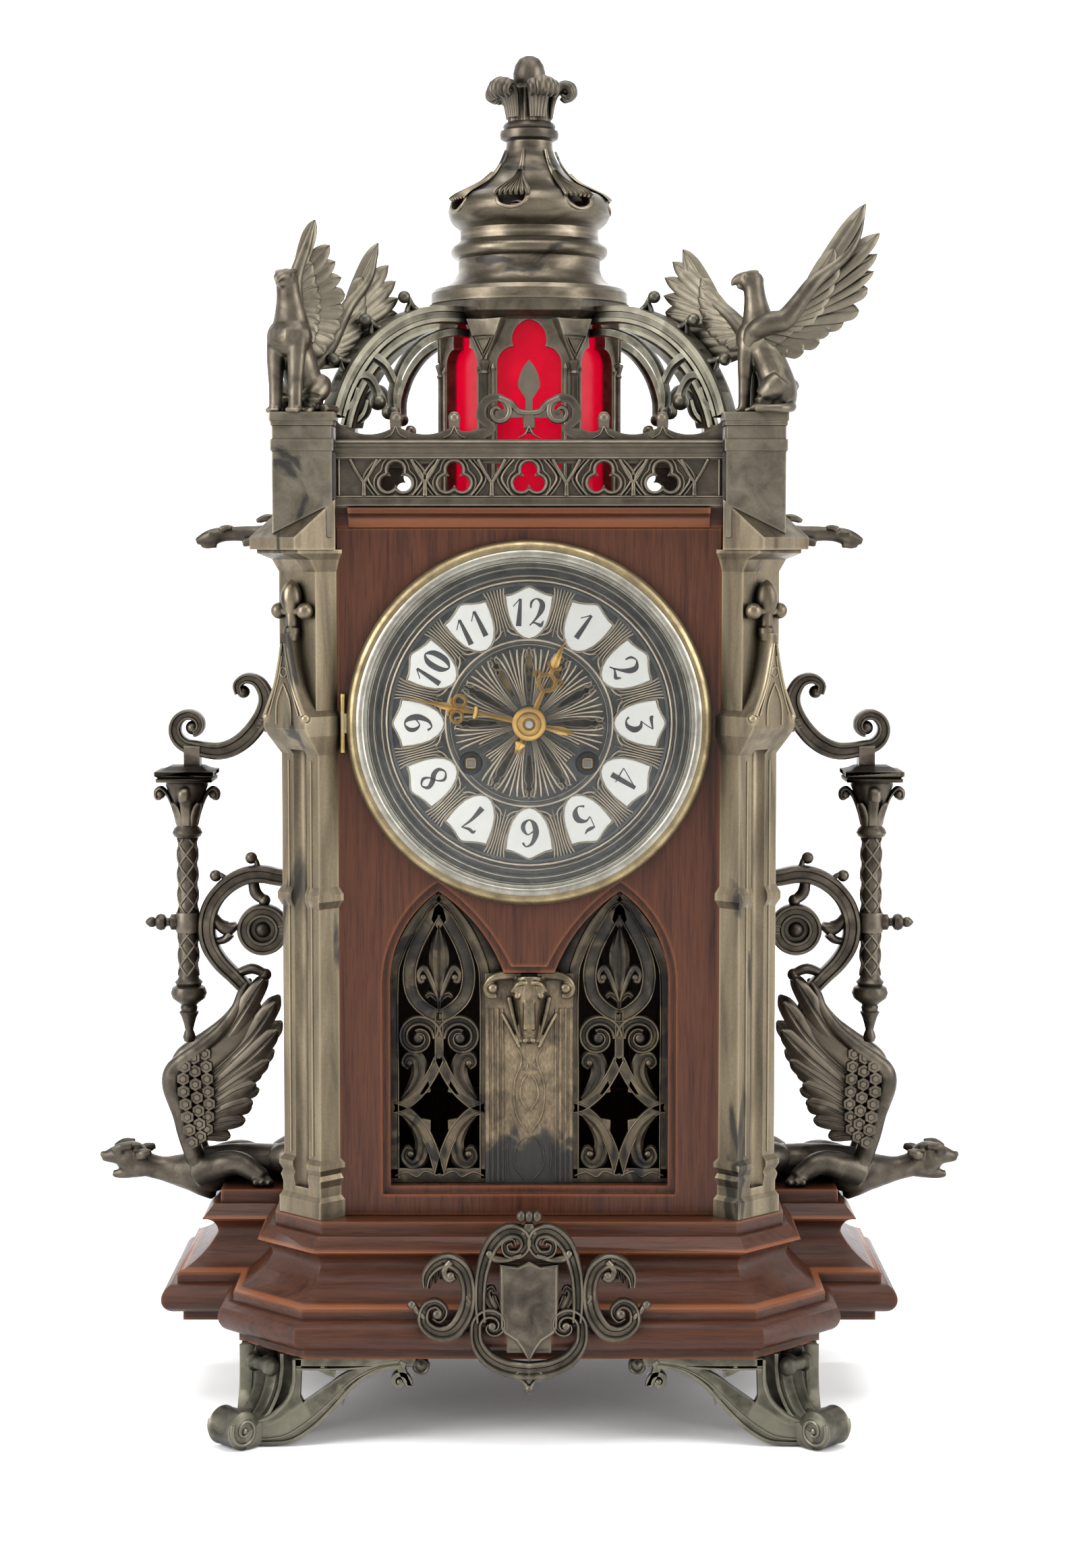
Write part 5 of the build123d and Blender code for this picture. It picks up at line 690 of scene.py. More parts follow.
def fan(cast):
    """Flared ribs, curls and pointed leaves in the middle, kept off the winding rings."""
    for hour in range(12):
        turn = 30 * hour + 15
        cast.place = clock_turn(turn)
        for k in (-2, -1, 0, 1, 2):
            flare = [(0.35 * k, FAN_INNER, 0.3), (0.75 * k, 15.0, 0.45), (1.5 * k, 22.0, 0.62),
                     (2.35 * k, 27.5, 0.7), (3.1 * k, FAN_OUTER - 0.5 * abs(k), 0.45)]
            cast.band(clear_of_winding(turn, flare), 1.0 - 0.1 * abs(k), ROLL, 0.0, 4)
        for curl in pair(spiral((5.4, 28.2), 1.9, 0.5, 90, -240, 9, (0.45, 0.3))):
            if len(clear_of_winding(turn, curl)) == len(curl):
                cast.band(curl, 0.9, ROLL, 0.0, 3)
        turn = 30 * hour
        cast.place = clock_turn(turn)
        for edge in pair([(0.5, 9.0, 0.2), (1.2, 16.0, 0.3), (1.9, 23.0, 0.35), (1.0, 25.6, 0.3),
                          (1.5, 28.0, 0.35), (0, 31.2, 0.3)]):
            cast.band(clear_of_winding(turn, edge), 0.9, ROLL, 0.0, 4)


def dial_relief(cast):
    """Reeds, rings and fan of the dial, in one casting with the frames of the shields."""
    reeds(cast)
    cast.place = clock_turn(15)
    for radius, half, rise in DIAL_RINGS:
        cast.band(circle(radius, half, 72), rise, ROLL, 0.0, 1, True)
    fan(cast)
    cast.build("dial_relief", DIAL, slot="silvered_dial")


def winding_holes():
    """Black ring round each winding hole, and the square that turns in it."""
    middle = (WINDING_RING + WINDING_HOLE) / 2
    half = (WINDING_RING - WINDING_HOLE) / 2
    for node, label in (("going_barrel", "right"), ("strike_barrel", "left")):
        low, high = corners(node)
        place = front_plane(Y_DIAL, (low.x + high.x) / 2, (low.z + high.z) / 2)
        grommet = Cast(place)
        grommet.band(circle(middle, half, 40), 1.5, ROLL, 0.0, 1, True)
        grommet.build("winding_grommet_" + label, BLACK, slot="steel")
        square = Cast(place)
        square.slab([(-1.6, -1.6), (1.6, -1.6), (1.6, 1.6), (-1.6, 1.6)], -1.0, 0.7, 0.25)
        square.build("winding_square_" + label, WINDER, node, "steel")


dial_relief(plaques())
winding_holes()

# Gallery
FRIEZE_LOW = Z_ROOF + 5.0
FRIEZE_HIGH = Z_ROOF + 19.7
RAIL_TOP = Z_ROOF + 27.7
TREFOIL_HEIGHT = FRIEZE_LOW + 6.8
TREFOIL_LOBE = 3.1
TREFOIL_REACH = 3.7
FRONT_TREFOILS = (-54.5, -30.5, 0.0, 30.5, 54.5)
SIDE_TREFOILS = (-27.0, 0.0, 27.0)
GALLERY_FACE = -76.0
GALLERY_HALF = 78.9
FLANK_FACE = -95.5
FLANK_HALF = 57.4
RAILS = ((Z_ROOF + 0.9, 0.8, 1.5), (FRIEZE_LOW - 0.5, 0.6, 1.5), (FRIEZE_HIGH + 0.7, 0.7, 1.6),
         (FRIEZE_HIGH + 2.6, 0.4, 1.4), (RAIL_TOP - 1.0, 0.9, 1.9), (RAIL_TOP - 3.2, 0.4, 1.4))


def trefoil_ring(grow, half):
    """Stations round a three-lobed opening, a little outside it."""
    stations = []
    lobe = TREFOIL_LOBE + grow
    for k in range(42):
        angle = 2 * math.pi * k / 42
        reach = 0.0
        for turn in (90, 210, 330):
            off = angle - math.radians(turn)
            beside = TREFOIL_REACH * math.sin(off)
            if abs(beside) < lobe and math.cos(off) > -0.5:
                reach = max(reach, TREFOIL_REACH * math.cos(off) + math.sqrt(lobe ** 2 - beside ** 2))
        stations.append((reach * math.cos(angle), TREFOIL_HEIGHT + reach * math.sin(angle), half))
    return stations


def trefoil_bay(cast):
    """Layered outline of a trefoil, the bars that curve past it, and the tab on the rail above."""
    for grow, half, rise in ((0.8, 0.75, 1.3), (2.5, 0.55, 0.9)):
        cast.band(trefoil_ring(grow, half), rise, ROLL, 0.0, 1, True)
    for reach, rise in ((9.2, 1.4), (11.0, 0.9)):
        cast.twin_band([(reach - 3.2, FRIEZE_HIGH, 0.65), (reach + 0.6, FRIEZE_HIGH - 4.6, 0.7),
                        (reach + 2.0, FRIEZE_HIGH - 8.0, 0.7), (reach, FRIEZE_LOW + 3, 0.65),
                        (reach - 2.4, FRIEZE_LOW, 0.6)], rise, ROLL, 0.0, 4)
    tab = [(-2.2, 4.5), (2.2, 4.5), (2.4, 9.0), (1.6, 11.0), (0, 11.4), (-1.6, 11.0), (-2.4, 9.0)]
    cast.slab([(x, RAIL_TOP + y) for x, y in tab], -3.6, -0.2, 0.4)
    cast.twin_band([(0, RAIL_TOP + 5.6, 0.45), (1.6, RAIL_TOP + 2.2, 0.4), (4.4, RAIL_TOP + 0.6, 0.3)],
                   0.9, ROLL, -0.6, 3)


def parapet(cast, half, spots):
    """Relief of one side, on its frieze: trefoil bays, forked bars between them, rails and end posts."""
    plane = cast.place
    for x in spots:
        cast.place = plane @ Matrix.Translation((x, 0, 0))
        trefoil_bay(cast)
    between = [(left + right) / 2 for left, right in zip(spots, spots[1:])]
    end = min(spots[-1] + 13.0, half - 7.0)
    for x in [-end, *between, end]:
        cast.place = plane @ Matrix.Translation((x, 0, 0))
        cast.twin_band([(5.6, FRIEZE_HIGH, 0.95), (3.0, FRIEZE_HIGH - 5.0, 0.95),
                        (0, FRIEZE_HIGH - 9.6, 0.95)], 1.7, ROLL, 0.0, 4)
        cast.band([(0, FRIEZE_HIGH - 9.0, 1.0), (0, FRIEZE_LOW, 1.3)], 1.7, ROLL)
    cast.place = plane
    for z, width, rise in RAILS:
        cast.band([(-half, z, width), (half, z, width)], rise, ROLL)
    cast.twin_band([(half - 1.2, FRIEZE_LOW, 0.8), (half - 1.2, FRIEZE_HIGH, 0.8)], 1.2, ROLL)


def galleries():
    """Relief of the four parapets, and the lily with two coils on the front rail."""
    front = Cast(front_plane(GALLERY_FACE))
    parapet(front, GALLERY_HALF, FRONT_TREFOILS)
    lily = [(2.6, 0.9), (12, 1.3), (17, 1.2), (21.5, 4.4), (26.5, 3.6), (32.2, 0.3)]
    front.band([(0, RAIL_TOP + height, half) for height, half in lily], 1.6, RIDGE, -2.2)
    coil = spiral((12.6, RAIL_TOP + 11.2), 1.2, 5.6, 490, 90, 14, (0.9, 1.5))
    coil += [(7.4, RAIL_TOP + 14.6, 1.5), (4.2, RAIL_TOP + 11.4, 1.3), (0, RAIL_TOP + 10.8, 1.3)]
    front.twin_band(coil, 1.7, ROLL, -1.4, 3)
    front.build("gallery_front_relief", DARK)
    for name, turn, face, half, spots in (("rear", 180, GALLERY_FACE, GALLERY_HALF, FRONT_TREFOILS),
                                          ("right", 90, FLANK_FACE, FLANK_HALF, SIDE_TREFOILS),
                                          ("left", -90, FLANK_FACE, FLANK_HALF, SIDE_TREFOILS)):
        relief = Cast(turned(turn) @ front_plane(face))
        parapet(relief, half, spots)
        relief.build("gallery_%s_relief" % name, DARK)


# Lantern, dome and finial
LANTERN_RADIUS = 38.5
FINIAL_LEAVES = 5
FINIAL_TURN = -68.0
DOME_EYES = 7
DOME_EYE_TURN = -13.0
ARCH_SPRING = Z_ROOF + 60.0
SPANDREL_TOP = Z_DOME - 9.0
DOME_CURVE = [(42.2, 0.0), (42.2, 4.4), (33.5, 9.6), (30.5, 14.5), (30.5, 19.0), (33.8, 22.2), (29.8, 26.8),
              (29.8, 31.4), (32.6, 33.6), (34.8, 39.3), (33.2, 43.4), (29.2, 46.6), (21.5, 50.6),
              (17.7, 53.0), (13.8, 58.4), (10.9, 63.2), (10.0, 69.0)]
COLONNETTE = [(2.6, 0), (2.6, 3), (2.0, 4), (2.5, 5.5), (1.8, 7), (1.6, 9), (1.6, 56), (2.2, 57), (1.7, 58),
              (2.6, 61), (2.9, 62), (0.5, 63)]
THIN_COLONNETTE = [(1.5, 0), (1.5, 4), (0.9, 5), (0.9, 57), (1.5, 59), (0.4, 61)]
SPANDREL_HALF = [(0, ARCH_SPRING + 1), (1.8, ARCH_SPRING + 2), (3.0, ARCH_SPRING + 6),
                 (5.4, ARCH_SPRING + 11), (8.6, SPANDREL_TOP + 1), (0, SPANDREL_TOP + 1)]
TRIANGLE = [(0, 3.2), (2.6, 7.6), (5.2, 12.6), (0, 12.9), (-5.2, 12.6), (-2.6, 7.6)]
TRIANGLE_MIDDLE = 9.4
LANTERN_CORNICE = [(-2.5, -8.8), (-0.3, -8.8), (0.7, -7.6), (-0.1, -6.4), (-0.1, -3.6), (1.7, -1.8),
                   (1.7, -0.5), (-2.5, -0.5)]
DOME_EYE_HEIGHT = 42.6
SHELL_LEAF = ((0.25, 55.0, 0.5), (0.55, 51.0, 1.1), (0.85, 48.0, 1.4), (1.05, 45.4, 1.4), (1.1, 43.4, 0.7))
STALK = ((52.0, 2.2), (56.0, 1.6), (60.0, 1.0), (65.0, 0.5))


def lantern():
    """Colonnettes on the six corners, spandrel blocks with triangles, and the cornice."""
    cast = Cast()
    for index in range(6):
        corner = turned(60 * index)
        cast.place = corner @ Matrix.Translation((LANTERN_RADIUS - 0.6, 0, Z_ROOF))
        cast.lathe(COLONNETTE, 14)
        for side in (-1, 1):
            cast.place = corner @ Matrix.Translation((LANTERN_RADIUS - 2.2, side * 3.3, Z_ROOF))
            cast.lathe(THIN_COLONNETTE, 10)
        cast.place = corner @ turned(90) @ front_plane(-LANTERN_RADIUS)
        cast.slab(both_sides(SPANDREL_HALF), -5.0, 0.2, 0.5)
        for size, rise in ((1.0, 0.9), (0.62, 0.7)):
            line = []
            for x, y in TRIANGLE:
                line.append((x * size, ARCH_SPRING + TRIANGLE_MIDDLE + (y - TRIANGLE_MIDDLE) * size, 0.42))
            cast.band(line, rise, ROLL, 0.2, 1, True)
    cast.place = Matrix.Identity(4)
    rings = []
    profile = [(LANTERN_RADIUS + r, Z_DOME + z) for r, z in LANTERN_CORNICE]
    for a, b in arc_section(7, 0, 360)[:-1]:
        rings.append([(r * a, r * b, z) for r, z in profile])
    cast.rings(rings, True)
    cast.build("lantern_relief", LANTERN)


def dome_point(angle, height, out=0.0):
    """Point on the dome's outside, at a height over its seat."""
    for (r0, h0), (r1, h1) in zip(DOME_CURVE, DOME_CURVE[1:]):
        if h0 <= height <= h1:
            radius = r0 + (r1 - r0) * (height - h0) / (h1 - h0) + out
            return (radius * math.cos(angle), radius * math.sin(angle), Z_DOME + height)
    return (DOME_CURVE[-1][0] * math.cos(angle), DOME_CURVE[-1][0] * math.sin(angle), Z_DOME + height)


def dome_leaves():
    """Rim round each almond opening, a ribbed shell leaf over it, and stalks up to the neck."""
    cast = Cast()
    for index in range(DOME_EYES):
        middle = math.radians(360 * index / DOME_EYES + DOME_EYE_TURN - 90)
        rim = []
        for k in range(20):
            turn = 2 * math.pi * k / 20
            height = DOME_EYE_HEIGHT + 4.5 * math.sin(turn)
            rim.append((*dome_point(middle + 0.2 * math.cos(turn), height, 0.1), 0.85, 0.85))
        cast.sweep(rim, ROUND, (0.1, 0.2, 1), 1, True)
        outward = (math.cos(middle), math.sin(middle))
        for k in range(-3, 4):
            path = []
            for share, height, half in SHELL_LEAF:
                out = 0.7 if height > 46 else 1.6
                path.append((*dome_point(middle + 0.062 * k * share, height, out), half, 1.4))
            cast.sweep(path, LEAF, (*outward, 0.4), 4)
        stalk = [(*dome_point(middle, height, 0.3), half, 0.9) for height, half in STALK]
        cast.sweep(stalk, LEAF, (*outward, 0.3), 4)
    cast.build("dome_leaves", DOME, "dome")


FINIAL_COLLAR = [(3.9, -7.0), (3.9, 0), (10, 0), (12.3, 1.2), (12.7, 3.0), (12.4, 4.6), (10.9, 5.2),
                 (11.4, 6.4), (10.9, 7.6), (9.4, 8.4), (3.0, 8.6)]
FINIAL_STEM = [(3.0, 7.6), (9.5, 8.0), (9.2, 13), (9.6, 18), (10.4, 22), (7.0, 24.5), (3.0, 25)]
FINIAL_BUD = [(3, 20), (6.8, 25), (7.0, 29), (6.2, 32.5), (4.4, 35.2), (2.0, 36.4), (0.1, 36.5)]


def finial():
    """Double collar, fluted stem, crown of curled acanthus leaves and an egg-shaped bud."""
    base = Matrix.Translation((0, 0, corners("dome_finial")[0].z + 7.5))
    cast = Cast(base)
    cast.lathe(FINIAL_COLLAR, 40)
    cast.lathe(FINIAL_STEM, 96, 16, 0.09)
    cast.lathe(FINIAL_BUD, 28)
    for index in range(FINIAL_LEAVES):
        turn = FINIAL_TURN + 360 * index / FINIAL_LEAVES
        cast.place = base @ turned(turn)
        for across, short in ((-5.0, 1.6), (-2.5, 0.5), (0, 0), (2.5, 0.5), (5.0, 1.6)):
            lobe = [(9.0, 0.5 * across, 10.0, 1.0, 1.0), (9.8, 0.6 * across, 16.0, 1.3, 1.3),
                    (11.4, 0.75 * across, 21.4 - 0.5 * short, 1.6, 1.7),
                    (14.4, 0.9 * across, 24.6 - 0.8 * short, 1.8, 2.1),
                    (18.2 - short, across, 23.8 - short, 1.8, 2.2),
                    (19.2 - 1.2 * short, across, 20.6 - 0.4 * short, 1.6, 1.9),
                    (17.4 - short, across, 18.4, 1.2, 1.4), (15.4 - short, 0.9 * across, 19.4, 0.8, 1.0)]
            cast.sweep(lobe, ROUND, (0, 1, 0), 5)
        cast.ball((15.6, 0, 21.6), 2.8, (1, 1.9, 1))
    cast.build("finial_crown", DARK, "dome", nodes=("dome_finial",))


# Flying buttresses
FLYER_CENTRE = (45.0, 407.7)
FLYER_MIDDLE = 58.0
FLYER_OUTER = 61.8
FLYER_SPAN = 75.5
FLYER_TURN = math.degrees(math.atan2(70.7, 92.2))
CORNER_FLIPS = [Matrix.Diagonal((sx, sy, 1, 1)) for sx in (1, -1) for sy in (1, -1)]


def crocket(cast, x, z, lean, size):
    """Curled leaf with a ball end that stands on an edge."""
    place = cast.place
    cast.place = place @ Matrix.Translation((x, z, 0)) @ Matrix.Rotation(-lean, 4, "Z")
    cast.sweep([(-1.6, -1.2, 0, 1.9, 2.6), (-0.3, 1.8, 0, 1.3, 2.0), (0.2, 4.2, 0, 1.2, 1.7),
                (1.6, 6.4, 0, 1.4, 1.7)], ROUND)
    cast.sweep([(3.2, -1.0, 0, 0.8, 1.8), (2.0, 1.0, 0, 0.8, 1.6), (0.4, 3.0, 0, 0.6, 1.2)], ROUND)
    cast.ball((2.2, 5.9, 0), size)
    cast.place = place


def flyers():
    """Half arches with cusped foils, ball drops and leaf crockets."""
    cast = Cast()
    cx, cz = FLYER_CENTRE
    for flip in CORNER_FLIPS:
        cast.place = flip @ turned(FLYER_TURN) @ front_plane(0)
        for half, thick, shift in ((3.7, 3.4, 0.0), (1.3, 4.5, 2.4), (1.0, 4.1, -2.2)):
            radius = FLYER_MIDDLE + shift
            arc = [(30.0, cz + radius, half)]
            for a, b in arc_section(13, 90, 90 - FLYER_SPAN):
                arc.append((cx + radius * a, cz + radius * b, half))
            cast.bar(arc, thick, BEAM, False, 3)
        cast.sweep([(31, cz + 50.5, 0, 1.7, 2.4), (44, cz + 50.6, 0, 1.8, 2.4), (57, cz + 46, 0, 1.8, 2.4),
                    (66.5, cz + 37, 0, 1.7, 2.3), (71.5, cz + 26, 0, 1.5, 2.2),
                    (71.6, cz + 17.5, 0, 1.3, 2.0)], BEAM)
        cast.sweep([(82.5, cz + 40, 0, 1.6, 2.2), (76, cz + 36, 0, 1.4, 2.2), (71.5, cz + 29, 0, 1.2, 2.0)],
                   BEAM)
        cast.sweep([(95, cz + 26, 0, 1.7, 2.2), (90, cz + 31, 0, 1.6, 2.2), (84.5, cz + 30.8, 0, 1.5, 2.1),
                    (80.8, cz + 26.5, 0, 1.4, 2.0), (79.5, cz + 21.5, 0, 1.6, 2.0)], BEAM)
        cast.sweep([(98.5, cz + 16, 0, 1.2, 2.0), (93, cz + 20, 0, 1.2, 1.9), (90.5, cz + 26, 0, 1.0, 1.7)],
                   BEAM)
        cast.ball((79.4, cz + 20.4, 0), 3.5)
        cast.ball((71.6, cz + 16.6, 0), 2.9)
        for r, lean in ((62.0, 0.3), (80.5, 0.62), (95.5, 0.95)):
            crocket(cast, r, cz + math.sqrt(FLYER_OUTER ** 2 - (r - cx) ** 2), lean, 2.7)
    cast.build("flying_arches", PEWTER, nodes=("flying_buttresses",))


# Buttress gablets
BUTTRESS_SKEW = 9.75
GABLET_FACE = 128.0
SHAFT_FACE = 119.5
GABLE_LOW = Z_FLOOR + 208.5


def diagonal_planes():
    """Drawing plane of each corner's diagonal: across, up, and out from the clock's axis."""
    outward = Matrix.Translation((BUTTRESS_SKEW, -BUTTRESS_SKEW, 0)) @ turned(135)
    base = outward @ front_plane(0)
    return [flip @ base for flip in CORNER_FLIPS]


def gablets():
    """Double lines, lancet and ring on the steep gables, knobs at their feet, and beads on the shafts."""
    cast = Cast()
    face = GABLET_FACE - 0.2
    for plane in diagonal_planes():
        cast.place = plane
        for inset, half, rise in ((0.8, 0.9, 1.2), (3.4, 0.5, 0.8)):
            cast.twin_band([(12.6 - inset, GABLE_LOW + 0.6, half),
                            (6.6 - 0.5 * inset, GABLE_LOW + 11, half),
                            (3.4 - 0.25 * inset, GABLE_LOW + 21 - inset, half),
                            (0.9, GABLE_LOW + 31.5 - 2 * inset, half)], rise, ROLL, face, 4)
        cast.twin_band([(4.6, GABLE_LOW - 3.5, 0.5), (4.6, GABLE_LOW + 3, 0.5), (3.2, GABLE_LOW + 8, 0.5),
                        (0, GABLE_LOW + 13.5, 0.4)], 0.9, ROLL, face, 4)
        cast.twin_ball((11.9, GABLE_LOW - 0.6, GABLET_FACE - 1.2), 2.1)
        cast.twin_band([(7.0, Z_FLOOR + 26, 0.45), (7.0, Z_FLOOR + 190, 0.45)], 0.7, ROLL, SHAFT_FACE, 1)
        cast.band(circle(2.0, 0.4, 18, 0.0, GABLE_LOW + 18.2), 0.8, ROLL, face, 1, True)
    cast.build("gablet_relief", SHAFT)


galleries()
lantern()
dome_leaves()
finial()
flyers()
gablets()

# Winged beasts
FEATHER = [(1, 0), (0.7, 0.55), (0.2, 0.85), (0.1, 0.6), (-0.1, 0.6), (-0.2, 0.85), (-0.7, 0.55), (-1, 0),
           (-0.5, -0.5), (0.5, -0.5)]
ROUND_BLADE = ((0, 0.55), (0.3, 0.85), (0.65, 1.0), (0.88, 0.85), (0.97, 0.5), (1.0, 0.12))
POINTED_BLADE = ((0, 0.5), (0.3, 0.85), (0.65, 0.95), (0.85, 0.7), (0.95, 0.36), (1.0, 0.05))
FEATHER_ROOTS = 0.5
POINTED_COUNT = 4
TIP_WIDTH = 0.85


def feather(cast, start, tip, half, up, bend=(0, 0, 0), shape=ROUND_BLADE, thick=0.9):
    """Blade with a quill line; its shape gives shares of the half width along it."""
    start, tip, bend = Vector(start), Vector(tip), Vector(bend)
    stations = []
    for share, wide in shape:
        spot = start.lerp(tip, share) + bend * (4 * share * (1 - share))
        stations.append((*spot, half * wide, thick))
    cast.sweep(stations, FEATHER, up, 4)


def wing(cast, lead, tips, up, half):
    """Wing with a round leading edge (x, y, z, radius), long feathers to the given tips, and coverts."""
    cast.tube(lead, 6)
    rail = [Vector(spot[:3]) for spot in smooth(lead, 8)]
    bend = (rail[-1] - rail[0]).normalized() * 1.2
    up = Vector(up).normalized()
    tips = [lead[-1][:3], *tips]
    for row, (reach, wide, lift) in enumerate(((1.0, 1.0, 0.0), (0.5, 0.9, 1.0))):
        for j, tip in enumerate(tips):
            share = FEATHER_ROOTS * (1 - (j + 0.6 - 0.3 * row) / len(tips))
            root = rail[round(max(share, 0) * (len(rail) - 1))]
            end = root.lerp(Vector(tip), reach) + up * lift
            blade = POINTED_BLADE if j < POINTED_COUNT else ROUND_BLADE
            feather(cast, root + up * lift, end, half * wide * (1.0 if j else TIP_WIDTH), up, bend, blade)


GRYPHON_STOUT = 1.16
GRYPHON_SINK = 0.7
# Place, turn and turn of the head: the left one faces out of its corner, the right one the lantern
GRYPHON_SEATS = {"left": (-94.4, -74.0, -33, 6), "right": (97.3, -73.5, 246, 22)}
# Leading edge, feather tips, the way the feathers face, and their half width
GRYPHON_WINGS = {
    "left": [
        (
            [(-94, -73, 453, 3.6), (-95.4, -71, 466, 3.6), (-95.0, -70, 478, 3.0), (-91, -69, 490, 2.2),
             (-87.5, -68, 501, 0.6)],
            [(-81.6, -66, 491), (-79.4, -65, 484.5), (-77, -64, 478), (-75.6, -63.5, 471),
             (-76, -63, 464.5), (-77.5, -63, 458), (-80, -63.5, 452), (-84, -65, 447)],
            (0.25, -1, 0.1),
            4.0,
        ),
        (
            [(-89, -64, 442, 3.4), (-83, -57, 450, 3.4), (-75.5, -49, 467, 3.0), (-67, -42, 480, 2.2),
             (-63.4, -38, 494.5, 0.6)],
            [(-59.2, -36, 485.5), (-56.2, -35, 479), (-55, -35, 472), (-55.6, -35.5, 465.5),
             (-58, -37, 459), (-61.5, -40, 453), (-66, -44, 448)],
            (0.45, -1, 0.1),
            4.2,
        ),
    ],
    "right": [
        (
            [(88.6, -76, 449, 3.0), (91.6, -79, 455, 4.2), (97.5, -81, 458.4, 4.6), (103.5, -81, 460, 4.3),
             (109.4, -80, 467, 3.7), (115, -79, 474.6, 3.1), (122, -77, 480.4, 2.6),
             (129, -74.5, 486.4, 2.0), (134, -72.5, 495, 1.4), (136.8, -71, 507, 0.5)],
            [(143, -68, 495.5), (142, -69, 487), (140.6, -69, 480), (138, -70, 473), (134.4, -71, 464),
             (128, -73, 459), (122.4, -75, 455.6), (118, -76, 450.5), (111.4, -77.5, 446.6),
             (104.6, -78, 446)],
            (-0.2, -1, 0.15),
            4.6,
        ),
        (
            [(95, -68, 450, 3.6), (89, -61, 456, 3.6), (83.5, -54, 463, 3.2), (72.5, -43, 474, 2.6),
             (66.4, -39, 483, 1.8), (64.6, -37, 492, 0.5)],
            [(60.2, -36, 487), (57, -34, 480.5), (56.6, -34, 473), (57.4, -35, 466), (60, -37, 459.5),
             (65, -41, 453.5), (71, -46, 449), (79, -53, 446)],
            (-0.4, -1, 0.1),
            4.2,
        ),
    ],
}


def gryphon_body(name, place, head_turn, node):
    """Seated beast that faces -Y at its own place: lion's body, eagle's head."""
    place = place @ Matrix.Diagonal((GRYPHON_STOUT, 1, 1, 1))
    body = Cast(place)
    body.ball((0, -5.2, 31), 8.4, (1.05, 0.95, 1.0))
    body.tube([(0, -4, 33, 6.6), (0, -1, 25, 6.6), (0, 3, 16, 7.0), (0, 5, 9, 7.4), (0, 6, 3.5, 6)])
    body.tube([(0, -4, 33, 7.6), (0, -4.6, 40, 5.9), (0, -5.6, 47, 4.5), (0, -6.4, 53, 4.2)])
    body.twin_tube([(4.3, -6.6, 31, 4.0), (4.5, -7.6, 22, 3.4), (4.3, -8.0, 12, 2.7), (4.3, -8.2, 4, 2.5),
                    (4.3, -8.6, 1, 2.8)])
    body.twin_tube([(4.4, 8, 14, 4.5), (5.3, 4.5, 10, 5.2), (5.8, 0.5, 6, 3.6), (5.8, 3.5, 2.4, 2.4),
                    (6.4, -3.5, 1.8, 2.4)])
    for toe in (-1.7, 0, 1.7):
        body.twin_tube([(4.3 + toe, -8.6, 2.0, 1.2), (4.3 + toe * 1.15, -11.0, 1.2, 1.1)])
        body.twin_tube([(6.8 + toe, -3.4, 1.8, 1.1), (6.8 + toe * 1.1, -6.0, 1.1, 1.0)])
    body.tube([(0, 10, 3.4, 2.4), (5, 12, 2.4, 2.0), (9.6, 10, 2.0, 1.8), (11.2, 5, 2.0, 1.7),
               (11, 0, 2.0, 2.1)])
    body.place = place @ Matrix.Translation((0, -6.2, 0)) @ turned(head_turn)
    body.ball((0, -1.0, 54.0), 4.5, (0.95, 1.15, 1.0))
    body.tube([(0, -3.6, 54.9, 3.2), (0, -6.2, 54.7, 2.3), (0, -8.0, 53.6, 1.4), (0, -8.6, 52.0, 0.6)])
    body.tube([(0, -3.4, 52.2, 2.2), (0, -5.4, 51.9, 1.4), (0, -6.8, 51.9, 0.7)])
    body.twin_tube([(2.2, 2.0, 57.4, 1.0), (2.9, -1.4, 57.2, 1.1), (2.0, -4.6, 56.4, 0.9)])
    body.twin_ball((3.3, -2.8, 55.2), 1.1)
    body.build(name, SILVER, nodes=(node,), remesh=0.45, soften=5)


def gryphons():
    """Both beasts on the front blocks, each with its pair of wings."""
    for name, (x, y, turn, head_turn) in GRYPHON_SEATS.items():
        seat = Matrix.Translation((x, y, Z_PEDESTAL - GRYPHON_SINK)) @ turned(turn)
        gryphon_body("gryphon_%s_body" % name, seat, head_turn, "gryphon_" + name)
        wings = Cast()
        for lead, tips, up, half in GRYPHON_WINGS[name]:
            wing(wings, lead, tips, up, half)
        wings.build("gryphon_%s_wings" % name, WING)


WING_BONE = [(146, -8, 100, 4.4), (149.5, -11, 112, 4.4), (151.5, -13, 122, 4.6), (155.6, -15, 134, 4.4),
             (154.6, -16, 141, 4.2), (149.6, -16.5, 146, 3.6), (143.4, -16, 150.6, 3.2),
             (134.4, -14, 158, 3.0), (127.6, -11, 167, 2.8), (125.4, -8, 174, 2.2), (123, -6, 178, 1.0)]
PINIONS = [((142, -15, 142), (128.5, -13.5, 160), (116, -9, 180), 4.6),
           ((140, -15, 137), (122.5, -13, 153.5), (110.8, -10, 170), 4.8),
           ((139, -15, 132.5), (121.5, -14, 146.5), (110, -12, 158), 4.6),
           ((138.6, -15, 128.5), (125, -14.5, 137.5), (113.6, -13, 145), 4.2),
           ((139, -15, 124.5), (128.5, -15, 131), (119, -14.5, 135), 3.9),
           ((140, -15, 120), (130, -15.2, 124.5), (120.4, -14.5, 127), 3.7),
           ((141.6, -15, 116), (132.5, -15, 118), (123.8, -14, 119), 3.5),
           ((143, -14, 112), (137, -14, 112.6), (130.4, -13.5, 111.5), 3.2)]
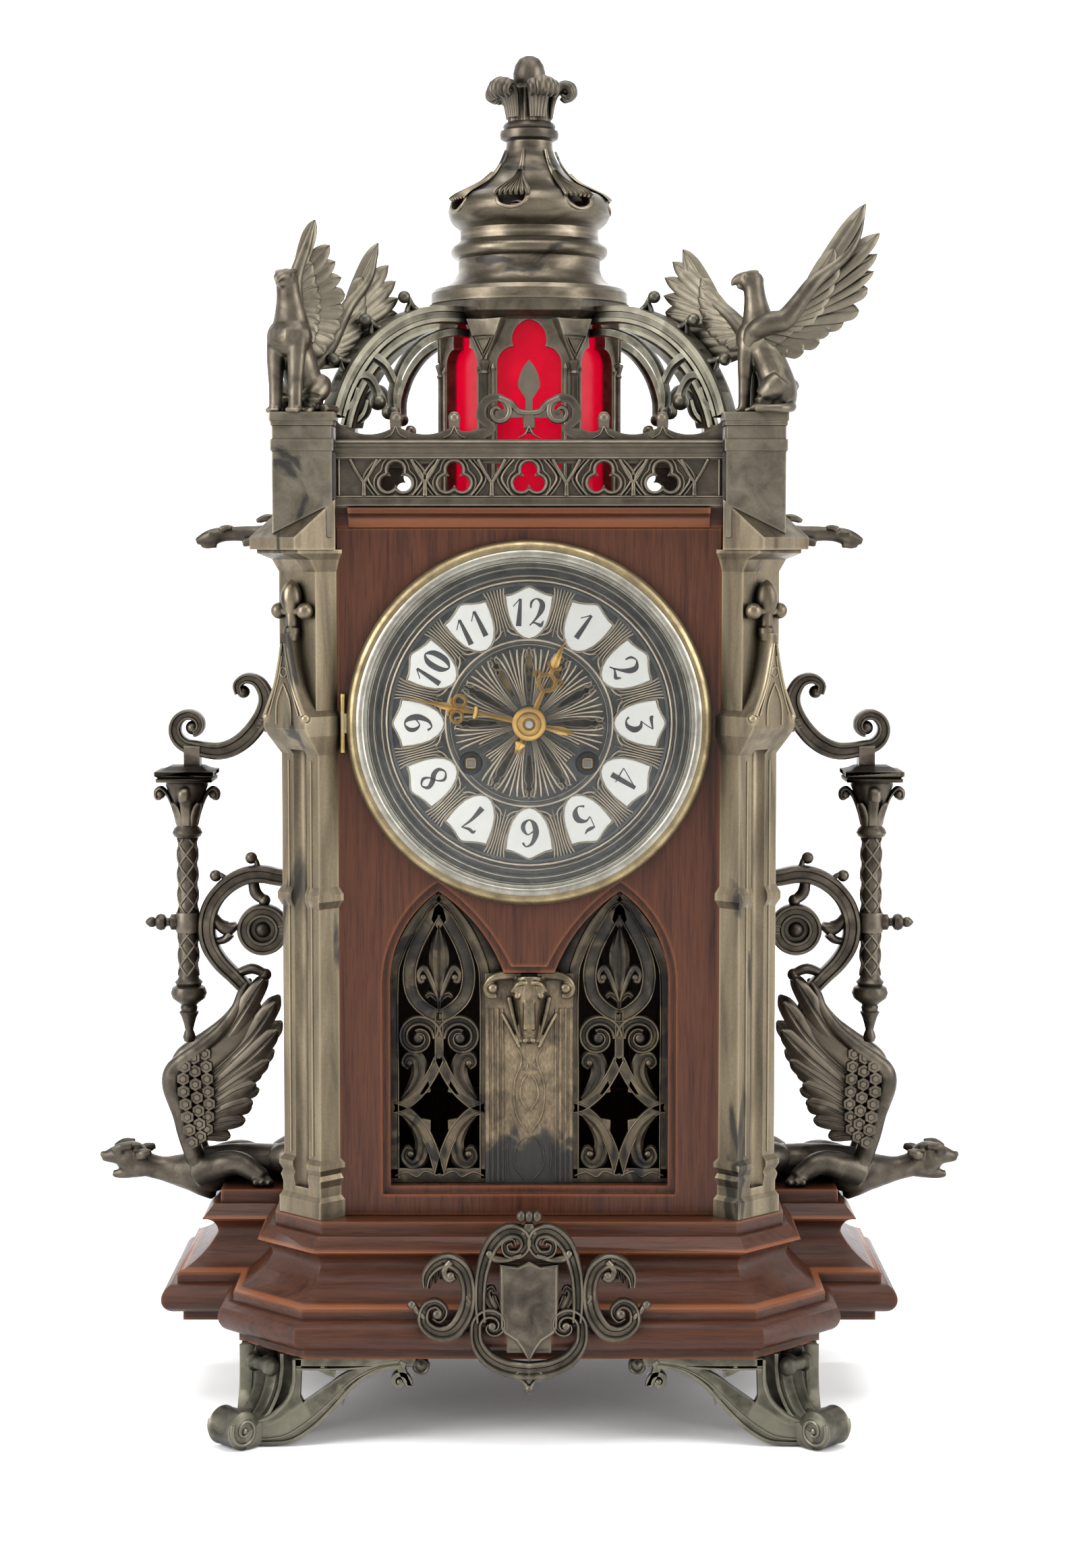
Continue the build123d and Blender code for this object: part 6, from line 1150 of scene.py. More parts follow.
SCALE_ROWS = [
    [(149.5, 143.4), (150.2, 138), (150, 132.4), (149.2, 126.8), (148.4, 121.2), (147.6, 115.6),
     (146.6, 110)],
    [(145.6, 147), (145.2, 141.2), (145, 135.4), (144.4, 129.6), (143.8, 123.8), (143.4, 118),
     (143, 112.4)],
    [(141, 148.6), (140.4, 143), (140, 137.6), (139.6, 132), (139.2, 126.6), (139.6, 121),
     (140.2, 115.6)],
]
PINION_SHARES = (0.6, 0.75, 0.85, 0.95, 1.0, 1.0, 0.9, 0.7, 0.2)


def gargoyle(name, flip, node):
    """Outstretched beast with open jaws and bent wings, drawn on the right and mirrored for the left."""
    beast = Cast(flip)
    beast.tube([(98, 0, 97, 7.5), (112, 0, 97.5, 8.0), (128, 0, 97, 8.8), (140, 0, 94.4, 10.2),
                (149, 0, 93.4, 8.8), (156, 0, 93.8, 6.8), (162, 0, 94.6, 5.4), (167, 0, 95.8, 5.3),
                (172, 0, 97.6, 5.8)])
    beast.ball((175.4, 0, 99.6), 7.2, (1.08, 0.9, 1.0))
    beast.tube([(178, 0, 101.0, 5.4), (182.6, 0, 100.6, 4.1), (186.4, 0, 100.0, 2.7),
                (188.6, 0, 99.8, 1.8)])
    beast.tube([(172, 0, 95.4, 5.0), (177.5, 0, 93.2, 3.2), (181.6, 0, 92.2, 2.1), (184, 0, 92.4, 1.4)])
    beast.ball((188.2, 0, 100.9), 1.7, (0.8, 1.3, 0.9))
    beast.tube([(146, 0, 90, 7.4), (142, 0, 85, 4.4), (139.6, 0, 81.4, 1.4)])
    beast.flank_tube([(172.6, 5.6, 101.4, 1.8), (169.4, 6.8, 102.4, 2.4), (165.8, 7.2, 103.2, 1.2)])
    beast.flank_tube([(174.6, 5.2, 105.4, 1.5), (179.4, 5.4, 105.4, 1.7), (183.4, 3.6, 103.6, 1.1)])
    beast.flank_tube([(146, 6.6, 94, 6.2), (135, 10.5, 98.2, 6.0), (126.5, 13, 99.4, 5.2),
                      (119.6, 16, 96, 4.4), (115.6, 18.4, 93.6, 3.6)])
    for toe in (-2.4, 0, 2.4):
        beast.flank_tube([(116.6 + toe, 18.4, 93.6, 1.9), (115.2 + 1.3 * toe, 22.2, 92.4, 1.7)])
    beast.flank_tube([(110, 5, 99, 7.0), (104, 9, 101, 7.2), (101, 11, 95, 4.6), (107, 13, 92.8, 2.6)])
    beast.flank_tube(WING_BONE)
    for side in (1, -1):
        beast.ball((180.0, side * 4.6, 102.6), 1.7)
        web = [(x - 6.5, side * 0.92 * y, z - 3, 5.0, 2.2) for x, y, z, r in WING_BONE[2:9]]
        beast.sweep(web, ROUND, (0, 1, 0), 5)
    beast.tube([(100, 0, 102, 4), (104, 0, 112, 3.2), (101, 0, 121, 2.8), (98, 0, 126, 2.6)])
    beast.build(name + "_body", DARK, slot="dark_bronze", nodes=(node,), remesh=0.6, soften=3)


def gargoyle_plumes(name, flip):
    """Long feathers of the bent wings, and three rows of six-sided scales on each."""
    plumes = Cast(flip)
    for side in (1, -1):
        for start, mid, tip, half in PINIONS:
            ends = [(p[0], -side * p[1], p[2]) for p in (start, mid, tip)]
            stations = []
            for spot, wide in zip(smooth(ends, 4), PINION_SHARES):
                stations.append((*spot, half * wide, 1.6))
            plumes.sweep(stations, FEATHER, (0, side, 0), 3)
    for mirror in (Matrix.Identity(4), MIRROR_Y):
        for shift, row in enumerate(SCALE_ROWS):
            plumes.place = flip @ mirror @ front_plane(0.9 * shift - 19.2)
            for x, z in row:
                plumes.slab([(x + 3.25 * a, z + 3.25 * b) for a, b in HEXAGON], -2.5, 0.7, 0.4)
                plumes.slab([(x + 1.7 * a, z + 1.7 * b) for a, b in HEXAGON], 0.4, 1.1, 0.4)
    plumes.build(name + "_plumes", DARK, slot="dark_bronze")


def waterspouts():
    """Small beasts' heads on long necks under the eaves."""
    spouts = Cast()
    for flip in (Matrix.Identity(4), MIRROR_X):
        spouts.place = flip
        spouts.tube([(95, 0, 376, 6.6), (104, 0, 374.6, 6.0), (114, 0, 373, 4.6), (124, 0, 373.6, 3.4),
                     (132, 0, 373.4, 3.2), (137, 0, 372.4, 3.6), (141, 0, 371.4, 2.8),
                     (144.6, 0, 370.2, 1.4)])
        spouts.tube([(136, 0, 369.6, 2.2), (140, 0, 368.6, 1.5), (142.4, 0, 368.4, 0.8)])
        spouts.flank_tube([(133.6, 2.6, 375.4, 1.7), (130.4, 3.6, 376.4, 1.2), (128.4, 4, 376, 0.5)])
        spouts.flank_tube([(112, 3.5, 372, 3.0), (119, 5.4, 370.6, 2.0), (124, 5.6, 369.4, 1.6)])
        spouts.flank_tube([(108, 3, 378, 2.2), (113, 5, 380.5, 1.8), (118, 5.6, 379, 1.0)])
        for side in (1, -1):
            spouts.ball((138.4, side * 2.6, 373.8), 1.0)
    spouts.build("waterspout_beasts", DARK, nodes=("waterspouts",), remesh=0.45, soften=3)


# Scrolls and torches at the sides
EYE_CENTRE = (116.8, 200.8)
VOLUTE_CENTRE = (147.4, 289.6)
TORCH_X = 149.6
SCROLL_STRAP = [(96.5, 223.0, 3.2), (108.4, 223.6, 3.5), (117.2, 225.2, 3.7), (125.1, 224.2, 3.8),
                (132.9, 219.6, 3.8), (138.8, 212.4, 3.8), (141.4, 203.5, 3.8), (140.3, 194.5, 3.7),
                (135.8, 186.6, 3.5), (129.0, 179.6, 3.2), (123.1, 172.7, 2.8), (119.6, 165.0, 1.8)]
TORCH_PROFILE = [(0.2, 150.6), (2.2, 151.2), (2.9, 153.2), (2.3, 155.2), (1.8, 156.4), (2.4, 159),
                 (3.3, 162), (4.4, 164.2), (3.5, 165), (3.9, 166.4), (3.4, 167.4), (4.8, 168.6),
                 (7.2, 170.4), (8.0, 172.8), (7.2, 175.2), (5.4, 176.2), (6.2, 177.6), (4.8, 179),
                 (4.3, 180.4), (4.3, 241), (5.8, 241.8), (6.7, 243.4), (5.9, 245.2), (4.7, 246.4),
                 (4.5, 250), (5.2, 254), (6.6, 258), (8.4, 262), (9.4, 264.4), (9.0, 266), (2, 266.4)]
TORCH_BAND = [(5.3, 199.6), (5.6, 200.6), (5.6, 207.4), (5.3, 208.4)]
TORCH_TOP = [(0.1, 266), (17.0, 266.2), (17.4, 267.6), (16.2, 268.2), (18.1, 269.0), (18.1, 270.8),
             (14, 271.4), (10, 272.9), (0.1, 273)]
TORCH_BOLT = [(2.6, 4), (3.6, 5.4), (3.6, 7.4), (1.9, 8.2), (1.9, 9.4), (3.4, 10.4), (3.8, 12), (3.2, 13.6),
              (1.8, 14.4), (2.4, 15.4), (2.2, 17), (1.0, 18.4), (0.1, 18.9)]
BOLT_HEIGHT = 204.0
LATTICE_RADIUS = 4.35
LATTICE_LOW = 180.6
LATTICE_LENGTH = 60.4
LATTICE_TURNS = 1.7


def side_scroll(name, flip, node):
    """Broad strap that curls round an eye and runs out over the wing, and the arm that holds the torch."""
    cast = Cast(flip @ front_plane(0))
    cast.bar(SCROLL_STRAP, 4.6)
    ex, ez = EYE_CENTRE
    cast.bar(circle(8.2, 3.0, 16, ex, ez), 4.4, GROOVED, True)
    cast.ball((ex, ez, 0), 3.8, (1, 1, 1.3))
    cast.slab([(ex + 7.0 * a, ez + 7.0 * b) for a, b in arc_section(25, 0, 360)[:-1]], -1.8, 1.8, 0.3)
    cast.bar([(ex, ez, 2.2), (ex - 5, ez, 1.8), (ex - 8, ez, 1.6)], 1.8, ROUND)
    cast.bar([(96, ez + 1, 2.8), (103, ez + 1, 2.6), (ex - 7, ez, 2.4)], 3.8)
    cast.bar([(139.4, 209.0, 1.6), (136.4, 203.6, 2.6), (132.2, 201.2, 3.3), (128.4, 202.8, 1.6)], 3.6,
             ROUND)
    cast.bar([(138.8, 195.4, 1.4), (134.0, 196.2, 1.9), (131.0, 199.0, 2.2)], 3.0, ROUND)
    cast.bar([(121.0, 223.0, 2.2), (120.0, 217.0, 2.7), (116.4, 213.8, 2.2)], 3.2, ROUND)
    cast.bar([(129.0, 181.0, 1.8), (122.0, 183.4, 2.4), (116.8, 181.6, 2.0)], 3.4, ROUND)
    for spot in ((116.2, 213.6), (116.0, 180.8)):
        cast.ball((*spot, 0), 2.8, (1, 1, 1.2))
    crocket(cast, 119.0, 226.6, 0.1, 2.7)
    crocket(cast, 131.8, 221.6, 0.75, 2.7)
    vx, vz = VOLUTE_CENTRE
    arm = spiral((vx, vz), 2.8, 8.6, 250, -90, 16, (1.6, 3.0))
    arm += [(135, vz - 10.4, 3.7), (125, vz - 6, 4.0), (117.4, vz + 3, 3.8), (114.6, vz + 12, 3.3),
            (117.6, vz + 19.4, 2.7), (123, vz + 21.4, 2.3), (127, vz + 18.6, 2.0), (126.4, vz + 14.6, 1.8)]
    cast.bar(arm, 4.6)
    cast.ball((vx - 0.6, vz - 0.2, 0), 3.2, (1, 1, 1.5))
    cast.ball((124.6, vz + 15.4, 0), 2.9, (1, 1, 1.4))
    cast.bar([(96, vz - 3, 3.6), (106, vz - 1.6, 3.4), (118, vz + 2, 2.6)], 4.2)
    cast.bar([(vx - 4, vz - 13.8, 6.0), (vx + 3, vz - 13.8, 6.0)], 5.0, BEAM)
    cast.build(name, DARK, slot="dark_bronze", nodes=(node,))


def lattice(cast):
    """Eight strands that cross round the shaft."""
    for turn in (1, -1):
        for k in range(4):
            strand = []
            for s in range(25):
                t = s / 24
                angle = turn * (2 * math.pi * LATTICE_TURNS * t) + k * math.pi / 2
                x, y = LATTICE_RADIUS * math.cos(angle), LATTICE_RADIUS * math.sin(angle)
                strand.append((x, y, LATTICE_LOW + LATTICE_LENGTH * t, 0.55))
            cast.tube(strand, 2)


def torch(name, flip, node):
    """Inverted torch: ball tip, bell, lattice shaft, leaf capital, square top, and a bolt at its middle."""
    place = flip @ Matrix.Translation((TORCH_X, 0, 0))
    cast = Cast(place)
    cast.lathe(TORCH_PROFILE, 28)
    cast.lathe(TORCH_BAND, 28)
    lattice(cast)
    for k in range(4):
        quarter = place @ turned(90 * k)
        diagonal = place @ turned(90 * k + 45)
        cast.place = diagonal
        cast.lathe(TORCH_TOP, 4)
        cast.place = quarter @ front_plane(0)
        cast.sweep([(4.2, 247, 0, 0.8, 2.2), (5.6, 253, 0, 0.9, 2.4), (8, 259.4, 0, 1.0, 2.6),
                    (11, 262.8, 0, 1.2, 2.6), (13.4, 261.4, 0, 1.2, 2.4), (13.2, 258.6, 0, 1.0, 2.2),
                    (11.4, 258.6, 0, 0.9, 2.2)], ROUND)
        cast.ball((11.6, 260.2, 0), 2.2, (1, 1, 1.2))
        cast.place = diagonal @ front_plane(0)
        cast.sweep([(4.2, 246.6, 0, 0.5, 1.6), (5.4, 251, 0, 0.8, 2.4), (7, 255, 0, 0.9, 2.2),
                    (8.2, 257, 0, 0.7, 1.2)], ROUND)
    cast.place = place @ Matrix.Translation((0, 0, BOLT_HEIGHT)) @ turned(90, "Y")
    cast.lathe(TORCH_BOLT, 20)
    cast.build(name, DARK, slot="dark_bronze", nodes=(node,))


gryphons()
waterspouts()
for name, flip in (("left", MIRROR_X), ("right", Matrix.Identity(4))):
    gargoyle("gargoyle_" + name, flip, "gargoyle_" + name)
    gargoyle_plumes("gargoyle_" + name, flip)
    side_scroll("scroll_" + name, flip, "side_scroll_" + name)
    torch("lattice_torch_" + name, flip, "torch_" + name)


# Window tracery
SILL = Z_FLOOR + 12.0
LANCET_AXIS = 37.6
GRILLE_FACE = -65.4
GRILLE_DEPTH = 1.6
LANCET_EDGE = [(-19.0, 2.0), (-19.0, 40.0), (-19.0, 84.0), (-16.8, 96.0), (-12.0, 106.5), (-6.2, 114.5),
               (0, 120.6)]
LANCET_FILLET = [(5.0, 119.5, 1.0), (12.4, 110.8, 2.2), (18.4, 101.0, 2.8), (23.0, 91.5, 3.4),
                 (24.4, 86.0, 3.4)]
MANDORLA = [(0, 115.5), (-5.6, 107.5), (-10.2, 98.0), (-12.4, 88.5), (-11.0, 79.5), (-6.0, 73.6), (0, 70.8)]
OGEES = ([(0, 52.5), (3.4, 45.5), (8.2, 38.4), (14.6, 33.0), (18.6, 31.8)],
         [(18.6, 31.8), (13.4, 29.6), (7.2, 23.0), (2.8, 14.0), (0, 4.0)])
CUSPS = ([(8.4, 37.2), (4.6, 43.4), (3.6, 38.6)], [(8.0, 27.4), (3.8, 21.4), (3.6, 26.6)])
CURLED_LEAVES = (
    [(15.6, 35.6, 0.9), (10.8, 40.5, 2.9), (8.2, 46.4, 3.6), (9.4, 52.4, 3.2), (12.8, 53.8, 2.4),
     (14.6, 50.8, 1.8), (12.6, 48.6, 1.1)],
    [(15.0, 28.6, 0.9), (9.8, 24.0, 2.7), (6.8, 17.4, 3.5), (8.0, 10.2, 3.3), (11.6, 7.8, 2.6),
     (14.6, 10.8, 2.2), (13.4, 14.4, 1.7), (11.2, 13.4, 1.0)],
)


def edged(cast, points, half, rise, closed=False):
    """Flat bar with a thin raised line along each edge."""
    cast.band([(x, y, half) for x, y in points], GRILLE_DEPTH, FLAT, 0.0, 5, closed)
    rail = smooth(points, 5, closed)
    count = len(rail)
    for side in (-1, 1):
        line = []
        for i, here in enumerate(rail):
            after = rail[(i + 1) % count] if closed else rail[min(i + 1, count - 1)]
            before = rail[i - 1] if closed else rail[max(i - 1, 0)]
            normal = (after - before).orthogonal().normalized()
            spot = here + normal * (side * (half - 0.35))
            line.append((spot.x, spot.y, 0.4))
        cast.band(line, rise, ROLL, GRILLE_DEPTH - 0.2, 1, closed)


def lily(cast):
    """Lily in the mandorla: a long leaf, two curls and two small leaves."""
    cast.band([(0, 72, 0.9), (0, 79, 1.5), (0, 88, 3.6), (0, 96, 4.2), (0, 103, 2.6), (0, 108.5, 0.3)], 2.4,
              LEAF, 0.4)
    cast.twin_band([(0, 77, 1.0), (2.6, 84, 1.4), (6.0, 90.5, 1.6), (8.6, 88.4, 1.4), (8.0, 85.0, 1.2),
                    (6.2, 85.6, 1.0)], 2.0, ROLL, 0.3)
    cast.twin_band([(0, 76.5, 1.0), (3.4, 79.6, 1.5), (5.4, 78.4, 1.0)], 1.8, LEAF, 0.3)
    cast.twin_ball((6.6, 86.8, 1.2), 1.5)


def lancet_tracery(cast):
    """One lancet: border, mandorla with a lily, scroll arches, crossed ogee bars and curled leaves."""
    for line in pair(LANCET_EDGE):
        edged(cast, line, 2.2, 0.8)
    cast.twin_band(LANCET_FILLET, 1.2, FLAT)
    edged(cast, both_sides(MANDORLA), 2.9, 0.9, True)
    lily(cast)
    cast.slab([(-20.2, 0), (20.2, 0), (20.2, 6.2), (-20.2, 6.2)], 0, GRILLE_DEPTH, 0.3)
    cast.slab([(-3.4, 111.0), (0, 106.5), (3.4, 111.0), (0, 123.0)], 0, GRILLE_DEPTH, 0.3)
    edged(cast, [(0, 72.0), (0, 64.0), (0, 52.0)], 1.9, 0.7)
    cast.twin_band(spiral((8.8, 61.5), 8.3, 2.4, 180, -290, 20, (2.5, 1.2)), GRILLE_DEPTH + 0.7, GROOVE,
                   0.0, 3)
    cast.twin_ball((8.6, 61.2, 1.0), 2.3, (1, 1, 0.8))
    for ogee in OGEES:
        for line in pair(ogee):
            edged(cast, line, 2.3, 0.8)
    for cusp in CUSPS:
        for outline in pair(cusp):
            cast.slab(outline, 0, GRILLE_DEPTH)
    for leaf in CURLED_LEAVES:
        cast.twin_band(leaf, 2.4, LEAF, 0.3)
    cast.twin_ball((12.4, 50.8, 1.2), 1.5)
    cast.twin_ball((12.2, 12.2, 1.2), 1.7)
    cast.twin_band([(1.0, 3.0, 0.5), (6.0, 5.0, 0.6), (9.4, 2.6, 0.5), (14.0, 4.6, 0.6), (18.6, 3.0, 0.5)],
                   0.9, ROLL, GRILLE_DEPTH - 0.2, 4)


def tracery():
    """Pierced metal in both lancets of the window."""
    cast = Cast()
    for axis in (-LANCET_AXIS, LANCET_AXIS):
        cast.place = front_plane(GRILLE_FACE, axis, SILL)
        lancet_tracery(cast)
    cast.build("window_tracery", SOOTY, nodes=("window_grille",))


# Panel with the ram's head
MASK_HALF = 18.4
MASK_TOP = 88.6
PANEL_RISE = 2.6
PANEL_FLUTES = ((17.4, 0.8), (15.2, 0.6), (13.0, 0.7), (11.0, 0.5))


def ram_panel():
    """Fluted panel under the wooden tongue, with a vase in low relief."""
    panel = Cast(front_plane(GRILLE_FACE, 0, SILL))
    face = PANEL_RISE - 0.1
    panel.slab([(-MASK_HALF, 0), (MASK_HALF, 0), (MASK_HALF, MASK_TOP), (-MASK_HALF, MASK_TOP)], -1.4,
               PANEL_RISE, 0.3)
    for x, half in PANEL_FLUTES:
        panel.twin_band([(x, 1.0, half), (x, 74.0, half)], 0.7, ROLL, face, 1)
    panel.twin_band([(1.0, 22, 0.4), (5.6, 30, 0.5), (6.2, 42, 0.5), (3.2, 52, 0.5), (5.4, 58, 0.4)], 0.7,
                    ROLL, face)
    panel.twin_band([(0.6, 31, 0.4), (3.6, 36, 0.6), (3.2, 42, 0.5), (1.0, 46, 0.4)], 0.7, ROLL, face)
    panel.twin_band([(2.0, 2, 0.3), (6.2, 8, 0.4), (5.2, 16, 0.4), (1.6, 20, 0.3)], 0.6, ROLL, face)
    panel.twin_band([(8.6, 3, 0.3), (9.2, 12, 0.4), (8.4, 20, 0.3)], 0.6, ROLL, face)
    panel.twin_band(spiral((2.6, 49.6), 2.4, 0.5, 90, 450, 9, (0.4, 0.3)), 0.7, ROLL, face, 3)
    panel.build("ram_panel", WORN, nodes=("ram_mask",))


def ram_head():
    """Long face with brows, eyes and nostrils, beard strands, and horns that end in volutes."""
    head = Cast(front_plane(GRILLE_FACE, 0, SILL))
    head.tube([(0, 87, 4.0, 6.2), (0, 81.5, 5.2, 6.4), (0, 75, 5.6, 5.2), (0, 68.5, 5.6, 4.3),
               (0, 63.6, 5.2, 3.6), (0, 60.6, 4.6, 2.4)])
    head.ball((0, 62.2, 7.6), 3.0, (1.1, 0.85, 0.9))
    head.twin_ball((4.3, 83.0, 8.6), 3.0, (1.0, 1.15, 0.9))
    head.twin_ball((4.9, 80.4, 10.4), 1.5)
    head.twin_tube([(1.5, 85.8, 10.2, 1.1), (4.4, 85.4, 11.0, 1.0), (7.2, 82.0, 8.8, 0.9)])
    head.twin_tube([(1.4, 78.0, 10.6, 1.0), (1.5, 72.0, 9.9, 0.9), (1.8, 66.0, 9.0, 0.8)])
    head.twin_ball((1.7, 61.6, 9.8), 1.2)
    head.twin_tube([(8.2, 79.0, 4.0, 1.3), (7.0, 73.0, 4.4, 1.2), (5.2, 66.0, 4.2, 1.0),
                    (3.4, 60.0, 3.8, 0.8)])
    head.twin_tube([(11.4, 72.0, 3.0, 0.8), (8.0, 66.0, 3.2, 0.9), (4.0, 57.6, 3.0, 0.8)])
    head.twin_tube([(3.6, 88.0, 4.2, 2.2), (9.6, 88.2, 4.6, 2.2), (15.4, 86.8, 4.6, 1.7),
                    (18.2, 83.0, 4.2, 1.2), (16.8, 79.4, 4.0, 1.1), (13.4, 79.4, 4.0, 1.0)], 6)
    head.twin_ball((15.1, 82.8, 5.0), 2.5)
    head.build("ram_head", RAM, remesh=0.32, soften=2)


# Cartouche on the plinth
CARTOUCHE_FACE = -110.4
STRAP_SWELL = 1.3
STRAP = [(-19.4, 55.0, 1.7), (-19.9, 65.0, 1.9), (-18.9, 76.0, 2.1), (-15.2, 86.4, 2.4), (-9.2, 92.0, 2.5),
         (-3.4, 91.6, 2.2), (-1.3, 87.2, 1.9), (-4.0, 83.2, 1.6), (-8.8, 83.6, 1.4), (-9.8, 87.2, 1.2),
         (-6.9, 88.6, 1.0), (-6.1, 86.8, 0.8)]
SIDE_SCROLL = [(-41.9, 69.4, 0.8), (-41.3, 74.4, 1.6), (-37.2, 79.0, 2.1), (-31.6, 80.0, 2.4),
               (-26.4, 75.8, 2.4), (-24.4, 67.5, 2.4), (-25.9, 58.2, 2.6), (-31.0, 51.2, 2.6),
               (-37.6, 50.4, 2.4), (-42.6, 54.6, 2.0), (-42.0, 60.6, 1.7), (-37.8, 62.7, 1.6),
               (-34.5, 59.6, 1.4), (-36.2, 56.2, 1.1), (-38.6, 57.4, 0.8)]
SHIELD_HALF = [(0, 80.0), (4.6, 78.0), (11.8, 78.8), (11.8, 53.0), (10.4, 50.4), (5.4, 47.2), (2.6, 43.4),
               (0, 38.6)]


def swollen(stations):
    """Stations of the strapwork at their full width."""
    return [(x, y, STRAP_SWELL * w) for x, y, w in stations]


def cartouche():
    """Bare shield in an oval strapwork frame, with a knob, two C-scrolls and a drop."""
    cast = Cast(front_plane(CARTOUCHE_FACE))
    shield = both_sides(SHIELD_HALF)
    cast.slab(shield, 0, 2.6, 0.3)
    cast.slab([(-9, 42), (9, 42), (9, 79), (-9, 79)], -22, 0.2)
    cast.band([(x * 0.93, 60 + (y - 60) * 0.955, 0.55) for x, y in shield], 0.6, ROLL, 2.5, 1, True)
    cast.twin_band(swollen(STRAP), 3.0, GROOVE, 0.2)
    cast.twin_band(swollen([(3.0, 82.6, 1.0), (9.0, 80.8, 1.3), (14.0, 81.2, 1.5), (16.4, 82.8, 1.3)]), 2.6,
                   ROLL, 0.4)
    cast.twin_ball((16.2, 83.2, 1.6), 1.7)
    curl = spiral((-15.0, 53.4), 0.9, 6.6, -200, 185, 16, (0.9, 1.9))
    curl += [(-21.0, 46.0, 2.1), (-16.4, 39.6, 2.4), (-8.6, 35.8, 2.6), (0, 34.6, 2.7)]
    cast.twin_band(swollen(curl), 3.0, GROOVE, 0.2, 4)
    cast.twin_ball((15.0, 53.4, 2.0), 1.9)
    cast.twin_band(swollen([(13.2, 59.0, 1.0), (15.6, 62.6, 1.7), (17.0, 66.8, 1.5), (15.2, 69.0, 1.1),
                            (14.0, 67.2, 0.8)]), 2.6, LEAF, 0.2)
    cast.twin_band(swollen([(12.4, 61.0, 0.8), (14.0, 64.4, 1.1), (14.2, 66.0, 0.7)]), 2.2, LEAF, 0.2)
    cast.twin_band(swollen(SIDE_SCROLL), 2.8, GROOVE, 0.2, 4)
    cast.twin_ball((37.2, 58.4, 1.8), 2.2)
    cast.twin_band(swollen([(31.6, 80.0, 1.4), (34.4, 76.2, 1.4), (32.6, 72.6, 1.5), (30.2, 73.8, 1.2)]),
                   2.8, ROLL, 0.3)
    cast.twin_ball((31.8, 74.2, 1.8), 1.9)
    for x, y in ((37.8, 73.8), (40.2, 71.6), (35.6, 75.4)):
        cast.twin_band([(x - 0.8, y + 4.2, 0.9), (x, y, 1.1), (x + 0.2, y - 2.8, 0.5)], 2.6, LEAF, 0.2, 4)
    cast.twin_band(swollen([(42.4, 56.6, 1.2), (45.4, 59.6, 1.0), (47.0, 62.0, 1.0)]), 2.2, ROLL, 0.4)
    cast.twin_ball((47.6, 62.2, 1.4), 1.9)
    cast.twin_band(swollen([(22.4, 62.0, 1.0), (24.6, 64.0, 1.2), (25.4, 66.0, 1.0)]), 1.8, ROLL, 0.2)
    cast.twin_band(swollen([(5.4, 34.0, 1.1), (3.0, 31.0, 0.9), (0.6, 27.8, 0.8)]), 2.2, ROLL, 0.2)
    cast.ball((0, 27.2, 1.2), 1.9, (1, 1.1, 1))
    cast.slab([(-3.4, 91.0), (3.4, 91.0), (1.6, 95.8), (-1.6, 95.8)], 0.0, 2.4, 0.3)
    for x in (-3.2, 0, 3.2):
        cast.ball((x, 98.4, 1.6), 2.6, (0.8, 1.0, 0.9))
    cast.build("cartouche_relief", DARK, nodes=("cartouche",))


# Feet
FOOT_ROOT = 131.7
TOE = (157.6, 8.3)
BRACKET = [(-16.0, 4.6, 3.4), (-9.0, 4.4, 4.0), (-2.0, 4.9, 4.6), (4.0, 6.6, 5.4), (11.5, 11.4, 5.6),
           (18.5, 17.0, 4.9), (24.5, 22.4, 4.0), (29.5, 27.0, 3.2), (35.5, 30.8, 2.4), (42.5, 33.6, 1.8),
           (51.0, 34.8, 1.6)]
CHEEK_RAIL = [(8.2, 36.4), (8.2, 27.0), (6.6, 21.4), (3.8, 17.2), (-1.6, 12.6), (-8.0, 10.2)]
CHEEK_FOOT = [(-14.0, 9.0), (-15.6, 5.0), (-13.6, 1.4), (-8.6, 0.6), (-3.0, 1.2), (4.0, 4.2), (9.5, 8.6),
              (14.5, 13.0), (10.8, 20.7), (11.4, 36.4)]
CHEEK = [(x - 0.6, y + 0.2) for x, y in CHEEK_RAIL] + CHEEK_FOOT
FACE_BRACKET = (104.5, 98.5, 0)
FLANK_BRACKET = (118.0, 85.0, 0)
TOE_ROLL = [(0.1, -7.4), (7.2, -7.4), (8.0, -6.8), (7.7, -5.6), (8.0, 0), (7.7, 5.6), (8.0, 6.8),
            (7.2, 7.4), (0.1, 7.4)]
SPINDLE = [(0.1, -8.4), (2.6, -8.0), (3.9, -6.6), (3.9, -4.4), (2.7, -3.2), (2.6, 0), (2.7, 3.2),
           (3.9, 4.4), (3.9, 6.6), (2.6, 8.0), (0.1, 8.4)]
ROSETTE = [(0.1, -2.8), (3.6, -2.6), (3.6, 1.8), (3.0, 2.6), (2.3, 2.0), (1.6, 2.4), (0.9, 3.2), (0.1, 3.4)]
BRACKET_CURL = (51.4, 27.0)
FLUTED = [(1, -1), (1, 0.9), (0.86, 1.05), (0.74, 0.75), (0.52, 0.35), (0.4, 0.62), (0.26, 0.3), (0, 0.12),
          (-0.26, 0.3), (-0.4, 0.62), (-0.52, 0.35), (-0.74, 0.75), (-0.86, 1.05), (-1, 0.9), (-1, -1)]


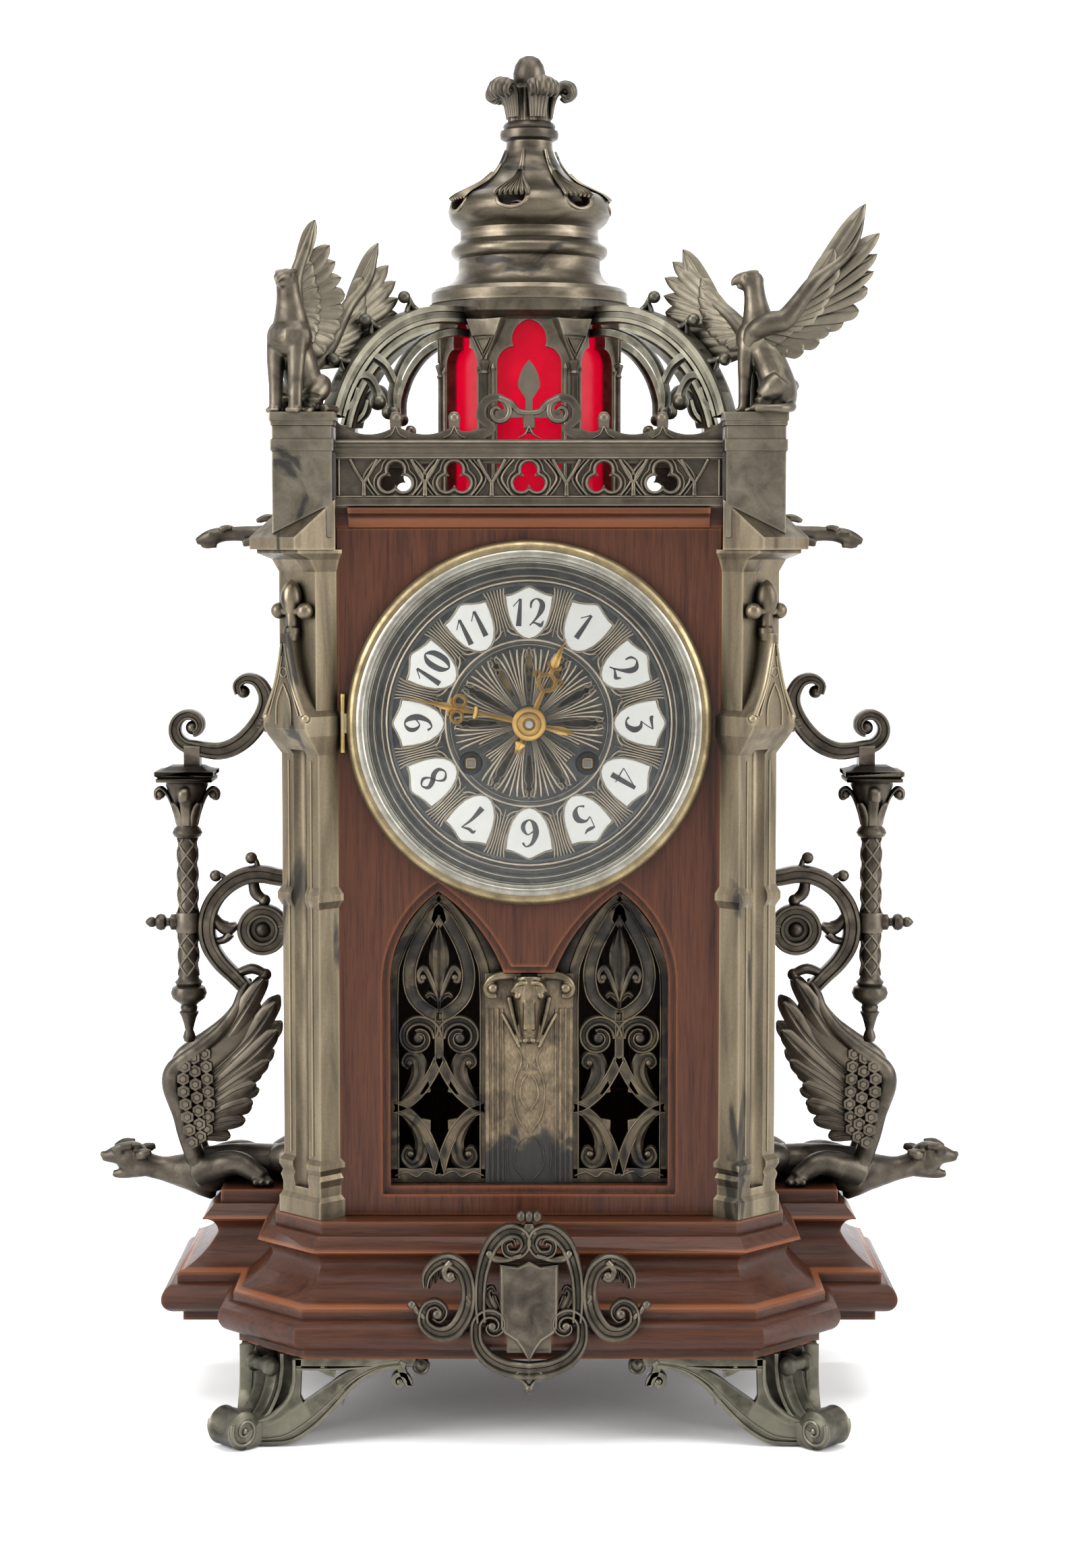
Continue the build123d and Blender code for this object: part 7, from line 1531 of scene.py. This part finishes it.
def bracket(cast):
    """Pierced bracket, drawn from the leg inward: moulded arm, rail, post, curl and rosette."""
    cast.bar(BRACKET, 2.3, BEAM)
    cast.bar([(x + 0.62 * w, y - 0.72 * w, 0.9) for x, y, w in BRACKET], 3.0, BEAM)
    cast.bar([(x + 0.2 * w, y - 0.3 * w, 0.4) for x, y, w in BRACKET], 2.7, BEAM)
    cast.bar([(8.0, 35.2, 1.9), (30, 35.2, 1.9), (58, 35.2, 1.9)], 2.2, BEAM)
    cast.bar([(9.0, 32.4, 0.5), (26, 32.4, 0.5), (40, 33.2, 0.5)], 2.6, BEAM)
    cast.slab(CHEEK, -2.2, 2.2, 0.3)
    cast.bar([(x, y, 0.7) for x, y in CHEEK_RAIL], 2.9, BEAM)
    cast.slab([(24.6, 20.8), (28.2, 17.2), (29.6, 23.4), (27.0, 26.0)], -2.4, 2.4, 0.3)
    cast.bar([(19.0, 33.0, 1.6), (22.0, 31.0, 1.2), (25.0, 30.4, 1.6)], 2.2, BEAM)
    x, y = BRACKET_CURL
    curl = spiral((x, y), 1.0, 4.2, 360, -20, 14, (0.8, 1.3))
    cast.bar([*curl, (x + 0.8, 32.4, 1.8), (x + 1.8, 35.4, 1.6)], 2.6, BEAM, False, 3)
    cast.ball((x, y, 0), 2.0, (1, 1, 1.5))
    kept = cast.place
    cast.place = kept @ Matrix.Translation((60.2, 33.6, 0))
    cast.lathe(ROSETTE, 20)
    cast.place = kept


def foot(name, flip):
    """Diagonal scroll leg with a fluted face and a rolled toe, and a pierced bracket along each side."""
    outward = flip @ Matrix.Translation((BUTTRESS_SKEW, -BUTTRESS_SKEW, 0)) @ turned(45)
    level = turned(90, "X")
    cast = Cast(outward)
    leg = [(FOOT_ROOT + 1.5, 0, 36.8, 9.0, 5.6), (FOOT_ROOT + 2.0, 0, 28.0, 8.8, 5.2),
           (FOOT_ROOT + 4.4, 0, 19.0, 8.4, 4.8), (FOOT_ROOT + 10.6, 0, 10.0, 7.9, 4.4),
           (FOOT_ROOT + 19.4, 0, 5.2, 7.6, 4.2), (TOE[0], 0, 4.4, 7.5, 3.8)]
    cast.sweep(leg, FLUTED, (1, 0, 0.5), 6)
    cast.sweep([(FOOT_ROOT + 1, 0, 34.4, 3.0, 2.0), (FOOT_ROOT + 6, 0, 33.6, 2.8, 2.0),
                (FOOT_ROOT + 10.4, 0, 32.0, 2.4, 2.0)], ROUND)
    cast.place = outward @ Matrix.Translation((TOE[0], 0, TOE[1])) @ level
    cast.lathe(TOE_ROLL, 30)
    for side in (-1, 1):
        coil = spiral((0, 0), 7.0, 1.2, 30, 30 - 560, 26, (1.1, 0.7))
        cast.sweep([(x, y, side * 7.2, w, 1.0) for x, y, w in coil], ROUND, (0, 0, 1), 3)
        cast.ball((0, 0, side * 7.4), 1.5, (1, 1, 0.6))
    cast.place = outward @ Matrix.Translation((FOOT_ROOT + 10.4, 0, 31.8)) @ level
    cast.lathe(SPINDLE, 20)
    cast.place = flip @ Matrix.Translation(FACE_BRACKET) @ Matrix.Diagonal((-1, -1, 1, 1)) @ front_plane(0)
    bracket(cast)
    cast.place = flip @ Matrix.Translation(FLANK_BRACKET) @ turned(-90) @ front_plane(0)
    bracket(cast)
    cast.build(name + "_cast", PEWTER, nodes=(name,))


# Hands and bezel
HOUR_ANGLE = 23.5
MINUTE_ANGLE = 282.0
HAND_RISE = 0.8
BEZEL_SEGMENTS = 120


def hour_hand():
    """Gilt hand with a pierced ring, two curls and a spear tip."""
    back = Y_DIAL - corners("hour_hand")[1].y
    hand = Cast(clock_turn(HOUR_ANGLE))
    hand.band([(0, -13.4, 0.5), (0, -10.4, 1.5), (0, -8, 0.7), (0, 0, 0.9)], HAND_RISE, RIDGE, back, 4)
    hand.band([(0, -11.8, 0.5), (0, -9.0, 2.2), (0, -8.4, 0.5)], 0.7, FLAT, back, 4)
    hand.band([(0, 0, 1.1), (0, 10, 1.0), (0, 15.5, 0.8)], HAND_RISE, RIDGE, back, 1)
    ring = [(0, 14.6, 0.8), (3.0, 16.4, 0.9), (3.4, 19.4, 0.9), (1.2, 21.4, 0.8), (0, 21.6, 0.8)]
    hand.twin_band(ring, HAND_RISE, RIDGE, back, 5)
    hand.twin_band(spiral((5.2, 19.6), 2.3, 0.6, 250, -80, 10, (0.7, 0.5)), HAND_RISE, RIDGE, back, 3)
    hand.twin_band([(0, 24.4, 0.6), (2.2, 25.2, 0.6), (2.8, 26.8, 0.4)], HAND_RISE, RIDGE, back, 4)
    spear = [(0, 21.0, 1.5), (0, 24.0, 0.9), (0, 27.0, 1.7), (0, 31.0, 1.1), (0, 37.8, 0.15)]
    hand.band(spear, HAND_RISE, RIDGE, back, 4)
    hand.lathe([(0.1, back), (6.2, back), (6.4, back + 0.5), (5.6, back + 1.0), (0.1, back + 1.1)], 32)
    hand.build("hour_pointer", GILT, "hour_train", "brass", ("hour_hand",))


def minute_hand():
    """Gilt hand with a crossbar, two rings and a long spear tip."""
    back = Y_DIAL - corners("minute_hand")[1].y
    hand = Cast(clock_turn(MINUTE_ANGLE))
    hand.band([(0, -18.6, 0.4), (0, -14.0, 1.6), (0, -8, 1.0), (0, 0, 1.0)], HAND_RISE, RIDGE, back, 4)
    hand.band([(0, 0, 1.2), (0, 12, 1.0), (0, 22, 0.7)], HAND_RISE, RIDGE, back, 1)
    hand.band([(-2.5, 22.6, 0.8), (0, 22.2, 1.1), (2.5, 22.6, 0.8)], HAND_RISE, ROLL, back, 3)
    hand.band([(0, 21, 1.0), (0, 24, 0.7), (0, 27.2, 1.0), (0, 30.0, 0.7)], HAND_RISE, RIDGE, back, 4)
    hand.twin_band(circle(2.4, 0.7, 14, 3.3, 29.6), HAND_RISE, RIDGE, back, 1, True)
    hand.twin_band([(0, 31.6, 0.8), (1.8, 33.2, 0.8), (3.6, 33.0, 0.6)], HAND_RISE, RIDGE, back, 4)
    spear = [(0, 30, 1.0), (0, 34.0, 1.5), (0, 37.4, 1.2), (0, 40, 0.7), (0, 52, 0.15)]
    hand.band(spear, HAND_RISE, RIDGE, back, 4)
    hand.lathe([(0.1, back), (4.8, back), (4.8, back + 0.7), (0.1, back + 0.8)], 28)
    hand.build("minute_pointer", GILT, "minute_train", "brass", ("minute_hand",))


def hand_nut():
    """Stepped nut over both hands."""
    low = Y_DIAL - corners("hand_nut")[1].y
    nut = Cast(DIAL_PLANE)
    steps = [(0.1, 0), (6.8, 0), (7.0, 0.6), (6.2, 1.2), (5.0, 1.3), (4.8, 2.2), (3.9, 2.8), (2.6, 2.9),
             (2.4, 2.2), (1.5, 2.2), (1.5, 3.6), (0.1, 3.7)]
    nut.lathe([(radius, low + height) for radius, height in steps], 36)
    nut.build("stepped_nut", GILT, "minute_train", "brass", ("hand_nut",))


def bezel():
    """Silvered slope with its rings and steps."""
    low, high = corners("bezel_ring")
    outer = (high.x - low.x) / 2
    rise = high.y - low.y
    ring = Cast(front_plane(high.y, 0, Z_DIAL))
    slope = [(0, 0.6), (0.7, 0.1), (1.9, -0.2), (2.9, 0.3), (3.2, 1.0), (3.8, 1.1), (4.3, 1.0), (4.6, 1.6),
             (5.1, 1.7), (5.4, 2.3), (6.9, 3.4), (7.3, 3.3), (7.7, 3.7), (8.0, 4.2)]
    profile = [(outer - 8.0, 0), (outer, 0)] + [(outer - inward, rise - down) for inward, down in slope]
    rings = []
    for a, b in arc_section(BEZEL_SEGMENTS + 1, 0, 360)[:-1]:
        rings.append([(r * a, r * b, h) for r, h in profile])
    ring.rings(rings, True)
    ring.build("bezel_slope", BEZEL, "bezel", "silvered_dial", ("bezel_ring",))


tracery()
ram_panel()
ram_head()
cartouche()
for name, sx, sy in (("foot_front_left", -1, -1), ("foot_front_right", 1, -1), ("foot_rear_left", -1, 1),
                     ("foot_rear_right", 1, 1)):
    foot(name, Matrix.Diagonal((sx, sy, 1, 1)))
hour_hand()
minute_hand()
hand_nut()
bezel()


# Small rounded edges on the plain solids that stay
for node in ("plinth_base", "plinth_cavetto", "plinth_top_board", "front_panel", "case_cornice",
             "case_side_left", "case_side_right", "corner_pedestals", "back_door"):
    round_off(NODES[node], EDGE_WIDTH)


# Stage, light and camera
STAGE_RADIUS = 3000.0
STAGE_BEND = 800.0
STAGE_TOP = 2600.0
STAGE_SEGMENTS = 96
STAGE_STEPS = 12


def stage():
    """Round pale floor that curves up into a wall on all sides."""
    flat = STAGE_RADIUS - STAGE_BEND
    profile = [(1.0, 0.0), (1200.0, 0.0), (flat, 0.0)]
    for k in range(1, STAGE_STEPS + 1):
        angle = math.radians(90 * k / STAGE_STEPS)
        profile.append((flat + STAGE_BEND * math.sin(angle), STAGE_BEND - STAGE_BEND * math.cos(angle)))
    profile.append((STAGE_RADIUS, STAGE_TOP))
    verts = []
    for radius, height in profile:
        for a, b in arc_section(STAGE_SEGMENTS + 1, 0, 360)[:-1]:
            verts.append(Vector((radius * a, radius * b, height)) * MM)
    faces = [list(range(STAGE_SEGMENTS))]
    for i in range(len(profile) - 1):
        here, there = i * STAGE_SEGMENTS, (i + 1) * STAGE_SEGMENTS
        for k in range(STAGE_SEGMENTS):
            n = (k + 1) % STAGE_SEGMENTS
            faces.append([here + k, there + k, there + n, here + n])
    mesh = bpy.data.meshes.new("stage")
    mesh.from_pydata(verts, [], faces)
    for face in mesh.polygons:
        face.use_smooth = True
    floor = bpy.data.objects.new("stage", mesh)
    bpy.context.collection.objects.link(floor)
    paper = Finish("paper")
    paper.set(Base_Color=(0.9, 0.9, 0.9, 1), Roughness=0.85)
    mesh.materials.append(paper.material)


def softbox(name, at, aim, width, height, power):
    """Large even lamp that points at a spot."""
    lamp = bpy.data.lights.new(name, "AREA")
    lamp.shape = "RECTANGLE"
    lamp.size = width * MM
    lamp.size_y = height * MM
    lamp.energy = power
    holder = bpy.data.objects.new(name, lamp)
    holder.location = Vector(at) * MM
    holder.rotation_euler = (Vector(aim) - Vector(at)).to_track_quat("-Z", "Y").to_euler()
    bpy.context.collection.objects.link(holder)


def light():
    """Softboxes at both sides and above, lamps that wash the wall, and an even grey surround."""
    middle = (0, 0, 270)
    back_wall = (0, 3000, 700)
    front_wall = (0, -3000, 700)
    softbox("left", (-1500, -900, 900), middle, 900, 1500, 42)
    softbox("right", (1500, -700, 800), middle, 900, 1500, 30)
    softbox("top", (0, -350, 1800), middle, 1600, 1200, 34)
    softbox("back_wall", (0, 1300, 2500), back_wall, 2400, 800, 90)
    softbox("front_wall", (0, -1500, 2500), front_wall, 2400, 800, 9)
    world = bpy.data.worlds.new("surround")
    world.use_nodes = True
    ground = world.node_tree.nodes["Background"]
    ground.inputs["Color"].default_value = (0.9, 0.88, 0.86, 1)
    ground.inputs["Strength"].default_value = 0.14
    bpy.context.scene.world = world


def camera():
    """Camera at the viewing angle of the photo."""
    lens = bpy.data.cameras.new("camera")
    lens.sensor_width = SENSOR
    lens.lens = FOCAL_PIXELS / PHOTO_HEIGHT * SENSOR
    lens.clip_end = 20.0
    holder = bpy.data.objects.new("camera", lens)
    holder.location = Vector(CAMERA_AT) * MM
    holder.rotation_euler = (math.radians(90 - CAMERA_PITCH), 0, 0)
    bpy.context.collection.objects.link(holder)
    bpy.context.scene.camera = holder


stage()
light()
camera()
bpy.context.scene.view_settings.view_transform = "Standard"
